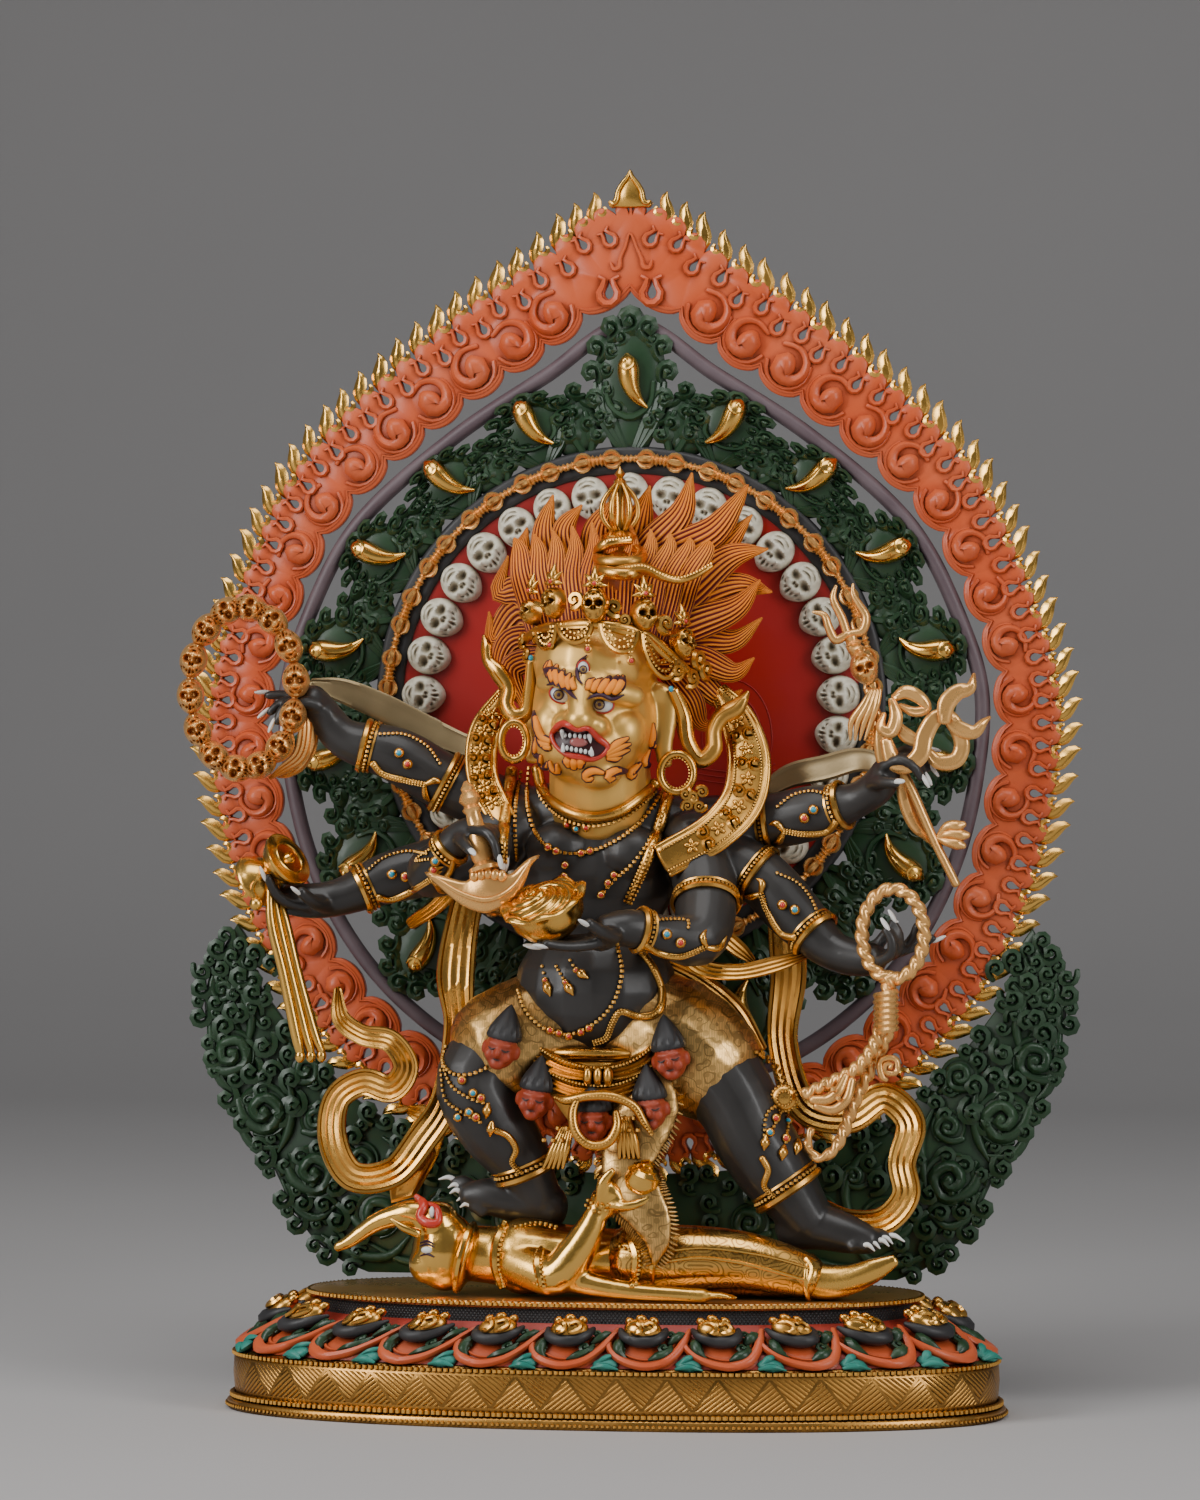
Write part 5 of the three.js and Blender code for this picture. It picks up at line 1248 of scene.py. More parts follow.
def hand(wrist, ahead, palm, curl_by, thumb=0.6, spread=0.16, size=1):
    """A palm, four fingers that bend towards the palm's side by so much at each joint, and a thumb.
    Gives the flesh and the nails."""
    wrist, ahead = np.asarray(wrist, float), unit(ahead)
    palm = unit(np.asarray(palm, float) - ahead * (ahead @ np.asarray(palm, float)))
    side = np.cross(ahead, palm)
    flesh = [ball(wrist + ahead * 6 * size, np.array([6.2, 6.8, 4.6]) * size, 14, 8)]
    frame_of = np.stack([ahead, side, palm])
    flesh[0].v = (flesh[0].v - wrist - ahead * 6 * size) @ frame_of + wrist + ahead * 6 * size
    nails = []
    nail = ball((0, 0, 0), (3.3, 1.35, 0.8), 8, 5)
    for k in range(4):
        turn = (k - 1.5) * spread
        way = ahead * math.cos(turn) + side * math.sin(turn)
        at = wrist + (ahead * 10 + side * (k - 1.5) * 3.3) * size
        rows, lift = [(*at, 2.6 * size)], 0.15
        for length, share in ((8, 0.5), (6.2, 1), (5, 0.75)):
            lift += curl_by[k] * share
            now = way * math.cos(lift) + palm * math.sin(lift)
            at = at + now * length * size * (0.86 if k == 3 else 1)
            rows.append((*at, rows[-1][3] * 0.88))
        flesh.append(tube(rows, 8, 11))
        back = palm * math.cos(lift) - way * math.sin(lift)
        axes = np.stack([now, np.cross(now, -back), -back]) * size
        nails.append(stamp(nail, at + (now * 1.6 - back * 1.3) * size, axes))
    way = unit(side * -thumb + ahead * 0.55 + palm * 0.5)
    start = wrist + (ahead * 2.5 - side * 4.5) * size
    rows = [(*start, 3.2 * size), (*(start + way * 7.5 * size), 2.7 * size),
        (*(start + (way * 12 + palm * 3 + ahead * 1.5) * size), 2.1 * size)]
    flesh.append(tube(rows, 8, 9))
    tip = np.array(rows[-1][:3])
    thumb_way = unit(tip - np.array(rows[1][:3]))
    out = unit(np.cross(thumb_way, np.cross(-palm, thumb_way)))
    nails.append(stamp(nail, tip + (thumb_way * 1.5 + out) * size,
        np.stack([thumb_way, np.cross(thumb_way, out), out]) * size))
    return flesh, nails

# %% The six hands, and one skin over the body
HANDS = [
    hand((-139, -9, 342), (-0.68, -0.14, 0.72), (-0.5, -0.2, -0.75), [0.3, 0.6, 0.8, 0.9], 0.9, size=1.4),
    hand((-138, -23, 255), (-1, -0.08, -0.02), (0.1, -0.3, 1), [0.5, 0.25, 0.15, 0.1], 0.8, 0.22, 1.4),
    hand((-67, -57, 287), (0.72, -0.35, 0.35), (0.3, -0.1, -1), [0.75, 0.85, 0.9, 0.95], 0.7, size=1.25),
    hand((132, -11, 313), (0.5, -0.25, 0.85), (0.8, -0.2, 0.4), [0.9, 0.9, 0.8, 0.5], 0.8, size=1.3),
    hand((125, -23, 228), (1, -0.15, 0.02), (-0.1, -0.2, 1), [0.1, 0.45, 0.85, 0.9], 0.9, 0.2, 1.3),
    hand((13, -68, 242), (-1, -0.28, -0.34), (0, -0.1, 1), [0.16, 0.12, 0.1, 0.14], 0.7, 0.24, 1.4),
]
flesh = [part for parts, _ in HANDS for part in parts]
body = fused([*trunk, *limbs, *toes, *flesh], 1.2, 6, 0.24)
piece("body_skin", body, SKIN_BLACK, "body_black", "mahakala", "right_arms", "left_arms")
nails = [part for _, parts in HANDS for part in parts]
piece("nails", [*nails, *claws], WHITE, "bone_white", "mahakala", "right_arms", "left_arms")

# %% [markdown]
# ## The face
# The head is cold gold, matter than the ornaments. Brows, moustache and beard are small flames in
# orange, drawn round with a dark line as on the painted figure. The eyes bulge and the mouth is
# open over its teeth.

# %% Head and features
head_forms = [
    ball((-8, -21, 352), (29.5, 32, 36)), ball((-8, -34, 333), (26.5, 24, 19)),
    ball((-6, -18, 374), (32, 33, 25)), ball((-8, -57, 346), (8.5, 9.5, 7)),
    ball((-16.5, -53, 344), (6, 7, 5.5)), ball((0.5, -54, 342.5), (6, 7, 5.5)),
    tube([(-8, -49, 366, 6), (-8, -54, 357, 6), (-8, -58, 349, 6)], 10, 8),
    ball((-25, -38, 344), (10, 13, 12)), ball((10, -37, 340), (12, 13, 12)),
    ball((-1, -44, 319), (12, 10, 8)), ball((8, -20, 346), (16, 20, 26)),
    ball((-24, -20, 349), (14, 20, 24)), ball((-7, -34, 363), (24, 19, 16)),
    tube([(-29, -41, 364, 5), (-19, -48, 364, 6), (-9, -50, 361, 5)], 10, 10),
    tube([(-6, -50, 360, 5), (6, -50, 360, 6), (18, -42, 357, 5.5)], 10, 10),
    tube([(-5, -6, 297, 26), (-5, -10, 308, 26), (-5, -16, 326, 25)], 20, 10),
]
ears = []
for (x, y, z), s in (((27, -16, 345), 1), ((-37, -15, 347), -1)):
    ears.append(tube([(x - s * 3, y - 2, z + 16, 5, 3.4), (x + s * 1, y, z + 12, 6.5, 3.4),
        (x + s * 1.5, y, z, 6, 3.2), (x + s * 0.5, y - 1, z - 12, 5.2, 3),
        (x + s * 1.5, y - 2, z - 22, 4.2, 2.6)], 12, 14, face=(0, -1, 0), fixed=True))
head = fused(head_forms + ears, 1, 26, 0.42)
piece("face", head, FACE_GOLD, "gilding", "mahakala")

# %% [markdown]
# Fine ornament is drawn as the camera sees it. A drawn point (u, v) is a step on its picture, which
# is 1200 steps wide and 1500 high, about half a millimetre a step. It either slides along its line of
# sight onto a surface, or stops at a given depth y.

# %% Drawing on the figure
SIGHT = camera.rotation_euler.to_matrix()
ACROSS, UPWARD, BACKWARD = (np.array(SIGHT.col[k]) for k in range(3))
EYE = np.array(camera.location) / MM
MIDDLE_U, MIDDLE_V, STEPS_AWAY = 600, 750, 6000


def sight(u, v):
    """The way of the line of sight through a point of the picture."""
    return unit((u - MIDDLE_U) * ACROSS - (v - MIDDLE_V) * UPWARD - STEPS_AWAY * BACKWARD)


def at_depth(u, v, y):
    """The point at depth y on that line."""
    way = sight(u, v)
    return EYE + way * (y - EYE[1]) / way[1]


def tree_of(*parts):
    """What a line of sight can meet."""
    whole = merge(list(parts))
    return BVHTree.FromPolygons(whole.v.tolist(), whole.q.tolist() + whole.t.tolist())


def laid(surface, rows, lift=0, count=0, beside=-28):
    """Drawn rows (u, v, other values) set on a surface and lifted off it. Points that miss keep the
    depth of their neighbour, or stand at the given one where all miss."""
    rows = np.asarray(rows, float)
    rows = smooth_line(rows, count) if count else rows
    depth = np.full(len(rows), np.nan)
    for k, (u, v) in enumerate(rows[:, :2]):
        hit = surface.ray_cast(Vector(EYE), Vector(sight(u, v)))[0]
        if hit is not None:
            depth[k] = hit[1]
    known = ~np.isnan(depth)
    order = np.arange(len(rows))
    depth = np.interp(order, order[known], depth[known]) if known.any() else np.full(len(rows), beside)
    points = np.array([at_depth(u, v, y) for (u, v), y in zip(rows[:, :2], depth)])
    return np.c_[points + BACKWARD * lift, rows[:, 2:]]


def at_depths(rows):
    """Drawn rows (u, v, y, other values) in space."""
    rows = np.asarray(rows, float)
    return np.c_[np.array([at_depth(u, v, y) for u, v, y in rows[:, :3]]), rows[:, 3:]]


def beads(line, radius, closed=False):
    """A string of beads that touch along a line in space."""
    fine = smooth_line(np.asarray(line, float)[:, :3], 200, closed)
    length = np.linalg.norm(np.diff(fine, axis=0), axis=1).sum()
    count = max(int(length / (2 * radius)), 3)
    return stamp(BEAD, smooth_line(np.asarray(line, float)[:, :3], count, closed), np.eye(3) * radius)

# %% Paints of the face, and its three eyes
DRAWN = material("drawn line", (0.035, 0.008, 0.03), (0.01, 0.003, 0.01), (0.07, 0.02, 0.05),
    gloss=(0.4, 0.6))
LIPS = material("lip paint", (0.56, 0.035, 0.02), (0.2, 0.01, 0.01), (0.72, 0.10, 0.04), gloss=(0.25, 0.4),
    shade_and_patina=(0.002, 1), coat=0.3)
IRIS = material("iris", (0.30, 0.17, 0.04), (0.02, 0.01, 0.01), (0.3, 0.2, 0.08),
    gloss=(0.15, 0.3), coat=0.5)
MOUTH_DARK = material("mouth lining", (0.05, 0.006, 0.008), (0.01, 0.002, 0.002), (0.09, 0.012, 0.014),
    gloss=(0.3, 0.5))
TONGUE = material("tongue", (0.42, 0.12, 0.11), (0.1, 0.01, 0.01), (0.5, 0.2, 0.18),
    gloss=(0.25, 0.4), coat=0.3)
face = tree_of(head)


def facing(width, height, depth, tilt=0):
    """Axes across, up and towards the camera, for a form set on the face."""
    c, s = math.cos(tilt), math.sin(tilt)
    return np.stack([(ACROSS * c + UPWARD * s) * width, (UPWARD * c - ACROSS * s) * height,
        BACKWARD * depth])


whites, irises, pupils, lids, reds = [], [], [], [], []
for u, v, width, height, tilt, look_u, look_v in ((561, 694.5, 5.6, 4.1, -0.3, -2.4, 0.4),
        (601.5, 704.5, 5.9, 4.1, -0.12, -2, 0.2), (583.2, 669, 2.9, 4, 0, 0, 0.5)):
    centre = laid(face, [(u, v)], -0.6)[0]
    globe = ball((0, 0, 0), 1, 20, 12)
    globe.p = np.clip((np.hypot(globe.v[:, 0], globe.v[:, 1]) - 0.84) * 6, 0, 1)
    whites.append(stamp(globe, centre, facing(width, height, 3.2, tilt)))
    gaze = centre + (ACROSS * look_u - UPWARD * look_v) * 0.5 + BACKWARD * 3.1
    size = 2.4 if width > 5 else 1.8
    irises.append(stamp(ball((0, 0, 0), 1, 16, 8), gaze, facing(size, size, 0.6)))
    pupils.append(stamp(ball((0, 0, 0), 1, 12, 8), gaze + BACKWARD * 0.4,
        facing(size * 0.42, size * 0.42, 0.5)))
    pupils.append(wire_ring(hoop(gaze + BACKWARD * 0.1, ACROSS * size, UPWARD * size), 0.36, 5, 28))
    across, up, _ = facing(width * 1.04, height * 1.04, 1, tilt)
    reds.append(wire_ring(hoop(centre + BACKWARD * 0.9, across, up, 24), 0.45, 5, 40, face=BACKWARD))
LIDS = [([(547, 685, 0.4), (556, 683, 1.1), (566, 689, 1.1), (573, 696, 0.9), (577, 699, 0.3)], 1.6),
    ([(588, 699, 0.3), (593, 696, 0.9), (602, 695, 1.1), (612, 699, 1.1), (624, 695, 0.4)], 1.8),
    ([(587, 655, 0.3), (579, 662, 0.8), (577, 672, 1), (579, 680, 0.8), (583, 684, 0.3)], 1)]
lids += [tube(laid(face, rows, lift, 12), 6, 16) for rows, lift in LIDS]
lids.append(tube(laid(face, [(586, 658, 0.3), (581, 676, 0.2)], 0.2, 4), 4, 4))
print(len(whites), "eyes with", len(lids), "lines of lids")

# %% Lips, teeth and tongue
LIP = [(552, 735), (558, 726), (564, 723.5), (577, 730), (588, 728.5), (598, 738), (608, 747),
    (604, 754), (594, 759), (580, 757), (566, 754), (556, 746)]
lip_rows = smooth_line(LIP, 48, closed=True)
lip_line = laid(face, lip_rows, 0.8)
lip = tube(np.c_[lip_line, 1.5 + 0.35 * np.sin(np.linspace(0, 6 * np.pi, 48))], 8, 60,
    face=BACKWARD, closed=True)
mouth_centre = laid(face, [(579, 742)], 1.1)[0]
MOUTH = np.array([580, 742])
mouth_rings = [laid(face, MOUTH + (lip_rows - MOUTH) * share, 0.7) for share in (1, 0.75, 0.5, 0.25, 0.08)]
mouth_back = mouth_rings[0] - BACKWARD * 4
mouth_inside = skin(np.array([mouth_back, *mouth_rings]),
    poles=[mouth_back.mean(0), mouth_rings[-1].mean(0)])
teeth = []
for start, end, count, lift in (((565, 735), (590, 737), 6, 2.3), ((567, 748), (590, 752.5), 6, 2.3)):
    row = laid(face, np.linspace(start, end, count), lift)
    teeth.append(stamp(ball((0, 0, 0), (0.95, 1.4, 0.8), 8, 6), row, facing(1, 1, 1)))
fangs = [tube(laid(face, [(u, v, 1.15), (u + d, v + 4 * s, 1), (u + 1.5 * d, v + 8 * s, 0.25)], 2.8), 7, 8)
    for u, v, s, d in ((562, 731, 1, 0.5), (589, 735, 1, 1), (563, 751, -1, 0), (592, 755, -1, -0.5))]
tongue = stamp(ball((0, 0, 0), 1, 14, 8), mouth_centre + BACKWARD * 0.5, facing(4.6, 2.6, 1.4))
print(len(teeth), "rows of teeth and", len(fangs), "fangs")

# %% Flames of the brows and the beard
FLAMES_OF_FACE = [
    [(553, 680, 1.6), (550, 670, 1.7), (550, 661, 0.5)],
    [(558, 683, 1.6), (555, 673, 1.8), (557, 665, 0.5)],
    [(564, 686, 1.6), (561, 677, 1.8), (564, 670, 0.5)],
    [(570, 688, 1.5), (567, 681, 1.7), (570, 674, 0.5)],
    [(574, 688, 1.2), (572, 682, 1.5), (574, 677, 0.4)],
    [(549, 675, 1.3), (547, 668, 1.4), (548, 662, 0.5)],
    [(588, 688, 1.3), (590, 683, 1.6), (594, 679, 0.5)],
    [(593, 690, 1.5), (597, 684, 1.8), (602, 679, 0.5)],
    [(600, 691, 1.6), (605, 684, 1.9), (610, 677, 0.5)],
    [(607, 692, 1.6), (613, 685, 1.9), (618, 676, 0.5)], [(614, 692, 1.6), (620, 685, 2), (623, 677, 0.8)],
    [(607, 752, 1), (617, 744, 1.7), (628, 738, 0.5)], [(607, 754, 1), (618, 748, 1.7), (630, 744, 0.5)],
    [(608, 756, 1), (618, 753, 1.6), (629, 750, 0.5)], [(608, 758, 1), (616, 758, 1.5), (621, 757, 0.5)],
    [(550, 741, 1.2), (543, 738, 1.7), (536, 722, 1.5), (534.5, 712, 0.5)],
    [(549, 745, 1.1), (543, 744, 1.6), (537, 733, 0.6)], [(550, 748, 1), (546, 747, 1.4), (540, 742, 0.6)],
    [(569, 765, 1.5), (567, 760, 1.8), (566, 757, 0.6)],
    [(574, 767, 1.5), (574, 761, 1.9), (573, 757, 0.6)],
    [(580, 766, 1.4), (581, 761, 1.8), (583, 757, 0.6)], [(541, 756, 0.8), (542, 763, 1.6), (546, 767, 1.2),
        (548, 763, 0.7)], [(550, 762, 0.8), (553, 768, 1.7), (558, 771, 1.5), (557, 765, 0.8)],
    [(603, 773, 0.8), (593, 771, 1.7), (586, 775, 1.8), (588, 780, 1.3), (592, 778, 0.8)],
    [(625, 771, 0.8), (615, 771, 1.7), (608, 775, 1.8), (610, 780, 1.3), (614, 778, 0.8)],
    [(640, 764, 0.7), (634, 769, 1.6), (629, 773, 1.7), (632, 777, 1.2), (635, 774, 0.8)],
    [(649, 750, 0.7), (645, 758, 1.6), (644, 763, 1.5), (648, 765, 1)],
    [(653, 724, 0.5), (652, 735, 1.7), (651, 744, 1.6), (655, 746, 0.9)],
    [(536, 738, 0.6), (536, 748, 1.5), (537, 755, 1.2), (540, 757, 0.7)],
]
face_flames = [tube(laid(face, np.asarray(row) * (1, 1, 1.25), 0.9, 10), 8, 12) for row in FLAMES_OF_FACE]
outlines = [tube(laid(face, np.asarray(row) * (1, 1, 1.25) + (0, 0, 0.55), -0.2, 10), 8, 12)
    for row in FLAMES_OF_FACE]
piece("eye_whites", [*whites, *teeth, *fangs], WHITE, "bone_white", "mahakala")
piece("irises", irises, IRIS, "body_black", "mahakala")
piece("pupils_and_lids", [*pupils, *lids, *outlines], DRAWN, "body_black", "mahakala")
piece("lips", [lip, *reds], LIPS, "halo_red", "mahakala")
piece("mouth_inside", mouth_inside, MOUTH_DARK, "halo_red", "mahakala")
piece("tongue", tongue, TONGUE, "halo_red", "mahakala")
piece("face_flames", face_flames, HAIR_ORANGE, "hair_orange", "mahakala")

# %% [markdown]
# ## Hair
# The hair streams upwards in flat locks that end in S-shaped tips. A lock is one sweep whose section
# is scored with strands. The scores are painted dark maroon. The borders and roots of each lock are
# painted darker still, as painted shade where the locks meet and crowd together.

# %% Locks of hair
STRANDS = 18
score = np.arange(STRANDS * 2) % 2
lock_section = CIRCLE[STRANDS * 2] * (0.84 + 0.16 * score)[:, None]
# Dark in the scores, and darker at each lock's borders: painted shade between the locks.
lock_paint_and_shade = (1.5 - 2.4 * score + 1.1 * CIRCLE[STRANDS * 2][:, 0] ** 4)[None, :]
LOCKS = [
    [(560, 655, -2, 9), (512, 668, 2, 12), (522, 700, 2, 6), (530, 716, 0, 1)],
    [(560, 640, 4, 10), (512, 640, 6, 13), (500, 668, 6, 8), (512, 700, 4, 1)],
    [(570, 640, 6, 14), (520, 612, 8, 17), (494, 640, 8, 9), (489, 612, 6, 1)],
    [(570, 630, 4, 14), (520, 590, 6, 16), (500, 592, 6, 10), (508, 556, 4, 1)],
    [(580, 630, 2, 15), (535, 570, 4, 18), (523, 552, 4, 10), (527, 528, 2, 1)],
    [(585, 620, 0, 14), (550, 560, 2, 16), (545, 528, 2, 11), (553, 495, 0, 1)],
    [(590, 620, -2, 14), (570, 560, 0, 16), (565, 528, 0, 11), (582, 505, -2, 1)],
    [(600, 620, 2, 14), (600, 570, 4, 18), (598, 530, 4, 14), (612, 500, 2, 1)],
    [(610, 620, 6, 14), (630, 560, 8, 18), (640, 520, 8, 13), (650, 486, 6, 1)],
    [(620, 610, 0, 14), (650, 550, 2, 17), (682, 512, 2, 12), (692, 473, 0, 1)],
    [(625, 620, -4, 14), (665, 560, 0, 18), (715, 530, 2, 14), (735, 505, 2, 8), (748, 485, 0, 1)],
    [(630, 630, 4, 14), (680, 575, 6, 18), (722, 548, 6, 13), (752, 515, 4, 1)],
    [(640, 630, -4, 14), (690, 590, 0, 18), (732, 556, 2, 12), (768, 549, 0, 1)],
    [(640, 640, 2, 14), (700, 600, 4, 18), (742, 586, 4, 12), (772, 592, 2, 1)],
    [(650, 640, -5, 14), (700, 622, -1, 16), (738, 606, 0, 11), (760, 580, -1, 1)],
    [(655, 650, 2, 14), (705, 640, 4, 15), (735, 640, 4, 10), (762, 618, 2, 1)],
    [(660, 660, -4, 13), (700, 660, 0, 14), (735, 672, 1, 9), (754, 658, 0, 1)],
    [(665, 665, 3, 12), (700, 682, 4, 13), (724, 700, 4, 8), (742, 690, 2, 1)],
    [(668, 670, -2, 11), (692, 700, 1, 11), (702, 724, 2, 7), (720, 726, 1, 1)],
    [(668, 690, 0, 9), (684, 720, 2, 9), (688, 742, 3, 6), (698, 752, 2, 1)],
    *[[(u, 640, -34 + 0.004 * (u - 600) ** 2, 10),
        (u + 0.15 * (u - 600), 604, -26 + 0.004 * (u - 600) ** 2, 12), (u + 0.3 * (u - 600), 574, -14, 11),
        (u + 0.45 * (u - 600) + 6, 548, -8, 7), (u + 0.5 * (u - 600) + 4, 520 + 0.3 * abs(u - 600), -4, 1)]
        for u in range(540, 672, 13)],
    [(610, 615, -12, 8), (618, 590, -12, 8), (632, 574, -12, 6), (640, 586, -12, 5), (630, 592, -13, 3)],
]
# Darker towards the root of each lock: painted shade where the locks crowd together.
hair = [sweep(at_depths([(u, v, y, 0.55 * w, 0.30 * w) for u, v, y, w in rows]),
    lock_section, 6 * len(rows), **UPRIGHT,
    paint=lock_paint_and_shade + np.linspace(0.6, -0.3, 6 * len(rows))[:, None]) for rows in LOCKS]
cap_of_hair = ball((-2, -6, 396), (35, 22, 26), 40, 16)
# The cap under the locks is painted mostly dark: painted shade where it shows between them.
cap_of_hair.p[:] = 0.8
piece("hair", [*hair, cap_of_hair], HAIR_ORANGE, "hair_orange", "hair_and_crown")

# %% [markdown]
# ## Crown
# Five gilt skulls stand on a band of beaded swags, each under a flower of leaves with a stone.
# A thunderbolt on a lotus rises behind them, with a snake wound about its foot.

# %% The curve of the crown
CROWN_U = [520, 532, 554, 595, 644, 681, 700]
CROWN_Y = [-10, -24, -44, -54, -46, -28, -10]


def crown(u, v, lift=0):
    """The point of the crown drawn at (u, v). Its depth follows u along the crown, less a lift forward."""
    return at_depth(u, v, float(np.interp(u, CROWN_U, CROWN_Y)) - lift)


def turned_axes(u, size):
    """Axes of work that faces out of the crown at u, with its length upwards."""
    a = np.interp(u, [520, 595, 700], [-1.15, 0, 1.15])
    out = unit((math.sin(a), -math.cos(a), 0.12))
    side = (math.cos(a), math.sin(a), 0)
    return np.stack([side, np.cross(out, side), out]) * np.reshape(size, (-1, 1))

# %% Skulls, flowers and curls of the crown
gold_skulls, flowers, stones, swags = [], [], [], []
petal = ball((0, 1.9, 0), (1.1, 1.9, 0.8), 8, 6)
flower = merge([moved(petal, (0, 0, 0), (0, 0, k * 2 * math.pi / 5)) for k in range(5)])
FLOWER_LEAF = tube([(0, 0, 0, 1.6), (0, 3.2, 0.8, 2.2), (0, 6, 0.6, 1.4), (0, 8.2, 0.2, 0.4)], 7, 9, **FLAT)
for u, v, size in ((533, 612, 5.2), (554, 603, 6.2), (595, 605, 7), (644, 615, 6.6), (682, 643, 6.4)):
    axes = turned_axes(u, 1)
    gold_skulls.append(stamp(small_skull, crown(u, v, 1),
        axes * np.reshape([size, size * 1.1, 5.5], (-1, 1))))
    for turn, reach in ((0, 1.15), (0.8, 0.9), (-0.8, 0.9), (1.7, 0.8), (-1.7, 0.8)):
        flowers.append(stamp(moved(FLOWER_LEAF, (0, 0, 0), (0, 0, turn), 0.95 * reach),
            crown(u, v - 21, 1), axes))
    flowers.append(stamp(ball((0, 0, 1.5), (2, 2, 1.4), 10, 6), crown(u, v - 21, 1), axes))
    stones.append(stamp(ball((0, 0, 2.6), (1.2, 1.2, 1), 8, 6), crown(u, v - 21, 1), axes))
crown_curl = curl(1.4, 3.4, 1.6, 6, 16, 1.6, 2)
for u, v, size, hand_of in ((576, 600, 1.1, -1), (614, 608, 1.15, 1), (664, 624, 1.2, 1),
        (624, 620, 0.8, -1), (697, 660, 1.3, 1), (536, 634, 0.9, -1), (524, 640, 1, 1), (690, 678, 1.2, -1),
        (704, 670, 1.2, 1), (676, 672, 1, -1), (528, 655, 0.9, 1)):
    flowers.append(stamp(crown_curl, crown(u, v, 1),
        turned_axes(u, size) * np.reshape([hand_of, 1, 1], (-1, 1))))
print(len(gold_skulls), "skulls,", len(flowers), "flowers and curls")

# %% Swags and pendants of the crown
for left, right, drop in (((536, 628), (556, 626), 22), ((558, 624), (592, 624), 18),
        ((600, 624), (638, 632), 24), ((642, 634), (676, 660), 28)):
    (u0, v0), (u1, v1) = left, right
    middle_u, top_v = (u0 + u1) / 2, (v0 + v1) / 2
    for inner, radius in ((1, 1.3), (0.78, 1.05), (0.5, 0.95)):
        half_u = (u1 - u0) / 2 * inner
        line = []
        for a in np.linspace(0, -np.pi, 13):
            v = top_v + (v1 - v0) / 2 * math.cos(a) * inner - drop * inner * math.sin(a)
            line.append(crown(middle_u + half_u * math.cos(a), v, 1.6 + (inner < 1)))
        swags.append(tube(np.c_[line, np.full(13, radius)], 6, 24) if inner == 1.0 else beads(line, radius))
    swags.append(tube([(*crown(u0 + 4, v0 + 2, 1.5), 1.4), (*crown(middle_u, top_v + 3, 2), 1.7),
        (*crown(u1 - 4, v1 + 2, 1.5), 1.4)], 6, 8))
swags.append(tube([(*crown(u, v, -0.5), 2.6) for u, v in ((524, 640), (540, 630), (560, 626), (596, 624),
    (640, 632), (672, 656), (694, 680))], 8, 30))
for u, v, w in ((551, 645, 18), (588, 649, 18), (631, 661, 20)):
    swags += [beads([crown(u - 3 + d, v - w, 2.2), crown(u - 1 + 0.4 * d, v - 4, 2.4)], 0.8)
        for d in (0, 5)]
    flowers.append(stamp(ball((0, 0, 0), (2.2, 2.2, 1.2), 12, 6), crown(u, v, 2.2), turned_axes(u, 1)))
    stones.append(stamp(ball((0, 0, 1), (1.3, 1.3, 1), 8, 6), crown(u, v, 2.4), turned_axes(u, 1)))
blue = [ball(crown(u, v, 4), (1.4, 1.4, 1.6), 8, 6) for u, v in ((531, 658), (671, 689))]
print(len(swags), "swags and pendants,", len(stones), "stones")

# %% Finial and snake
vajra_ribs = [tube([(3.6 * math.cos(a), 3.6 * math.sin(a), 10, 1.3),
        (8.6 * math.cos(a), 8.6 * math.sin(a), 17, 1.5), (8.4 * math.cos(a), 8.4 * math.sin(a), 25, 1.4),
        (1.8 * math.cos(a), 1.8 * math.sin(a), 34.5, 1)], 7, 14)
    for a in np.arange(6) * np.pi / 3 + 0.2]
FINIAL = [(0, -4), (9, -3.5), (10, -1), (6, 1), (5, 3), (8.6, 5), (9, 8), (6, 10), (3, 11),
    (2.6, 20), (2.8, 30), (2.4, 34), (3.2, 35.5), (1.4, 37), (2.8, 39), (1.2, 41), (0, 43)]
finial = merge([turned(FINIAL, 16), *vajra_ribs,
    *[moved(FLOWER_LEAF, (0, 0, 3), (1.1, 0, a), 1.2) for a in np.arange(8) * np.pi / 4]])
snake_rows = at_depths([(630, 540, -20, 2.4), (606, 544, -24, 3), (599, 552, -14, 3), (616, 546, 0, 3),
    (640, 552, -12, 3.2), (634, 562, -30, 3.4), (606, 562, -30, 3.4), (600, 556, -12, 3), (622, 556, 2, 3),
    (644, 566, -14, 3.2), (630, 574, -36, 3.4), (606, 572, -34, 3.2), (600, 566, -22, 3),
    (624, 570, -34, 3), (644, 568, -34, 2.8), (662, 576, -32, 2.6), (680, 580, -28, 2.2),
    (698, 574, -26, 1.8), (712, 566, -24, 0.8)])
snake = tube(snake_rows, 8, 80)
scales = beads(snake_rows - (0, 2.2, -1.2, 0), 0.8)
piece("crown_gilding", [*gold_skulls, *flowers, *swags, snake, scales,
    moved(finial, at_depth(620, 552, -4))], GOLD, "gilding", "hair_and_crown")
piece("crown_stones", stones, RED_STONE, "stones", "hair_and_crown")
piece("crown_turquoise", blue, BLUE_STONE, "stones", "hair_and_crown")

# %% [markdown]
# ## Skirt, shawl and scarves
# The tiger-skin skirt hangs over both thighs and between the legs. A shawl of stiff gilt cloth
# stands behind the shoulders, and long scarves flutter down both sides in flat folded bands.

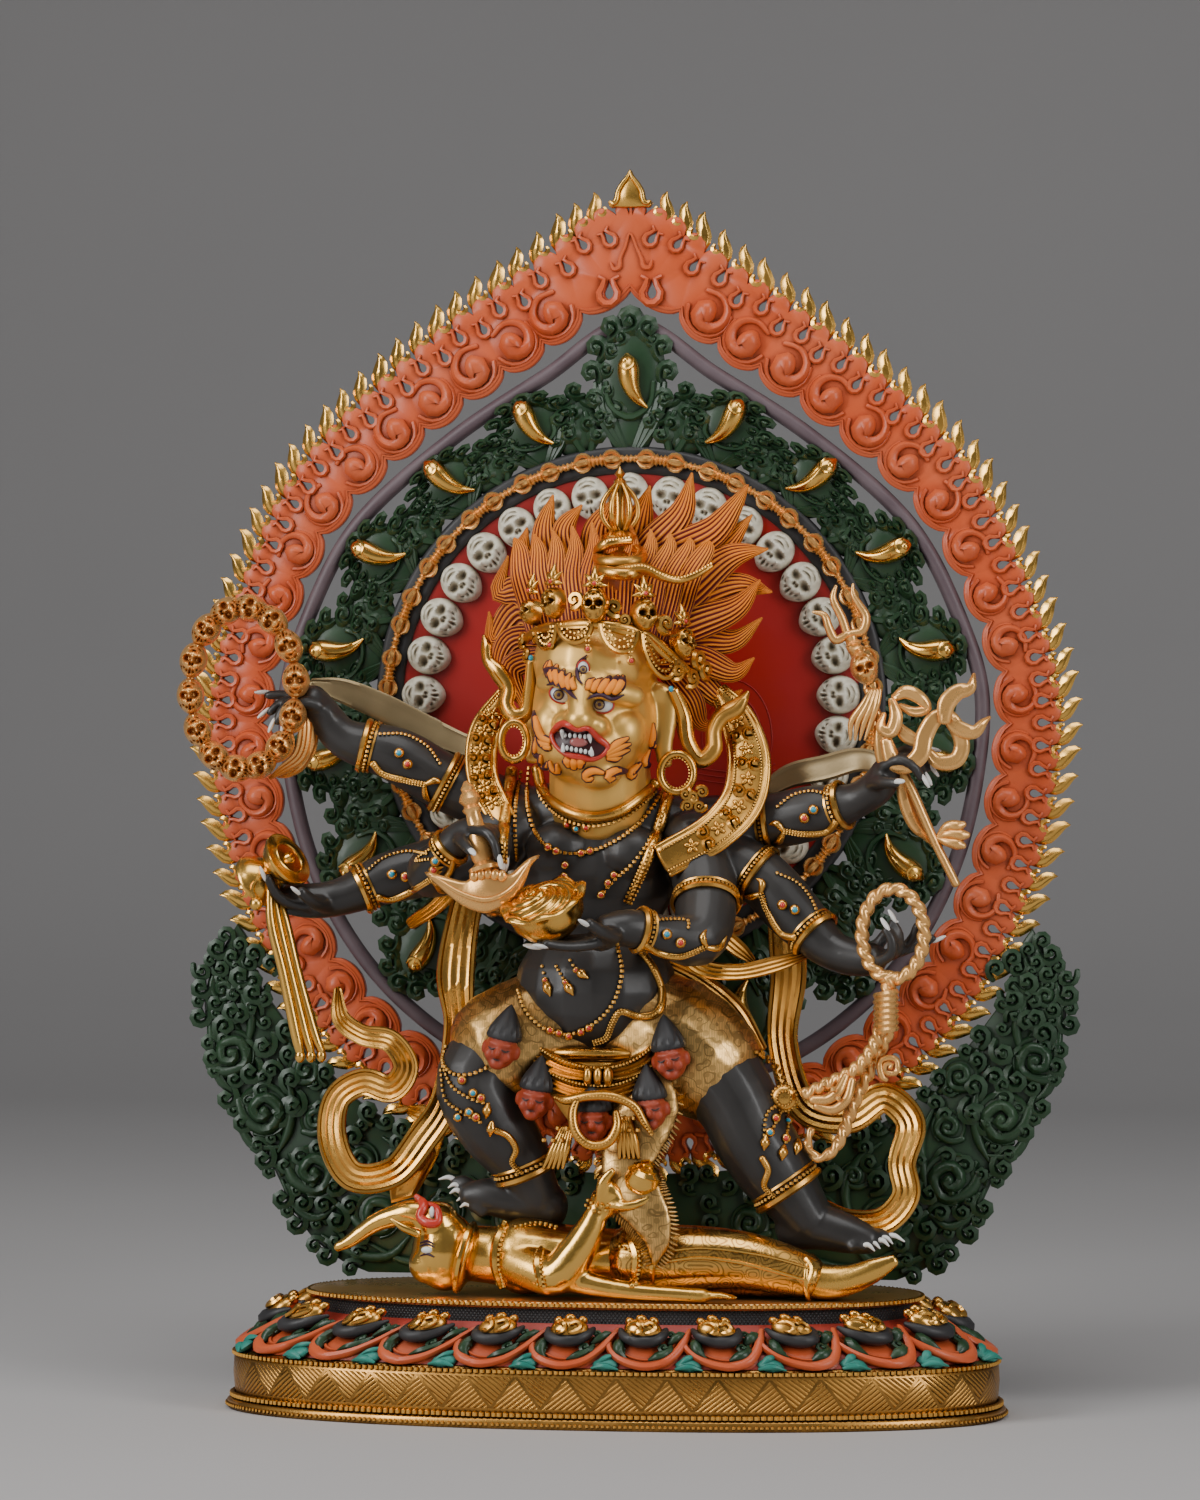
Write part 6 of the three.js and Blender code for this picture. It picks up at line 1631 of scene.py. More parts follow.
# %% The hide, as one skin
hanging_skin = at_depths([(622, 1078, -40, 24, 6), (642, 1108, -46, 19, 5), (634, 1140, -50, 15, 4.5),
    (626, 1168, -54, 13, 4), (636, 1195, -58, 13.5, 3.6), (650, 1218, -60, 11, 3.4),
    (657, 1240, -60, 7.5, 3), (654, 1264, -58, 1.6, 1.6)])
hide = fused([tube([(-8, -3, 192, 32), (-34, -13, 189, 32), (-58, -24, 181, 28)], 18, 12),
    tube([(0, -3, 192, 32), (32, -12, 186, 32), (54, -17, 171, 28)], 18, 12),
    tube(hanging_skin, 18, 30, **UPRIGHT)], 1.4, 6, 0.4)
x, y, z = hide.v.T
waves = 0.8 * np.sin(x * 0.3 + 2.2 * np.sin(z * 0.13)) + 0.3 * np.sin(z * 0.6 + 2.4 * np.sin(x * 0.12))
hide.v += unit(hide.v - (-4, -8, 180)) * waves[:, None] * 0.5
print(len(hide.v), "points on the hide")

# %% The engraved hide and its fringe
HIDE_GOLD = material("engraved hide", (0.90, 0.55, 0.19), (0.06, 0.03, 0.012), (0.62, 0.36, 0.11),
    gloss=(0.3, 0.5), shade_and_patina=(0.004, 1.5), patches=(50, 0.5), metallic=1)
tree = HIDE_GOLD.node_tree
do = partial(calc, tree)
place = tree.nodes.new("ShaderNodeTexCoord").outputs["Object"]
split = tree.nodes.new("ShaderNodeSeparateXYZ")
tree.links.new(place, split.inputs[0])
wander = tree.nodes.new("ShaderNodeTexNoise")
wander.inputs["Scale"].default_value = 55.0
tree.links.new(place, wander.inputs["Vector"])
drift = do("MULTIPLY", wander.outputs["Fac"], 4)
squares = [do("SINE", do("ADD", do("MULTIPLY", split.outputs[k], 900), drift)) for k in (0, 2)]
squares = do("GREATER_THAN", do("MULTIPLY", *squares), 0.30)
fur = do("SINE", do("ADD", do("MULTIPLY", split.outputs[0], 5200), do("MULTIPLY", drift, 6)))
fur = do("MULTIPLY", do("GREATER_THAN", fur, 0.2), 0.35)
flames = do("SINE", do("MULTIPLY_ADD", wander.outputs["Fac"], 60))
flames = do("MULTIPLY", do("GREATER_THAN", flames, 0.86), 0.9)
engraved(HIDE_GOLD, do("MAXIMUM", do("MAXIMUM", do("MULTIPLY", squares, 0.6), fur), flames), 0.0005, 0.6)
spike = tube([(0, 0, 0, 0.9), (0, 0, 2.2, 0.75), (0.4, 0, 4.2, 0.2)], 4, 4)
edge = smooth_line(hanging_skin, 64)[8:]
along, across, _ = across_line(edge, np.array([0, 1, 0]), True)
fringe = []
for s in (1, -1):
    way = unit(across * s + 0.6 * along)
    side = unit(np.cross(way, (0, 1, 0)))
    fringe.append(stamp(spike, edge[:, :3] + across * s * edge[:, 3:4] * 0.9,
        np.stack([side, np.cross(way, side), way], 1)))
piece("hide_skirt", [hide, *fringe], HIDE_GOLD, "gilding", "mahakala")

# %% Sections of sashes, and what is drawn in rows
RIBBON = np.array([[-1, 0], [-0.8, -0.48], [-0.52, -0.12], [-0.26, -0.52], [0, -0.15], [0.26, -0.52],
    [0.52, -0.12], [0.8, -0.48], [1, 0], [0.85, 0.6], [0, 0.7], [-0.85, 0.6]])
SASH = np.array([[-1, 0], [-0.8, -0.6], [-0.35, -1], [0.2, -0.75], [0.36, -0.95], [0.8, -0.6], [1, 0],
    [0.6, 0.6], [-0.6, 0.6]])


def drawn_tube(rows, sides=8, count=24):
    """A tube through drawn rows of u, v, depth and radius."""
    return tube(at_depths(rows), sides, count)


def drawn_ribbon(rows, count=30, thick=1.8, section=SASH):
    """A ribbon through drawn rows of u, v, depth and half width."""
    return sweep(at_depths([(u, v, y, w, thick) for u, v, y, w in rows]), section, count, **UPRIGHT)

# %% Belts, sash and tassels
back_tail = tube([(-7, 10, 190, 30, 14), (-8, 18, 165, 30, 8), (-6, 17, 142, 18, 5)], 12, 12)
belts = [wire_ring(hoop((-7, -11, z), (38, 0, 0), (0, 31, -3), 12), r, 8, 60)
    for z, r in ((178, 3), (172, 2.6))]
sash_front = [sweep(at_depths(rows), RIBBON, 24, **UPRIGHT) for rows in (
    [(530, 1044, -38, 4, 3), (544, 1059, -45, 5, 3.2), (564, 1069, -49, 5, 3.2), (588, 1074, -52, 4, 3)],
    [(660, 1044, -38, 4, 3), (648, 1059, -45, 5, 3.2), (628, 1069, -49, 5, 3.2), (604, 1074, -52, 4, 3)],
    [(546, 1078, -46, 4, 3), (574, 1089, -51, 4.5, 3.2), (604, 1091, -53, 4.5, 3.2),
        (638, 1082, -48, 4, 3)])]
knots = [ball(at_depth(u, 1076, -54), (2.6, 3.6, 5.2), 14, 8) for u in (588, 598, 608)]
fur_rows = [beads(at_depths([(u, v - d, y) for u, v, y in ((530, 1044, -38), (544, 1060, -46),
        (564, 1070, -51), (588, 1076, -54), (612, 1076, -54), (632, 1070, -50), (650, 1058, -45),
        (660, 1044, -38))]), 0.9)
    for d in (9, -9)]
loop_snake = (
    [(556, 1097, -56, 1.6), (566, 1100, -60, 2.4), (590, 1096, -62, 2.6), (614, 1097, -62, 2.6),
        (634, 1106, -60, 2.4), (644, 1122, -60, 2), (652, 1134, -58, 1)],
    [(578, 1098, -62, 1.6), (573, 1112, -63, 2.4), (576, 1132, -64, 2.6), (590, 1145, -64, 2.6),
        (608, 1142, -64, 2.6), (617, 1126, -63, 2.4), (616, 1112, -62, 1.6)])
snakes = [drawn_tube(rows, 8, 40) for rows in loop_snake]
snakes += [beads(at_depths(rows) - (0, 2.2, 0, 0), 0.8) for rows in loop_snake]
tassels = []
for u, v, y, lean in ((567, 1128, -55, -14), (625, 1118, -55, 4)):
    tassels += [drawn_tube([(u + 2.2 * k, v, y, 1.2), (u + 3.4 * k + lean * 0.5, v + 20, y - 2, 1.9),
            (u + 4.8 * k + lean, v + 40, y - 2, 0.8)], 7, 10)
        for k in (-2, -1, 0, 1, 2)]
    tassels += [beads(at_depths([(u - 9 + d * lean, v + 12 * d, y - 4),
        (u + 9 + d * lean, v + 12 * d, y - 4)]), 1.4) for d in (0, 1)]
piece("tails_and_belt", [back_tail, *belts, *sash_front, *knots, *fur_rows, *snakes, *tassels], GOLD,
    "gilding", "mahakala")

# %% Shawl behind the shoulders
SHAWLS = [
    [(30, -34, 276, 8), (54, -26, 290, 9), (67, -16, 306, 10), (69, -8, 326, 10), (62, 0, 346, 8),
        (52, 4, 360, 4)],
    [(-52, -26, 296, 6), (-64, -16, 318, 7), (-64, -8, 340, 7), (-55, 0, 358, 4)]]
shawls = [sweep([(x, y, z, r, 2.2) for x, y, z, r in rows], CIRCLE[12], 30, face=(0, -1, 0), fixed=True)
    for rows in SHAWLS]
shawl_rims, shawl_beads, shawl_flowers = [], [], []
for rows in SHAWLS:
    line = smooth_line(rows, 30)
    _, across, out = across_line(line, np.array([0, -1, 0]), True)
    for s in (1, -1):
        edge_line = line[:, :3] + across * line[:, 3:] * s * 0.95
        shawl_rims.append(tube(np.c_[edge_line, np.full(30, 1.5)], 7, 40))
        shawl_beads.append(beads(line[:, :3] + across * line[:, 3:] * s * 0.66 + out * 2, 0.75))
    for k in range(4, 27, 4):
        axes = np.stack([across[k], np.cross(out[k], across[k]), out[k]]) * 1.1
        shawl_flowers.append(stamp(flower, [line[k, :3] + out[k] * 2.4], axes))
        shawl_flowers.append(ball(line[k, :3] + out[k] * 3.2, 0.9, 8, 6))
    for k in range(6, 26, 4):
        for s in (1, -1):
            axes = np.stack([across[k] * s, np.cross(out[k], across[k] * s), out[k]]) * 0.8
            shawl_flowers.append(stamp(snail, [line[k, :3] + across[k] * 3.2 * s + out[k] * 1.4], axes))
piece("shawl", [*shawls, *shawl_rims, *shawl_beads, *shawl_flowers], GOLD, "gilding", "mahakala")

# %% Scarves at the sides
SCARVES = {
    "right_scarf": [(-60, 16, 290, 6.5), (-73, 17, 268, 6.5), (-80, 15.5, 242, 7.5), (-83, 14, 216, 8.5),
        (-81, 11, 194, 6.5), (-84, 6, 170, 5.5), (-88, 3, 150, 6.5), (-97, 0, 136, 7),
        (-112, -4, 118, 6.5), (-132, -5, 116, 6.5), (-143, -2, 134, 6.5), (-141, 1, 155, 6),
        (-128, 2, 163, 6), (-113, -1, 160, 6), (-105, -3, 171, 5.5), (-113, -3, 184, 5),
        (-128, -1, 187, 4.5), (-139, 0, 195, 4), (-141, 1, 210, 1.5)],
    "left_scarf": [(48, 17, 282, 7), (78, 18, 262, 7), (86, 15, 222, 8), (84, 10, 184, 6.5),
        (96, 6, 152, 7), (118, 3, 148, 7), (136, 1, 158, 6.5), (149, 0, 146, 6.5), (145, -2, 126, 6),
        (147, -2, 110, 6), (136, -1, 97, 6), (118, 0, 96, 5.5), (104, 2, 104, 3)],
}
for name, rows in SCARVES.items():
    line = [(x, y, z, r, 1.2 + 0.2 * r) for x, y, z, r in rows]
    folded = sweep(line, RIBBON, 7 * len(rows), **UPRIGHT)
    borders = []
    path = smooth_line(rows, 120)
    _, across, out = across_line(path, np.array([0, -1, 0]), True)
    for s in (1, -1):
        border = path[:, :3] + across * path[:, 3:] * s - (0, 0.6, 0)
        borders.append(tube(np.c_[border, 0.35 + 0.12 * path[:, 3]], 6, 160))
    piece(name, [folded, *borders], GOLD, "gilding", name)

# %% [markdown]
# ## The garland of heads, the trampled figure and the implements
# Five terracotta heads with calm closed eyes hang at the hips on a cord of beads. The trampled
# figure lies gilt and polished on the plinth, with its trunk curled up and a fruit in its hand.

# %% Garland of heads
GARLAND = [(-48.5, -50, 184), (-32, -48, 159), (-2, -52, 149), (26, -50, 155), (35.5, -48, 179.5)]
calm_head = fused([ball((0, 0, -0.5), (7.8, 7.6, 9.8)), ball((0, -7, -2.2), (1.9, 2.6, 2.4)),
    ball((0, -3.8, -7.4), (4, 3.6, 3)), ball((-3.9, -5, -3.4), (2.9, 2.4, 2.9)),
    ball((3.9, -5, -3.4), (2.9, 2.4, 2.9)),
    tube([(-5, -5.6, 2.2, 1), (0, -7.2, 1.6, 1.1), (5, -5.6, 2.2, 1)], 8, 8),
    ball((-8, 0.5, -1), (1.5, 2.2, 3.4)), ball((8, 0.5, -1), (1.5, 2.2, 3.4))], 0.7, 3)
calm_lines = merge([tube([(s * 1.6, -7.5, -0.2, 0.2), (s * 3.4, -7.5, -0.9, 0.36),
        (s * 5.2, -6.3, -0.1, 0.2)], 5, 8) for s in (1, -1)]
    + [tube([(-1.8, -7, -5.2, 0.15), (0, -7.5, -5.5, 0.34), (1.8, -7, -5.2, 0.15)], 5, 8)])
cone_ring = CIRCLE[36] * (1 + 0.04 * np.cos(np.arange(36) * np.pi))[:, None]
cone_rows = [(7.6, 4.2), (8.3, 5.2), (7.8, 8), (6.6, 11), (5, 14), (3.4, 16.8), (1.8, 19.2), (0.6, 20.6)]
cone = skin(np.array([np.c_[cone_ring * r + (0, 0.4 + 0.1 * h), np.full(36, h)] for r, h in cone_rows]),
    poles=[(0, 0.7, 4.2), (0, 2.4, 21.2)])
places = np.array(GARLAND, float)
axes = np.array([rotation((0, turn, 0)).T for turn in (0.22, 0.16, 0, -0.12, -0.18)]) * 1.04
piece("garland_heads", stamp(calm_head, places, axes), HEAD_RED, "head_red", "mahakala")
piece("garland_hair", [stamp(cone, places, axes), stamp(calm_lines, places, axes)], RIM_BLACK,
    "body_black", "mahakala")

# %% The lying figure, its legs and feet
lying = fused([
    ball((-79, -37, 82), (17, 16, 20)), ball((-83, -39, 96), (12, 12, 11)),
    ball((-88, -40, 76), (9, 10, 10)),
    tube([(-84, -40, 98, 9), (-95, -41, 101, 7), (-105, -41, 99, 5.6), (-113, -41, 96, 4.8),
        (-120, -41, 91.5, 4.2), (-126, -41, 87, 3.6), (-133, -41, 83.5, 2.6)], 14, 24),
    tube([(-66, -35, 81, 14), (-52, -35, 80, 15), (-42, -36, 80, 19), (-20, -33, 79, 17),
        (4, -32, 78, 16), (24, -32, 78, 17)], 20, 30),
    tube([(-42, -46, 78, 11), (-32, -52, 75, 10.5), (-20, -57, 73, 10.5), (-10, -57, 84, 9.5),
        (-3, -57, 96, 7.5), (0, -57, 103, 6)], 14, 20),
    tube([(0, -57, 103, 6, 5), (5, -57, 110, 8, 5), (10, -58, 114, 8, 5)], 12, 10, **UPRIGHT),
    tube([(-14, -55, 71, 7), (4, -58, 67.5, 5.5), (22, -60, 65.5, 4.6), (44, -61, 64.6, 3.8),
        (54, -61, 64, 4)], 12, 20),
    *[tube([(8, -60 + 2 * k, 108 - 1.5 * k, 2.9), (18, -62 + 3 * k, 108 - k, 2.6),
        (27, -60 + 4 * k, 112 + k, 2.3), (30, -57 + 4 * k, 118 + k, 1.6)], 8, 10) for k in range(3)],
    tube([(3, -60, 111, 3.4), (4, -62, 119, 2.9), (9, -62, 125, 2.2)], 8, 8),
    *[tube([(52, -61, 64, 2.4), (62, -61 - 1.6 * k, 64.5, 1.9),
        (70 - 2 * abs(k), -61 - 3 * k, 63.6, 1.3)], 6, 7) for k in (-1, 0, 1)]], 1.1, 6, 0.4)
legs_down = fused([
    tube([(14, -34, 79, 18), (34, -38, 80, 17), (54, -40, 81, 15.5), (72, -40, 80, 14), (90, -39, 76, 12.5),
        (103, -38, 72, 11)], 18, 24),
    tube([(14, -28, 76, 15), (40, -28, 74, 13), (70, -30, 71, 11), (92, -33, 69, 9)], 16, 20)], 1.1, 4, 0.4)
feet_down = fused([
    tube([(100, -38, 71, 9, 8), (112, -38, 69.5, 9, 7.5), (124, -40, 71.5, 7.5, 6), (136, -42, 76.5, 6, 4),
        (146, -43, 81.5, 3, 2)], 14, 20, **UPRIGHT),
    tube([(88, -33, 69, 8), (104, -30, 66.5, 6.5), (120, -30, 68, 5), (134, -32, 74, 3)], 12, 16)],
    1.1, 4, 0.4)
for part in (lying, legs_down, feet_down):
    part.v[:, 2] = np.maximum(part.v[:, 2], 61)
print(len(lying.v) + len(legs_down.v) + len(feet_down.v), "points on the lying figure")

# %% Ear, fruit, beads and folds of the lying figure
ear_disc = ball((-67, -46, 80), (5.2, 14.6, 16.8), 20, 12, (0, 0.26, 0))
ear_edge = wire_ring(hoop((-67.5, -46, 80), (0, 14.6, 0), (3.96, 0, 16.5)), 1.7, 6, 32)
tusk = tube([(-90, -52, 92, 2.4), (-97, -54, 95, 2), (-103, -54, 99, 0.8)], 8, 10)
fruit = turned([(0, -8.5), (4.5, -7.6), (8.2, -4), (9.4, 0), (8.6, 3.4), (9, 4.4), (6.4, 6.4), (6.8, 7.2),
    (3.6, 8.6), (3.8, 9.4), (0, 11.5)], 20, place=(23, -56, 120), axis=(0.35, -0.25, 1))
surface = tree_of(lying, legs_down)
bands = [beads(laid(surface, rows, 1, 40, -50), 1.1) for rows in (
    [(500, 1226), (494, 1244), (493, 1264), (498, 1284)],
    [(505, 1228), (500, 1246), (499, 1264), (504, 1286)], [(516, 1226), (538, 1222), (556, 1226)],
    [(538, 1250), (534, 1262), (538, 1284)], [(543, 1249), (540, 1262), (544, 1286)],
    [(632, 1240), (640, 1256), (636, 1284)], [(620, 1246), (632, 1250), (644, 1244)],
    [(586, 1205), (596, 1212), (606, 1210)], [(588, 1200), (598, 1206), (608, 1205)])]
folds = [tube(laid(surface, rows, 0.2, 16), 6, 20) for rows in (
    [(505, 1222, 1.6), (496, 1244, 2.4), (495, 1266, 2.4), (501, 1287, 1.4)],
    [(541, 1248, 1.4), (537, 1262, 2.2), (541, 1286, 1.4)],
    [(628, 1236, 1.6), (636, 1256, 2.4), (632, 1286, 1.6)],
    [(636, 1240, 1.2), (650, 1256, 1.8), (652, 1284, 1.2)])]
hems = [tube(laid(surface, rows, 0.3, 40), 6, 60) for rows in (
    [(660, 1262, 0.9), (700, 1258, 0.9), (736, 1262, 0.9), (770, 1270, 0.9), (812, 1282, 0.9)],
    [(660, 1252, 0.7), (700, 1248, 0.7), (736, 1251, 0.7), (774, 1258, 0.7), (816, 1270, 0.7)],
    [(806, 1258, 1.2), (812, 1268, 1.4), (808, 1284, 1.2)])]
anklet = wire_ring(hoop((104, -38, 71.5), (1.5, 10.6, 0), (0, 0, 10.6)), 1.5, 7, 32)
print(len(bands), "rows of beads,", len(folds) + len(hems), "folds and hems")

# %% Engraved trousers, mouth and eye
TROUSERS = material("engraved trousers", (0.93, 0.52, 0.13), GOLD_DARK, (0.7, 0.36, 0.08),
    gloss=(0.2, 0.42), shade_and_patina=(0.004, 1.4), patches=(40, 0.4), metallic=1)
tree = TROUSERS.node_tree
do = partial(calc, tree)
place = tree.nodes.new("ShaderNodeTexCoord").outputs["Object"]
wander = tree.nodes.new("ShaderNodeTexNoise")
wander.inputs["Scale"].default_value = 130.0
wander.inputs["Detail"].default_value = 0.0
tree.links.new(place, wander.inputs["Vector"])
scrolls = do("ABSOLUTE", do("SINE", do("MULTIPLY", wander.outputs["Fac"], 26)))
engraved(TROUSERS, do("GREATER_THAN", scrolls, 0.86), 0.0004, 0.55)
piece("trampled_trousers", legs_down, TROUSERS, "gilding", "trampled_figure")
piece("trampled_figure", [lying, feet_down, ear_disc, ear_edge, tusk, *bands, *folds, *hems, anklet],
    GOLD_BRIGHT, "gilding", "trampled_figure")
piece("trampled_fruit", fruit, GOLD_BRIGHT, "gilding", "trampled_figure")
mouth_ribbon = tube(laid(surface, [(416, 1196, 1.4), (424, 1205, 2.6), (420, 1216, 2.4), (428, 1223, 2.6),
    (438, 1222, 2.2), (436, 1208, 2), (426, 1203, 1.2)], 0.8, 24), 8, 36)
small_eye = [ball(laid(surface, [(427, 1250)], 0.4)[0], (3, 1.4, 1.8), 12, 8),
    ball(laid(surface, [(432, 1212)], 1.6)[0], (1.4, 1.4, 3), 8, 6)]
brows_down = [tube(laid(surface, [(420, v, 0.3), (427, v - 2, 0.7), (434, v + 1, 0.3)], 0.3, 10), 5, 12)
    for v in (1243, 1246, 1256)]
piece("trampled_mouth", mouth_ribbon, LIPS, "halo_red", "trampled_figure")
piece("trampled_eye", small_eye, WHITE, "bone_white", "trampled_figure")
piece("trampled_lines", brows_down, DRAWN, "body_black", "trampled_figure")

# %% What the hands hold: rosary and drum
ROSARY = 14
rosary_at = at_depths(hoop((243, 688, -22), (53, 0, 0), (0, -81, 0), ROSARY, 0.1))
spoke = unit(rosary_at - rosary_at.mean(0))
brow = unit(np.roll(rosary_at, 1, 0) - np.roll(rosary_at, -1, 0))
relief = np.stack([np.cross(brow, BACKWARD), brow, np.broadcast_to(BACKWARD, (ROSARY, 3))], 1)
relief_size = np.array([6.9, 8, 9])[:, None]
rosary_links = wire_ring(rosary_at, 2, 8, 90)
rosary_backs = stamp(ball((0, 0, -0.2), (0.98, 1, 0.8), 14, 8), rosary_at, relief * relief_size)
rosary_tails = [drawn_ribbon(rows, 30, 1.6, RIBBON) for rows in (
    [(304, 700, -14, 3), (306, 730, -14, 4), (300, 756, -14, 4), (282, 770, -14, 2.5), (270, 778, -14, 1)],
    [(306, 700, -10, 2), (312, 736, -10, 3.5), (302, 762, -10, 3.5), (288, 774, -10, 2),
        (278, 776, -10, 1)])]
piece("skull_rosary", [stamp(carved_skull, rosary_at, relief * relief_size), rosary_backs, rosary_links,
    *rosary_tails], COPPER_GOLD, "gilding", "skull_rosary")

drum_from, drum_to = np.array([-177, -27, 264]), np.array([-158, -36, 277])
half_drum = [(0, 0.4), (2.2, 0.2), (2.4, -1.4), (3.2, 0.6), (8, 0.9), (8.4, 0.3), (9, 0.9), (13.2, 0.8),
    (14.4, 1.2), (14.6, 2.4), (13.9, 3.2), (13.2, 5), (11, 8.4), (7.6, 11), (5.4, 12.2)]
DRUM_LENGTH = 25.6
drum_profile = half_drum + [(6.2, DRUM_LENGTH / 2)] + [(r, DRUM_LENGTH - h) for r, h in half_drum[::-1]]
drum_middle, drum_way = (drum_from + drum_to) / 2, unit(drum_to - drum_from)
drum = turned(drum_profile, 36, drum_middle - drum_way * DRUM_LENGTH / 2, drum_way)
drum_tails = [tube([(-168, -34 + d, 268, 1.6), (-164 + d, -36 + d, 246, 2.4), (-158 + d, -35 + d, 220, 2.6),
    (-150 + 1.4 * d, -33 + d, 186, 2.8), (-148 + 1.6 * d, -33 + d, 180, 2.2)], 8, 20) for d in (-3, 0, 3)]
drum_tail_knots = [ball((-148 + 1.6 * d, -33 + d, 178), (2.6, 2.6, 3.4), 10, 8) for d in (-3, 0, 3)]
strikers = [tube([(-169, -35, 272, 1.2), (-176, -41, 262, 1.2), (-174, -41, 256, 1.2)], 6, 9),
    ball((-174, -41, 254), 3.4)]
piece("hand_drum", [drum, *drum_tails, *drum_tail_knots, *strikers], GOLD_BRIGHT,
    "gilding", "hand_drum")

# %% Knife and cup
BLADE = [(425, 872), (440, 875), (454, 879), (466, 881), (474, 875), (480, 870), (492, 869), (504, 874),
    (512, 873), (521, 865), (530, 858), (540, 855), (531, 866), (525, 882), (515, 898), (501, 908),
    (486, 913), (470, 909), (455, 900), (440, 887)]
blade_line = smooth_line(np.c_[[at_depth(u, v, -69) for u, v in BLADE]], 100, closed=True)
blade = pierced([blade_line[:, [0, 2]]], -72.2, -66.2, 1.6)
ridge = drawn_tube([(432, 876, -72, 0.8), (462, 894, -72.6, 1.3), (488, 900, -72.8, 1.4),
    (512, 888, -72.4, 1.2), (530, 862, -72, 0.7)], 7, 30)
knife_foot, knife_top = at_depth(486, 872, -69), at_depth(466, 782, -60)
grip = turned([(0, 0), (8, 0.4), (8.4, 2.2), (6, 3.6), (4.6, 5), (5.4, 7), (6.2, 12), (5.6, 18), (4.2, 24),
        (3.6, 30), (5, 32), (3.4, 34), (5.6, 37), (4.4, 40), (3, 41.5), (3.6, 43), (1.2, 46.5), (0, 47)],
    20, knife_foot, knife_top - knife_foot)
collar = [ball(at_depth(474 + 7 * k, 873 + 1.4 * abs(k - 2), -72), (2.4, 2, 3), 10, 8) for k in range(5)]
piece("flaying_knife", [blade, ridge, grip, *collar], COPPER_GOLD, "gilding", "flaying_knife")

cup_turn = (0.42, -0.28, 0)
wave = 1 + 0.035 * np.sin(np.arange(64) * 2 * np.pi * 7 / 64)
cup_rows = [(0, -18.5), (4, -18.2), (9, -16.6), (14, -13), (17.6, -7.5), (19, -1.5), (19.6, 0.4),
    (21.4, 1), (21.8, 2.6), (20.6, 3.6), (18.2, 3.2), (16, 2)]
cup_rings = np.array(
    [np.c_[CIRCLE[64] * (r * (wave[:, None] if h > 0 else 1)), np.full(64, h) + (wave - 1) * 30 * (h > 0)]
        for r, h in cup_rows[1:]])
bowl_part = skin(cup_rings, poles=[(0, 0, -18.5), (0, 0, 4)])
swirls = [tube([(r * math.cos(a), r * math.sin(a), h, w) for r, a, h, w in
        zip(np.linspace(reach, reach * 0.25, 7), np.linspace(start, start + turn, 7),
        np.linspace(3, top * 0.62, 7), (1, 1.8, 2.2, 2.2, 2, 1.7, 0.9))], 7, 22)
    for start, turn, reach, top in ((0, 2.4, 17, 11), (0.8, 2.4, 17, 12), (1.7, 2.2, 17, 11),
        (2.5, 2.4, 17, 12), (3.3, 2.2, 17, 11), (4.1, 2.4, 17, 12), (4.9, 2.2, 17, 11), (5.6, 2.3, 17, 12),
        (0.4, 2.8, 11, 13), (2.6, 2.8, 11, 14), (4.6, 2.8, 11, 13))]
heap = ball((0, 0, 2), (17, 17, 5.4), 24, 10)
cup_place = (-22, -78, 255.5)
piece("skull_cup", [moved(p, cup_place, cup_turn) for p in (bowl_part, heap, *swirls)], GOLD_BRIGHT,
    "gilding", "skull_cup")

# %% The trident
trident = [
    drawn_tube([(868, 690, -19, 2.2), (890, 745, -19, 2.3), (912, 790, -19, 2.3), (934, 840, -18, 2.3),
        (956, 884, -18, 2.2)], 10),
    drawn_tube([(857, 660, -19, 2.4), (850, 642, -19, 2.2), (842, 618, -19, 2.2), (833, 598, -19, 1.8),
        (836, 586, -19, 0.8)]),
    drawn_tube([(848, 634, -20, 2), (836, 640, -20, 2.3), (829, 628, -20, 2.2), (824, 615, -20, 1.7),
        (813, 612, -20, 0.7)]),
    drawn_tube([(849, 634, -20, 2), (862, 631, -20, 2.3), (866, 617, -20, 2.2), (858, 603, -20, 1.9),
        (853, 594, -20, 1.4), (853, 584, -20, 0.6)]),
    drawn_tube([(853, 646, -21, 3.6), (856, 653, -21, 3)], 10, 6)]
size = 6.8
centre = at_depth(865, 668, -21)
impaled = [ball(centre, (size * 0.86, size * 0.86, size * 1.1), 14, 10),
    stamp(small_skull, centre - (0, 2.5, 0), facing(size, size * 1.12, 7, 0.35)),
    turned([(0, 0), (3.4, 0.6), (4.2, 2.4), (3.2, 4), (4.6, 5.4), (2.6, 7), (3, 9), (0, 10)], 14,
        at_depth(858, 654, -21), (-0.4, 0, 1))]
print(len(trident), "parts of the shaft and its prongs")

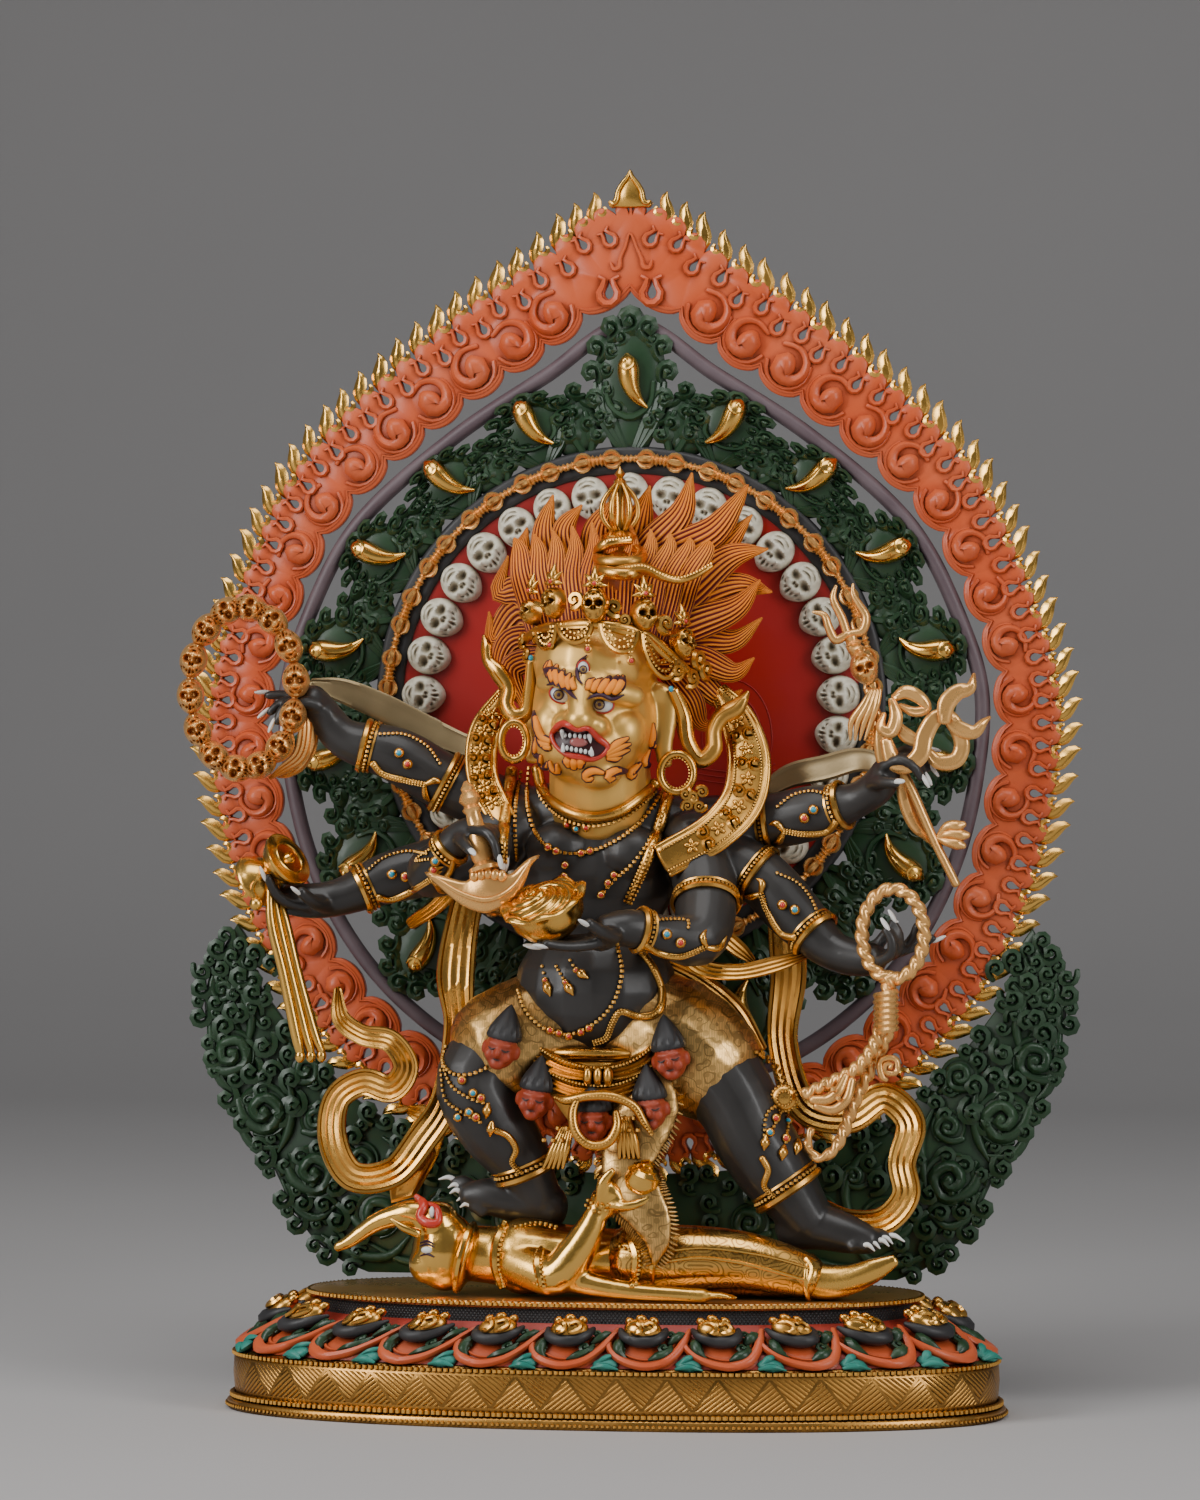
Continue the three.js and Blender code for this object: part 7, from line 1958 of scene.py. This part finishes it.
# %% Ribbons of the trident
ribbons = [
    drawn_ribbon([(886, 740, -22, 3), (893, 762, -23, 4), (905, 766, -24, 4), (920, 755, -24, 4.5),
        (925, 735, -23, 4.5), (936, 718, -22, 4), (948, 716, -20, 3.5), (957, 728, -19, 4),
        (962, 746, -18, 4), (956, 760, -18, 4), (938, 762, -19, 3.6), (928, 752, -20, 2.5)], 70),
    drawn_ribbon([(944, 722, -24, 3), (947, 703, -24, 4.5), (958, 692, -23, 4), (970, 688, -22, 3),
        (974, 674, -22, 0.8)]),
    drawn_ribbon([(948, 718, -20, 3), (958, 728, -20, 4), (974, 732, -20, 3.4), (984, 722, -20, 2),
        (990, 717, -20, 0.7)]),
    drawn_ribbon([(894, 698, -22, 2), (906, 692, -23, 3.4), (920, 698, -23, 3.2), (927, 708, -22, 2.4),
        (916, 712, -22, 2.6), (900, 706, -22, 1.6)]),
    drawn_ribbon([(892, 700, -23, 2), (896, 718, -24, 3.4), (890, 732, -24, 3.4), (881, 728, -24, 2.6),
        (884, 714, -23, 1.4)]),
    drawn_ribbon([(898, 725, -20, 2), (906, 735, -20, 3.6), (918, 742, -20, 3.2)]),
    drawn_ribbon([(880, 726, -19, 3), (882, 748, -19, 4), (884, 762, -19, 3), (900, 770, -19, 2.4)]),
    drawn_ribbon([(902, 772, -15, 3), (906, 800, -14, 4), (916, 825, -14, 3.6), (928, 838, -14, 2),
        (934, 846, -14, 0.8)], 30, 2.4)]
strands_of_hair = [drawn_tube([(874 + k, 690, -22, 1.2), (868 + 1.5 * k, 704, -23, 1.7),
        (858 + 2.2 * k, 722, -22, 1.6), (855 + 1.6 * k, 740, -22, 0.5)])
    for k in (-3, 0, 3, 6)]
lobes_at_foot = [drawn_tube([(938, 838, -18, 1.6), (948, 826 + 8 * k, -20, 2.4),
        (958 + 4 * (k == 1), 826 + 9 * k, -20, 3), (964 + 4 * (k == 1), 824 + 11 * k, -20, 1.6)])
    for k in range(3)]
piece("trident", [*trident, *impaled, *ribbons, *strands_of_hair, *lobes_at_foot], COPPER_GOLD,
    "gilding", "trident")

# %% The noose
TWIST = CIRCLE[18] * (0.62 + 0.38 * np.abs(CIRCLE[18][:, :1]))


def rope(rows, turns, count=110):
    """A drawn line whose two-stranded section turns so many times about it."""
    return sweep(at_depths(rows), TWIST, count, twist=turns)


loop = [(893 + 31 * math.cos(a), 934 + 45 * math.sin(a), -32, 3.7) for a in np.linspace(1.9, -4.6, 18)]
noose = [
    rope(loop, 9, 150),
    rope([(889, 975, -32, 3.6), (886, 1000, -34, 3.6), (880, 1030, -34, 3.6), (868, 1056, -33, 3.8),
        (852, 1072, -33, 3.8), (828, 1084, -34, 3.8), (806, 1094, -36, 3.4)], 7),
    rope([(890, 975, -27, 3.4), (888, 1030, -29, 3.6), (874, 1062, -26, 3.6), (860, 1090, -25, 3.6),
        (850, 1114, -25, 3.6), (842, 1136, -26, 3.4), (832, 1152, -27, 3), (818, 1158, -28, 2.6),
        (808, 1146, -28, 2.4), (811, 1130, -28, 2)], 8, 130),
    *[wire_ring(at_depths(hoop((886, v, -31), (10, -2, 0), (0, 0, -9), 12)), 1.7, 6, 24, **FLAT)
        for v in range(994, 1034, 6)],
    drawn_tube([(846, 1076, -36, 2), (838, 1092, -38, 3), (826, 1100, -38, 3), (812, 1100, -38, 2.4)]),
    drawn_tube([(852, 1080, -36, 2), (846, 1100, -38, 2.6), (832, 1110, -38, 2.8), (816, 1106, -38, 2.2)]),
    moved(curl(1.8, 6, 1.8, 7, 24, 1, 2), at_depth(890, 1067, -30), (math.pi / 2, 0.6, 0)),
    beads(at_depths([(824, 1084, -42), (834, 1090, -42), (838, 1098, -42)]), 1.6)]
piece("noose", noose, COPPER_GOLD, "gilding", "noose")

# %% [markdown]
# ## Jewellery
# Strings of fine beads, scaled snakes and small settings lie on the skin. Each is drawn and laid on
# the body, so it follows the flesh under it. Bracelets and anklets go round the limbs.

# %% Strings, scales and stones on the body
skin_of_body = tree_of(body, head, hide)
gilt, corals, turquoises = [], [], []


def set_stones(places, size=1.5):
    """Settings with stones from rows of u, v and 0 for coral or 1 for turquoise."""
    for u, v, kind in places:
        centre = laid(skin_of_body, [(u, v)], 1.4)[0]
        gilt.append(stamp(ball((0, 0, 0), 1, 12, 6), centre, facing(size * 1.45, size * 1.45, size)))
        stone = stamp(ball((0, 0, 0), 1, 10, 6), centre + BACKWARD * size * 0.6,
            facing(size * 0.85, size * 0.85, size * 0.8))
        (turquoises if kind else corals).append(stone)


def string(rows, radius):
    """A string of beads that lies on the skin."""
    gilt.append(beads(laid(skin_of_body, rows, 0.6 + radius * 0.5, 60), radius))


def pendant(rows):
    """A small gilt drop on the skin, through rows of u, v and radius."""
    gilt.append(tube(laid(skin_of_body, rows, 1, 10), 8, 14))


def scaled(rows, radius, count=60):
    """A snake or a scaled sash: a tube under crossing rows of scales."""
    line = laid(skin_of_body, [(u, v, 1) for u, v in rows], 0.5, count)
    taper = radius * np.minimum(1, np.linspace(1.6, 0.5, count))
    gilt.append(tube(np.c_[line[:, :3], taper], 8, count))
    _, across, _ = across_line(line, BACKWARD, True)
    for s in (-0.5, 0, 0.5):
        gilt.append(beads(line[:, :3] + across * radius * s + BACKWARD * radius * (1 - abs(s)) * 0.9,
            radius * 0.34))

# %% Chains and stones on the chest and belly
CHOKER = [(537, 768), (542, 788), (556, 804), (575, 814), (596, 817), (620, 811), (641, 797), (656, 783)]
gilt.append(tube(np.c_[laid(skin_of_body, CHOKER, 1.2, 50), np.full(50, 2.9)], 10, 60))
string([(u - 1, v + 9) for u, v in CHOKER], 1.25)
string([(529, 768), (527, 800), (533, 827), (546, 846), (566, 853), (590, 851), (613, 842), (637, 825),
    (655, 803), (664, 788)], 1.3)
string([(521, 772), (516, 800), (515, 830), (517, 860)], 1.2)
string([(668, 798), (652, 836), (632, 864), (614, 880), (600, 896)], 1.3)
scaled([(512, 770), (506, 810), (503, 845), (503, 872)], 3.2)
scaled([(668, 796), (656, 836), (641, 874), (628, 902)], 3.2)
string([(617, 944), (622, 972), (613, 1003), (596, 1022), (570, 1034), (546, 1029), (526, 1011),
    (518, 990)], 1.3)
scaled([(640, 950), (654, 970), (662, 996), (656, 1013), (638, 1016), (620, 1012), (612, 1024), (606, 1038),
    (594, 1043)], 2.2, 80)
set_stones([(567, 825, 0), (576, 829, 1), (586, 828, 0), (548, 847, 0), (556, 851, 0), (581, 853, 0),
    (590, 851, 0), (565, 865, 0), (564, 876, 0), (614, 875, 0), (608, 883, 0), (601, 895, 0),
    (550, 1030, 0), (559, 1033, 0), (569, 1036, 0), (581, 1032, 0), (589, 1028, 0)])
for rows in ([(542, 966), (545, 980), (550, 996)], [(556, 966), (565, 982), (573, 995)],
        [(570, 960), (576, 970), (588, 978)]):
    string([rows[0], ((rows[0][0] + rows[1][0]) / 2, (rows[0][1] + rows[1][1]) / 2), rows[1]], 1)
    set_stones([(*rows[1], 0)], 1.2)
    (u0, v0), (u1, v1) = rows[1], rows[2]
    pendant([(u0, v0, 1.2), ((u0 + u1) / 2, (v0 + v1) / 2, 2.6), (u1, v1, 0.5)])
print(len(gilt), "chains and settings")

# %% Bands and points on the limbs


def limb_at(rows, share):
    """The middle of a limb at a share of its length, its radius there, and the way along it."""
    line = smooth_line(rows, 101)
    k = int(share * 100)
    return line[k, :3], line[k, 3], line[min(k + 2, 100), :3] - line[max(k - 2, 0), :3]


def band(rows, share, width):
    """A gilt ring round a limb at a share of its length, with a row of beads and a thin ring beside it."""
    middle, radius, along = limb_at(rows, share)
    axis = unit(along)
    side = unit(np.cross(axis, (0.2, 1, 0.3)))
    reach = radius * 1.06
    ring = hoop(middle, side * reach, np.cross(axis, side) * reach, 24)
    gilt.extend([wire_ring(ring, width, 6, 32), beads(ring - axis * width * 1.5, width * 0.66, closed=True),
        wire_ring(ring - axis * width * 2.6, width * 0.5, 5, 28)])


def seen(point):
    """Where a point in space stands on the picture."""
    way = np.asarray(point) - EYE
    scale = -STEPS_AWAY / (way @ BACKWARD)
    return MIDDLE_U + way @ ACROSS * scale, MIDDLE_V - way @ UPWARD * scale


def on_limb(rows, share, drop):
    """A drawn point on a limb, below its middle line by a share of its radius."""
    middle, radius, along = limb_at(rows, share)
    below = unit(np.cross(along, BACKWARD))
    below = below * -np.sign(below @ UPWARD)
    return seen(middle + below * drop * radius)

# %% Bracelets and chains of the arms
for name, rows in ARMS.items():
    cuff = 0.84 if "front" in name else 0.70
    band(rows, 0.35, 1.6)
    band(rows, cuff, 1.8)
    set_stones([(*on_limb(rows, cuff - 0.13, -0.1), 1), (*on_limb(rows, cuff - 0.19, 0.12), 0)], 1.9)
    scaled([on_limb(rows, cuff - back, drop) for back, drop in ((0.04, 0.6), (0.1, 0.82), (0.2, 0.66),
        (0.29, 0.42))], 2, 36)
    for drop in (0.1, 0.75):
        gilt.append(tube(laid(skin_of_body, [(*on_limb(rows, cuff - 0.28, 0.44), 1.2),
                (*on_limb(rows, cuff - 0.31, drop), 1.9), (*on_limb(rows, cuff - 0.35, drop * 1.1), 0.4)],
            0.8, 8), 7, 10))
    string([on_limb(rows, cuff - back, drop) for back, drop in ((0.04, -0.6), (0.12, -0.8), (0.22, -0.78),
        (0.3, -0.5))], 1)
print(len(gilt), "chains, bands and settings")

# %% Anklets and chains of the legs
band(RIGHT_LEG, 0.86, 2)
band(LEFT_LEG, 0.86, 2)
string([(446, 1046), (443, 1062), (452, 1073), (470, 1074), (486, 1068)], 1.3)
string([(443, 1066), (452, 1086), (470, 1098), (488, 1104)], 1.2)
string([(441, 1070), (446, 1100), (462, 1112), (480, 1122)], 1.2)
for d in (0, 5):
    string([(756 + d, 1052), (772 + d, 1066), (780 + d, 1084), (786, 1096)], 1.4)
string([(784, 1102), (768, 1112), (764, 1140)], 1.1)
clasp = laid(skin_of_body, [(784, 1098)], 2)[0]
gilt.append(stamp(ball((0, 0, 0), 1, 20, 8), clasp, facing(6.6, 6.6, 2.6)))
gilt += [beads(hoop(clasp + BACKWARD * lift, ACROSS * r, UPWARD * r, 12), size, closed=True)
    for r, lift, size in ((6.4, 0.6, 0.9), (3.6, 2.4, 0.8))]
for u, v in ((766, 1136), (784, 1146), (798, 1140), (488, 1104), (492, 1122)):
    pendant([(u, v, 1.2), (u - 1, v + 7, 2.6), (u - 2, v + 14, 0.5)])
string([(786, 1098), (778, 1118), (770, 1134)], 1.1)
string([(786, 1098), (788, 1122), (786, 1142)], 1.1)
scaled([(495, 1130), (508, 1136), (516, 1150), (512, 1162), (520, 1172)], 1.8, 40)
scaled([(762, 1158), (768, 1170), (764, 1186), (776, 1198)], 1.8, 40)
set_stones([(473, 1093, 1), (481, 1098, 0), (469, 1112, 1), (476, 1117, 0), (458, 1117, 1), (786, 1096, 1),
    (776, 1118, 0), (770, 1132, 1), (788, 1120, 1), (786, 1138, 0), (462, 1080, 0)], 1.7)
piece("jewellery", gilt, GOLD, "gilding", "mahakala")
piece("corals", corals, RED_STONE, "stones", "mahakala")
piece("turquoises", turquoises, BLUE_STONE, "stones", "mahakala")

# %% Earrings and ribbons at the ears
rings_of_ears = []
for u, v, y, width, height in ((677, 773, -22, 8.2, 9.6), (514, 741, -24, 6.4, 9.4)):
    centre = at_depth(u, v, y)
    across, up = ACROSS * width, UPWARD * height
    rings_of_ears += [wire_ring(hoop(centre, across, up, 24), 2, 8, 48),
        beads(hoop(centre - (0, 0.6, 0), across * 0.78, up * 0.78, 24), 0.75, closed=True)]
for u, v, turn in ((694, 797, 0), (688, 806, 1.3), (700, 806, -1.3), (702, 792, 2.4), (686, 794, -2.4)):
    rings_of_ears.append(moved(curl(1.4, 2.6, 1.2, 6, 14, 1, 1), at_depth(u, v, -26),
        (math.pi / 2, turn, 0)))
rings_of_ears.append(ball(at_depth(694, 800, -26), (2.6, 2, 2.6), 10, 8))
ear_ribbons = [
    sweep(at_depths([(674, 690, -20, 3, 2), (684, 716, -16, 3.6, 2.2), (688, 742, -16, 3.8, 2.4),
        (700, 760, -16, 4.2, 2.6), (713, 750, -15, 4.4, 2.6), (714, 730, -14, 4, 2.6),
        (722, 716, -13, 4.4, 3), (736, 708, -12, 4.6, 3), (744, 698, -12, 2.6, 2), (748, 692, -12, 1, 1)]),
        SASH, 60, **UPRIGHT),
    sweep(at_depths([(532, 662, -22, 3, 2), (530, 690, -20, 3.4, 2.2), (526, 712, -18, 3.8, 2.4),
        (514, 716, -18, 4, 2.6), (506, 704, -17, 4, 2.6), (508, 688, -16, 4.4, 3), (498, 672, -16, 4.4, 3),
        (488, 660, -15, 3, 2), (486, 644, -15, 2.6, 2), (484, 636, -15, 1, 1)]), SASH, 60, **UPRIGHT)]
piece("earrings_and_ribbons", [*rings_of_ears, *ear_ribbons], GOLD, "gilding", "mahakala")

# %% Sashes behind the arms
OLIVE = material("dull gilt cloth", (0.30, 0.22, 0.11), (0.04, 0.03, 0.015), (0.42, 0.32, 0.16),
    gloss=(0.35, 0.55), shade_and_patina=(0.005, 1), painted=(0.1, 0.07, 0.03), metallic=0.6)
sashes = [drawn_ribbon(rows, 50, 1.8, RIBBON[[0, 1, 2, 5, 6, 7, 8, 9, 10, 11]]) for rows in (
    [(312, 684, 4, 3), (340, 690, 8, 6), (380, 706, 10, 7), (420, 726, 12, 7), (460, 744, 12, 6),
        (492, 752, 10, 4)],
    [(764, 792, 12, 4), (790, 776, 12, 6), (825, 768, 8, 6.5), (856, 760, 4, 6), (876, 764, -2, 5),
        (890, 786, -4, 3)])]
piece("sashes", sashes, OLIVE, "gilding", "mahakala")
loose = [drawn_ribbon(rows, 40, 2, RIBBON) for rows in (
    [(410, 924, -10, 3), (436, 906, -14, 4), (450, 890, -16, 4), (454, 876, -18, 3)],
    [(672, 920, -38, 3), (684, 948, -34, 4.5), (700, 966, -30, 4.5), (736, 972, -26, 4), (776, 964, -20, 4),
        (812, 952, -16, 2)],
    [(692, 940, -20, 2), (716, 934, -18, 4), (740, 950, -16, 4), (752, 960, -16, 2)],
    [(660, 960, -10, 3), (700, 980, 0, 4.5), (736, 1010, 4, 5), (760, 1050, 4, 4)],
    [(410, 1110, 6, 3), (430, 1120, 4, 7), (424, 1148, 6, 8), (400, 1190, 6, 8), (430, 1150, 4, 4)])]
piece("loose_ribbons", loose, GOLD, "gilding", "mahakala")
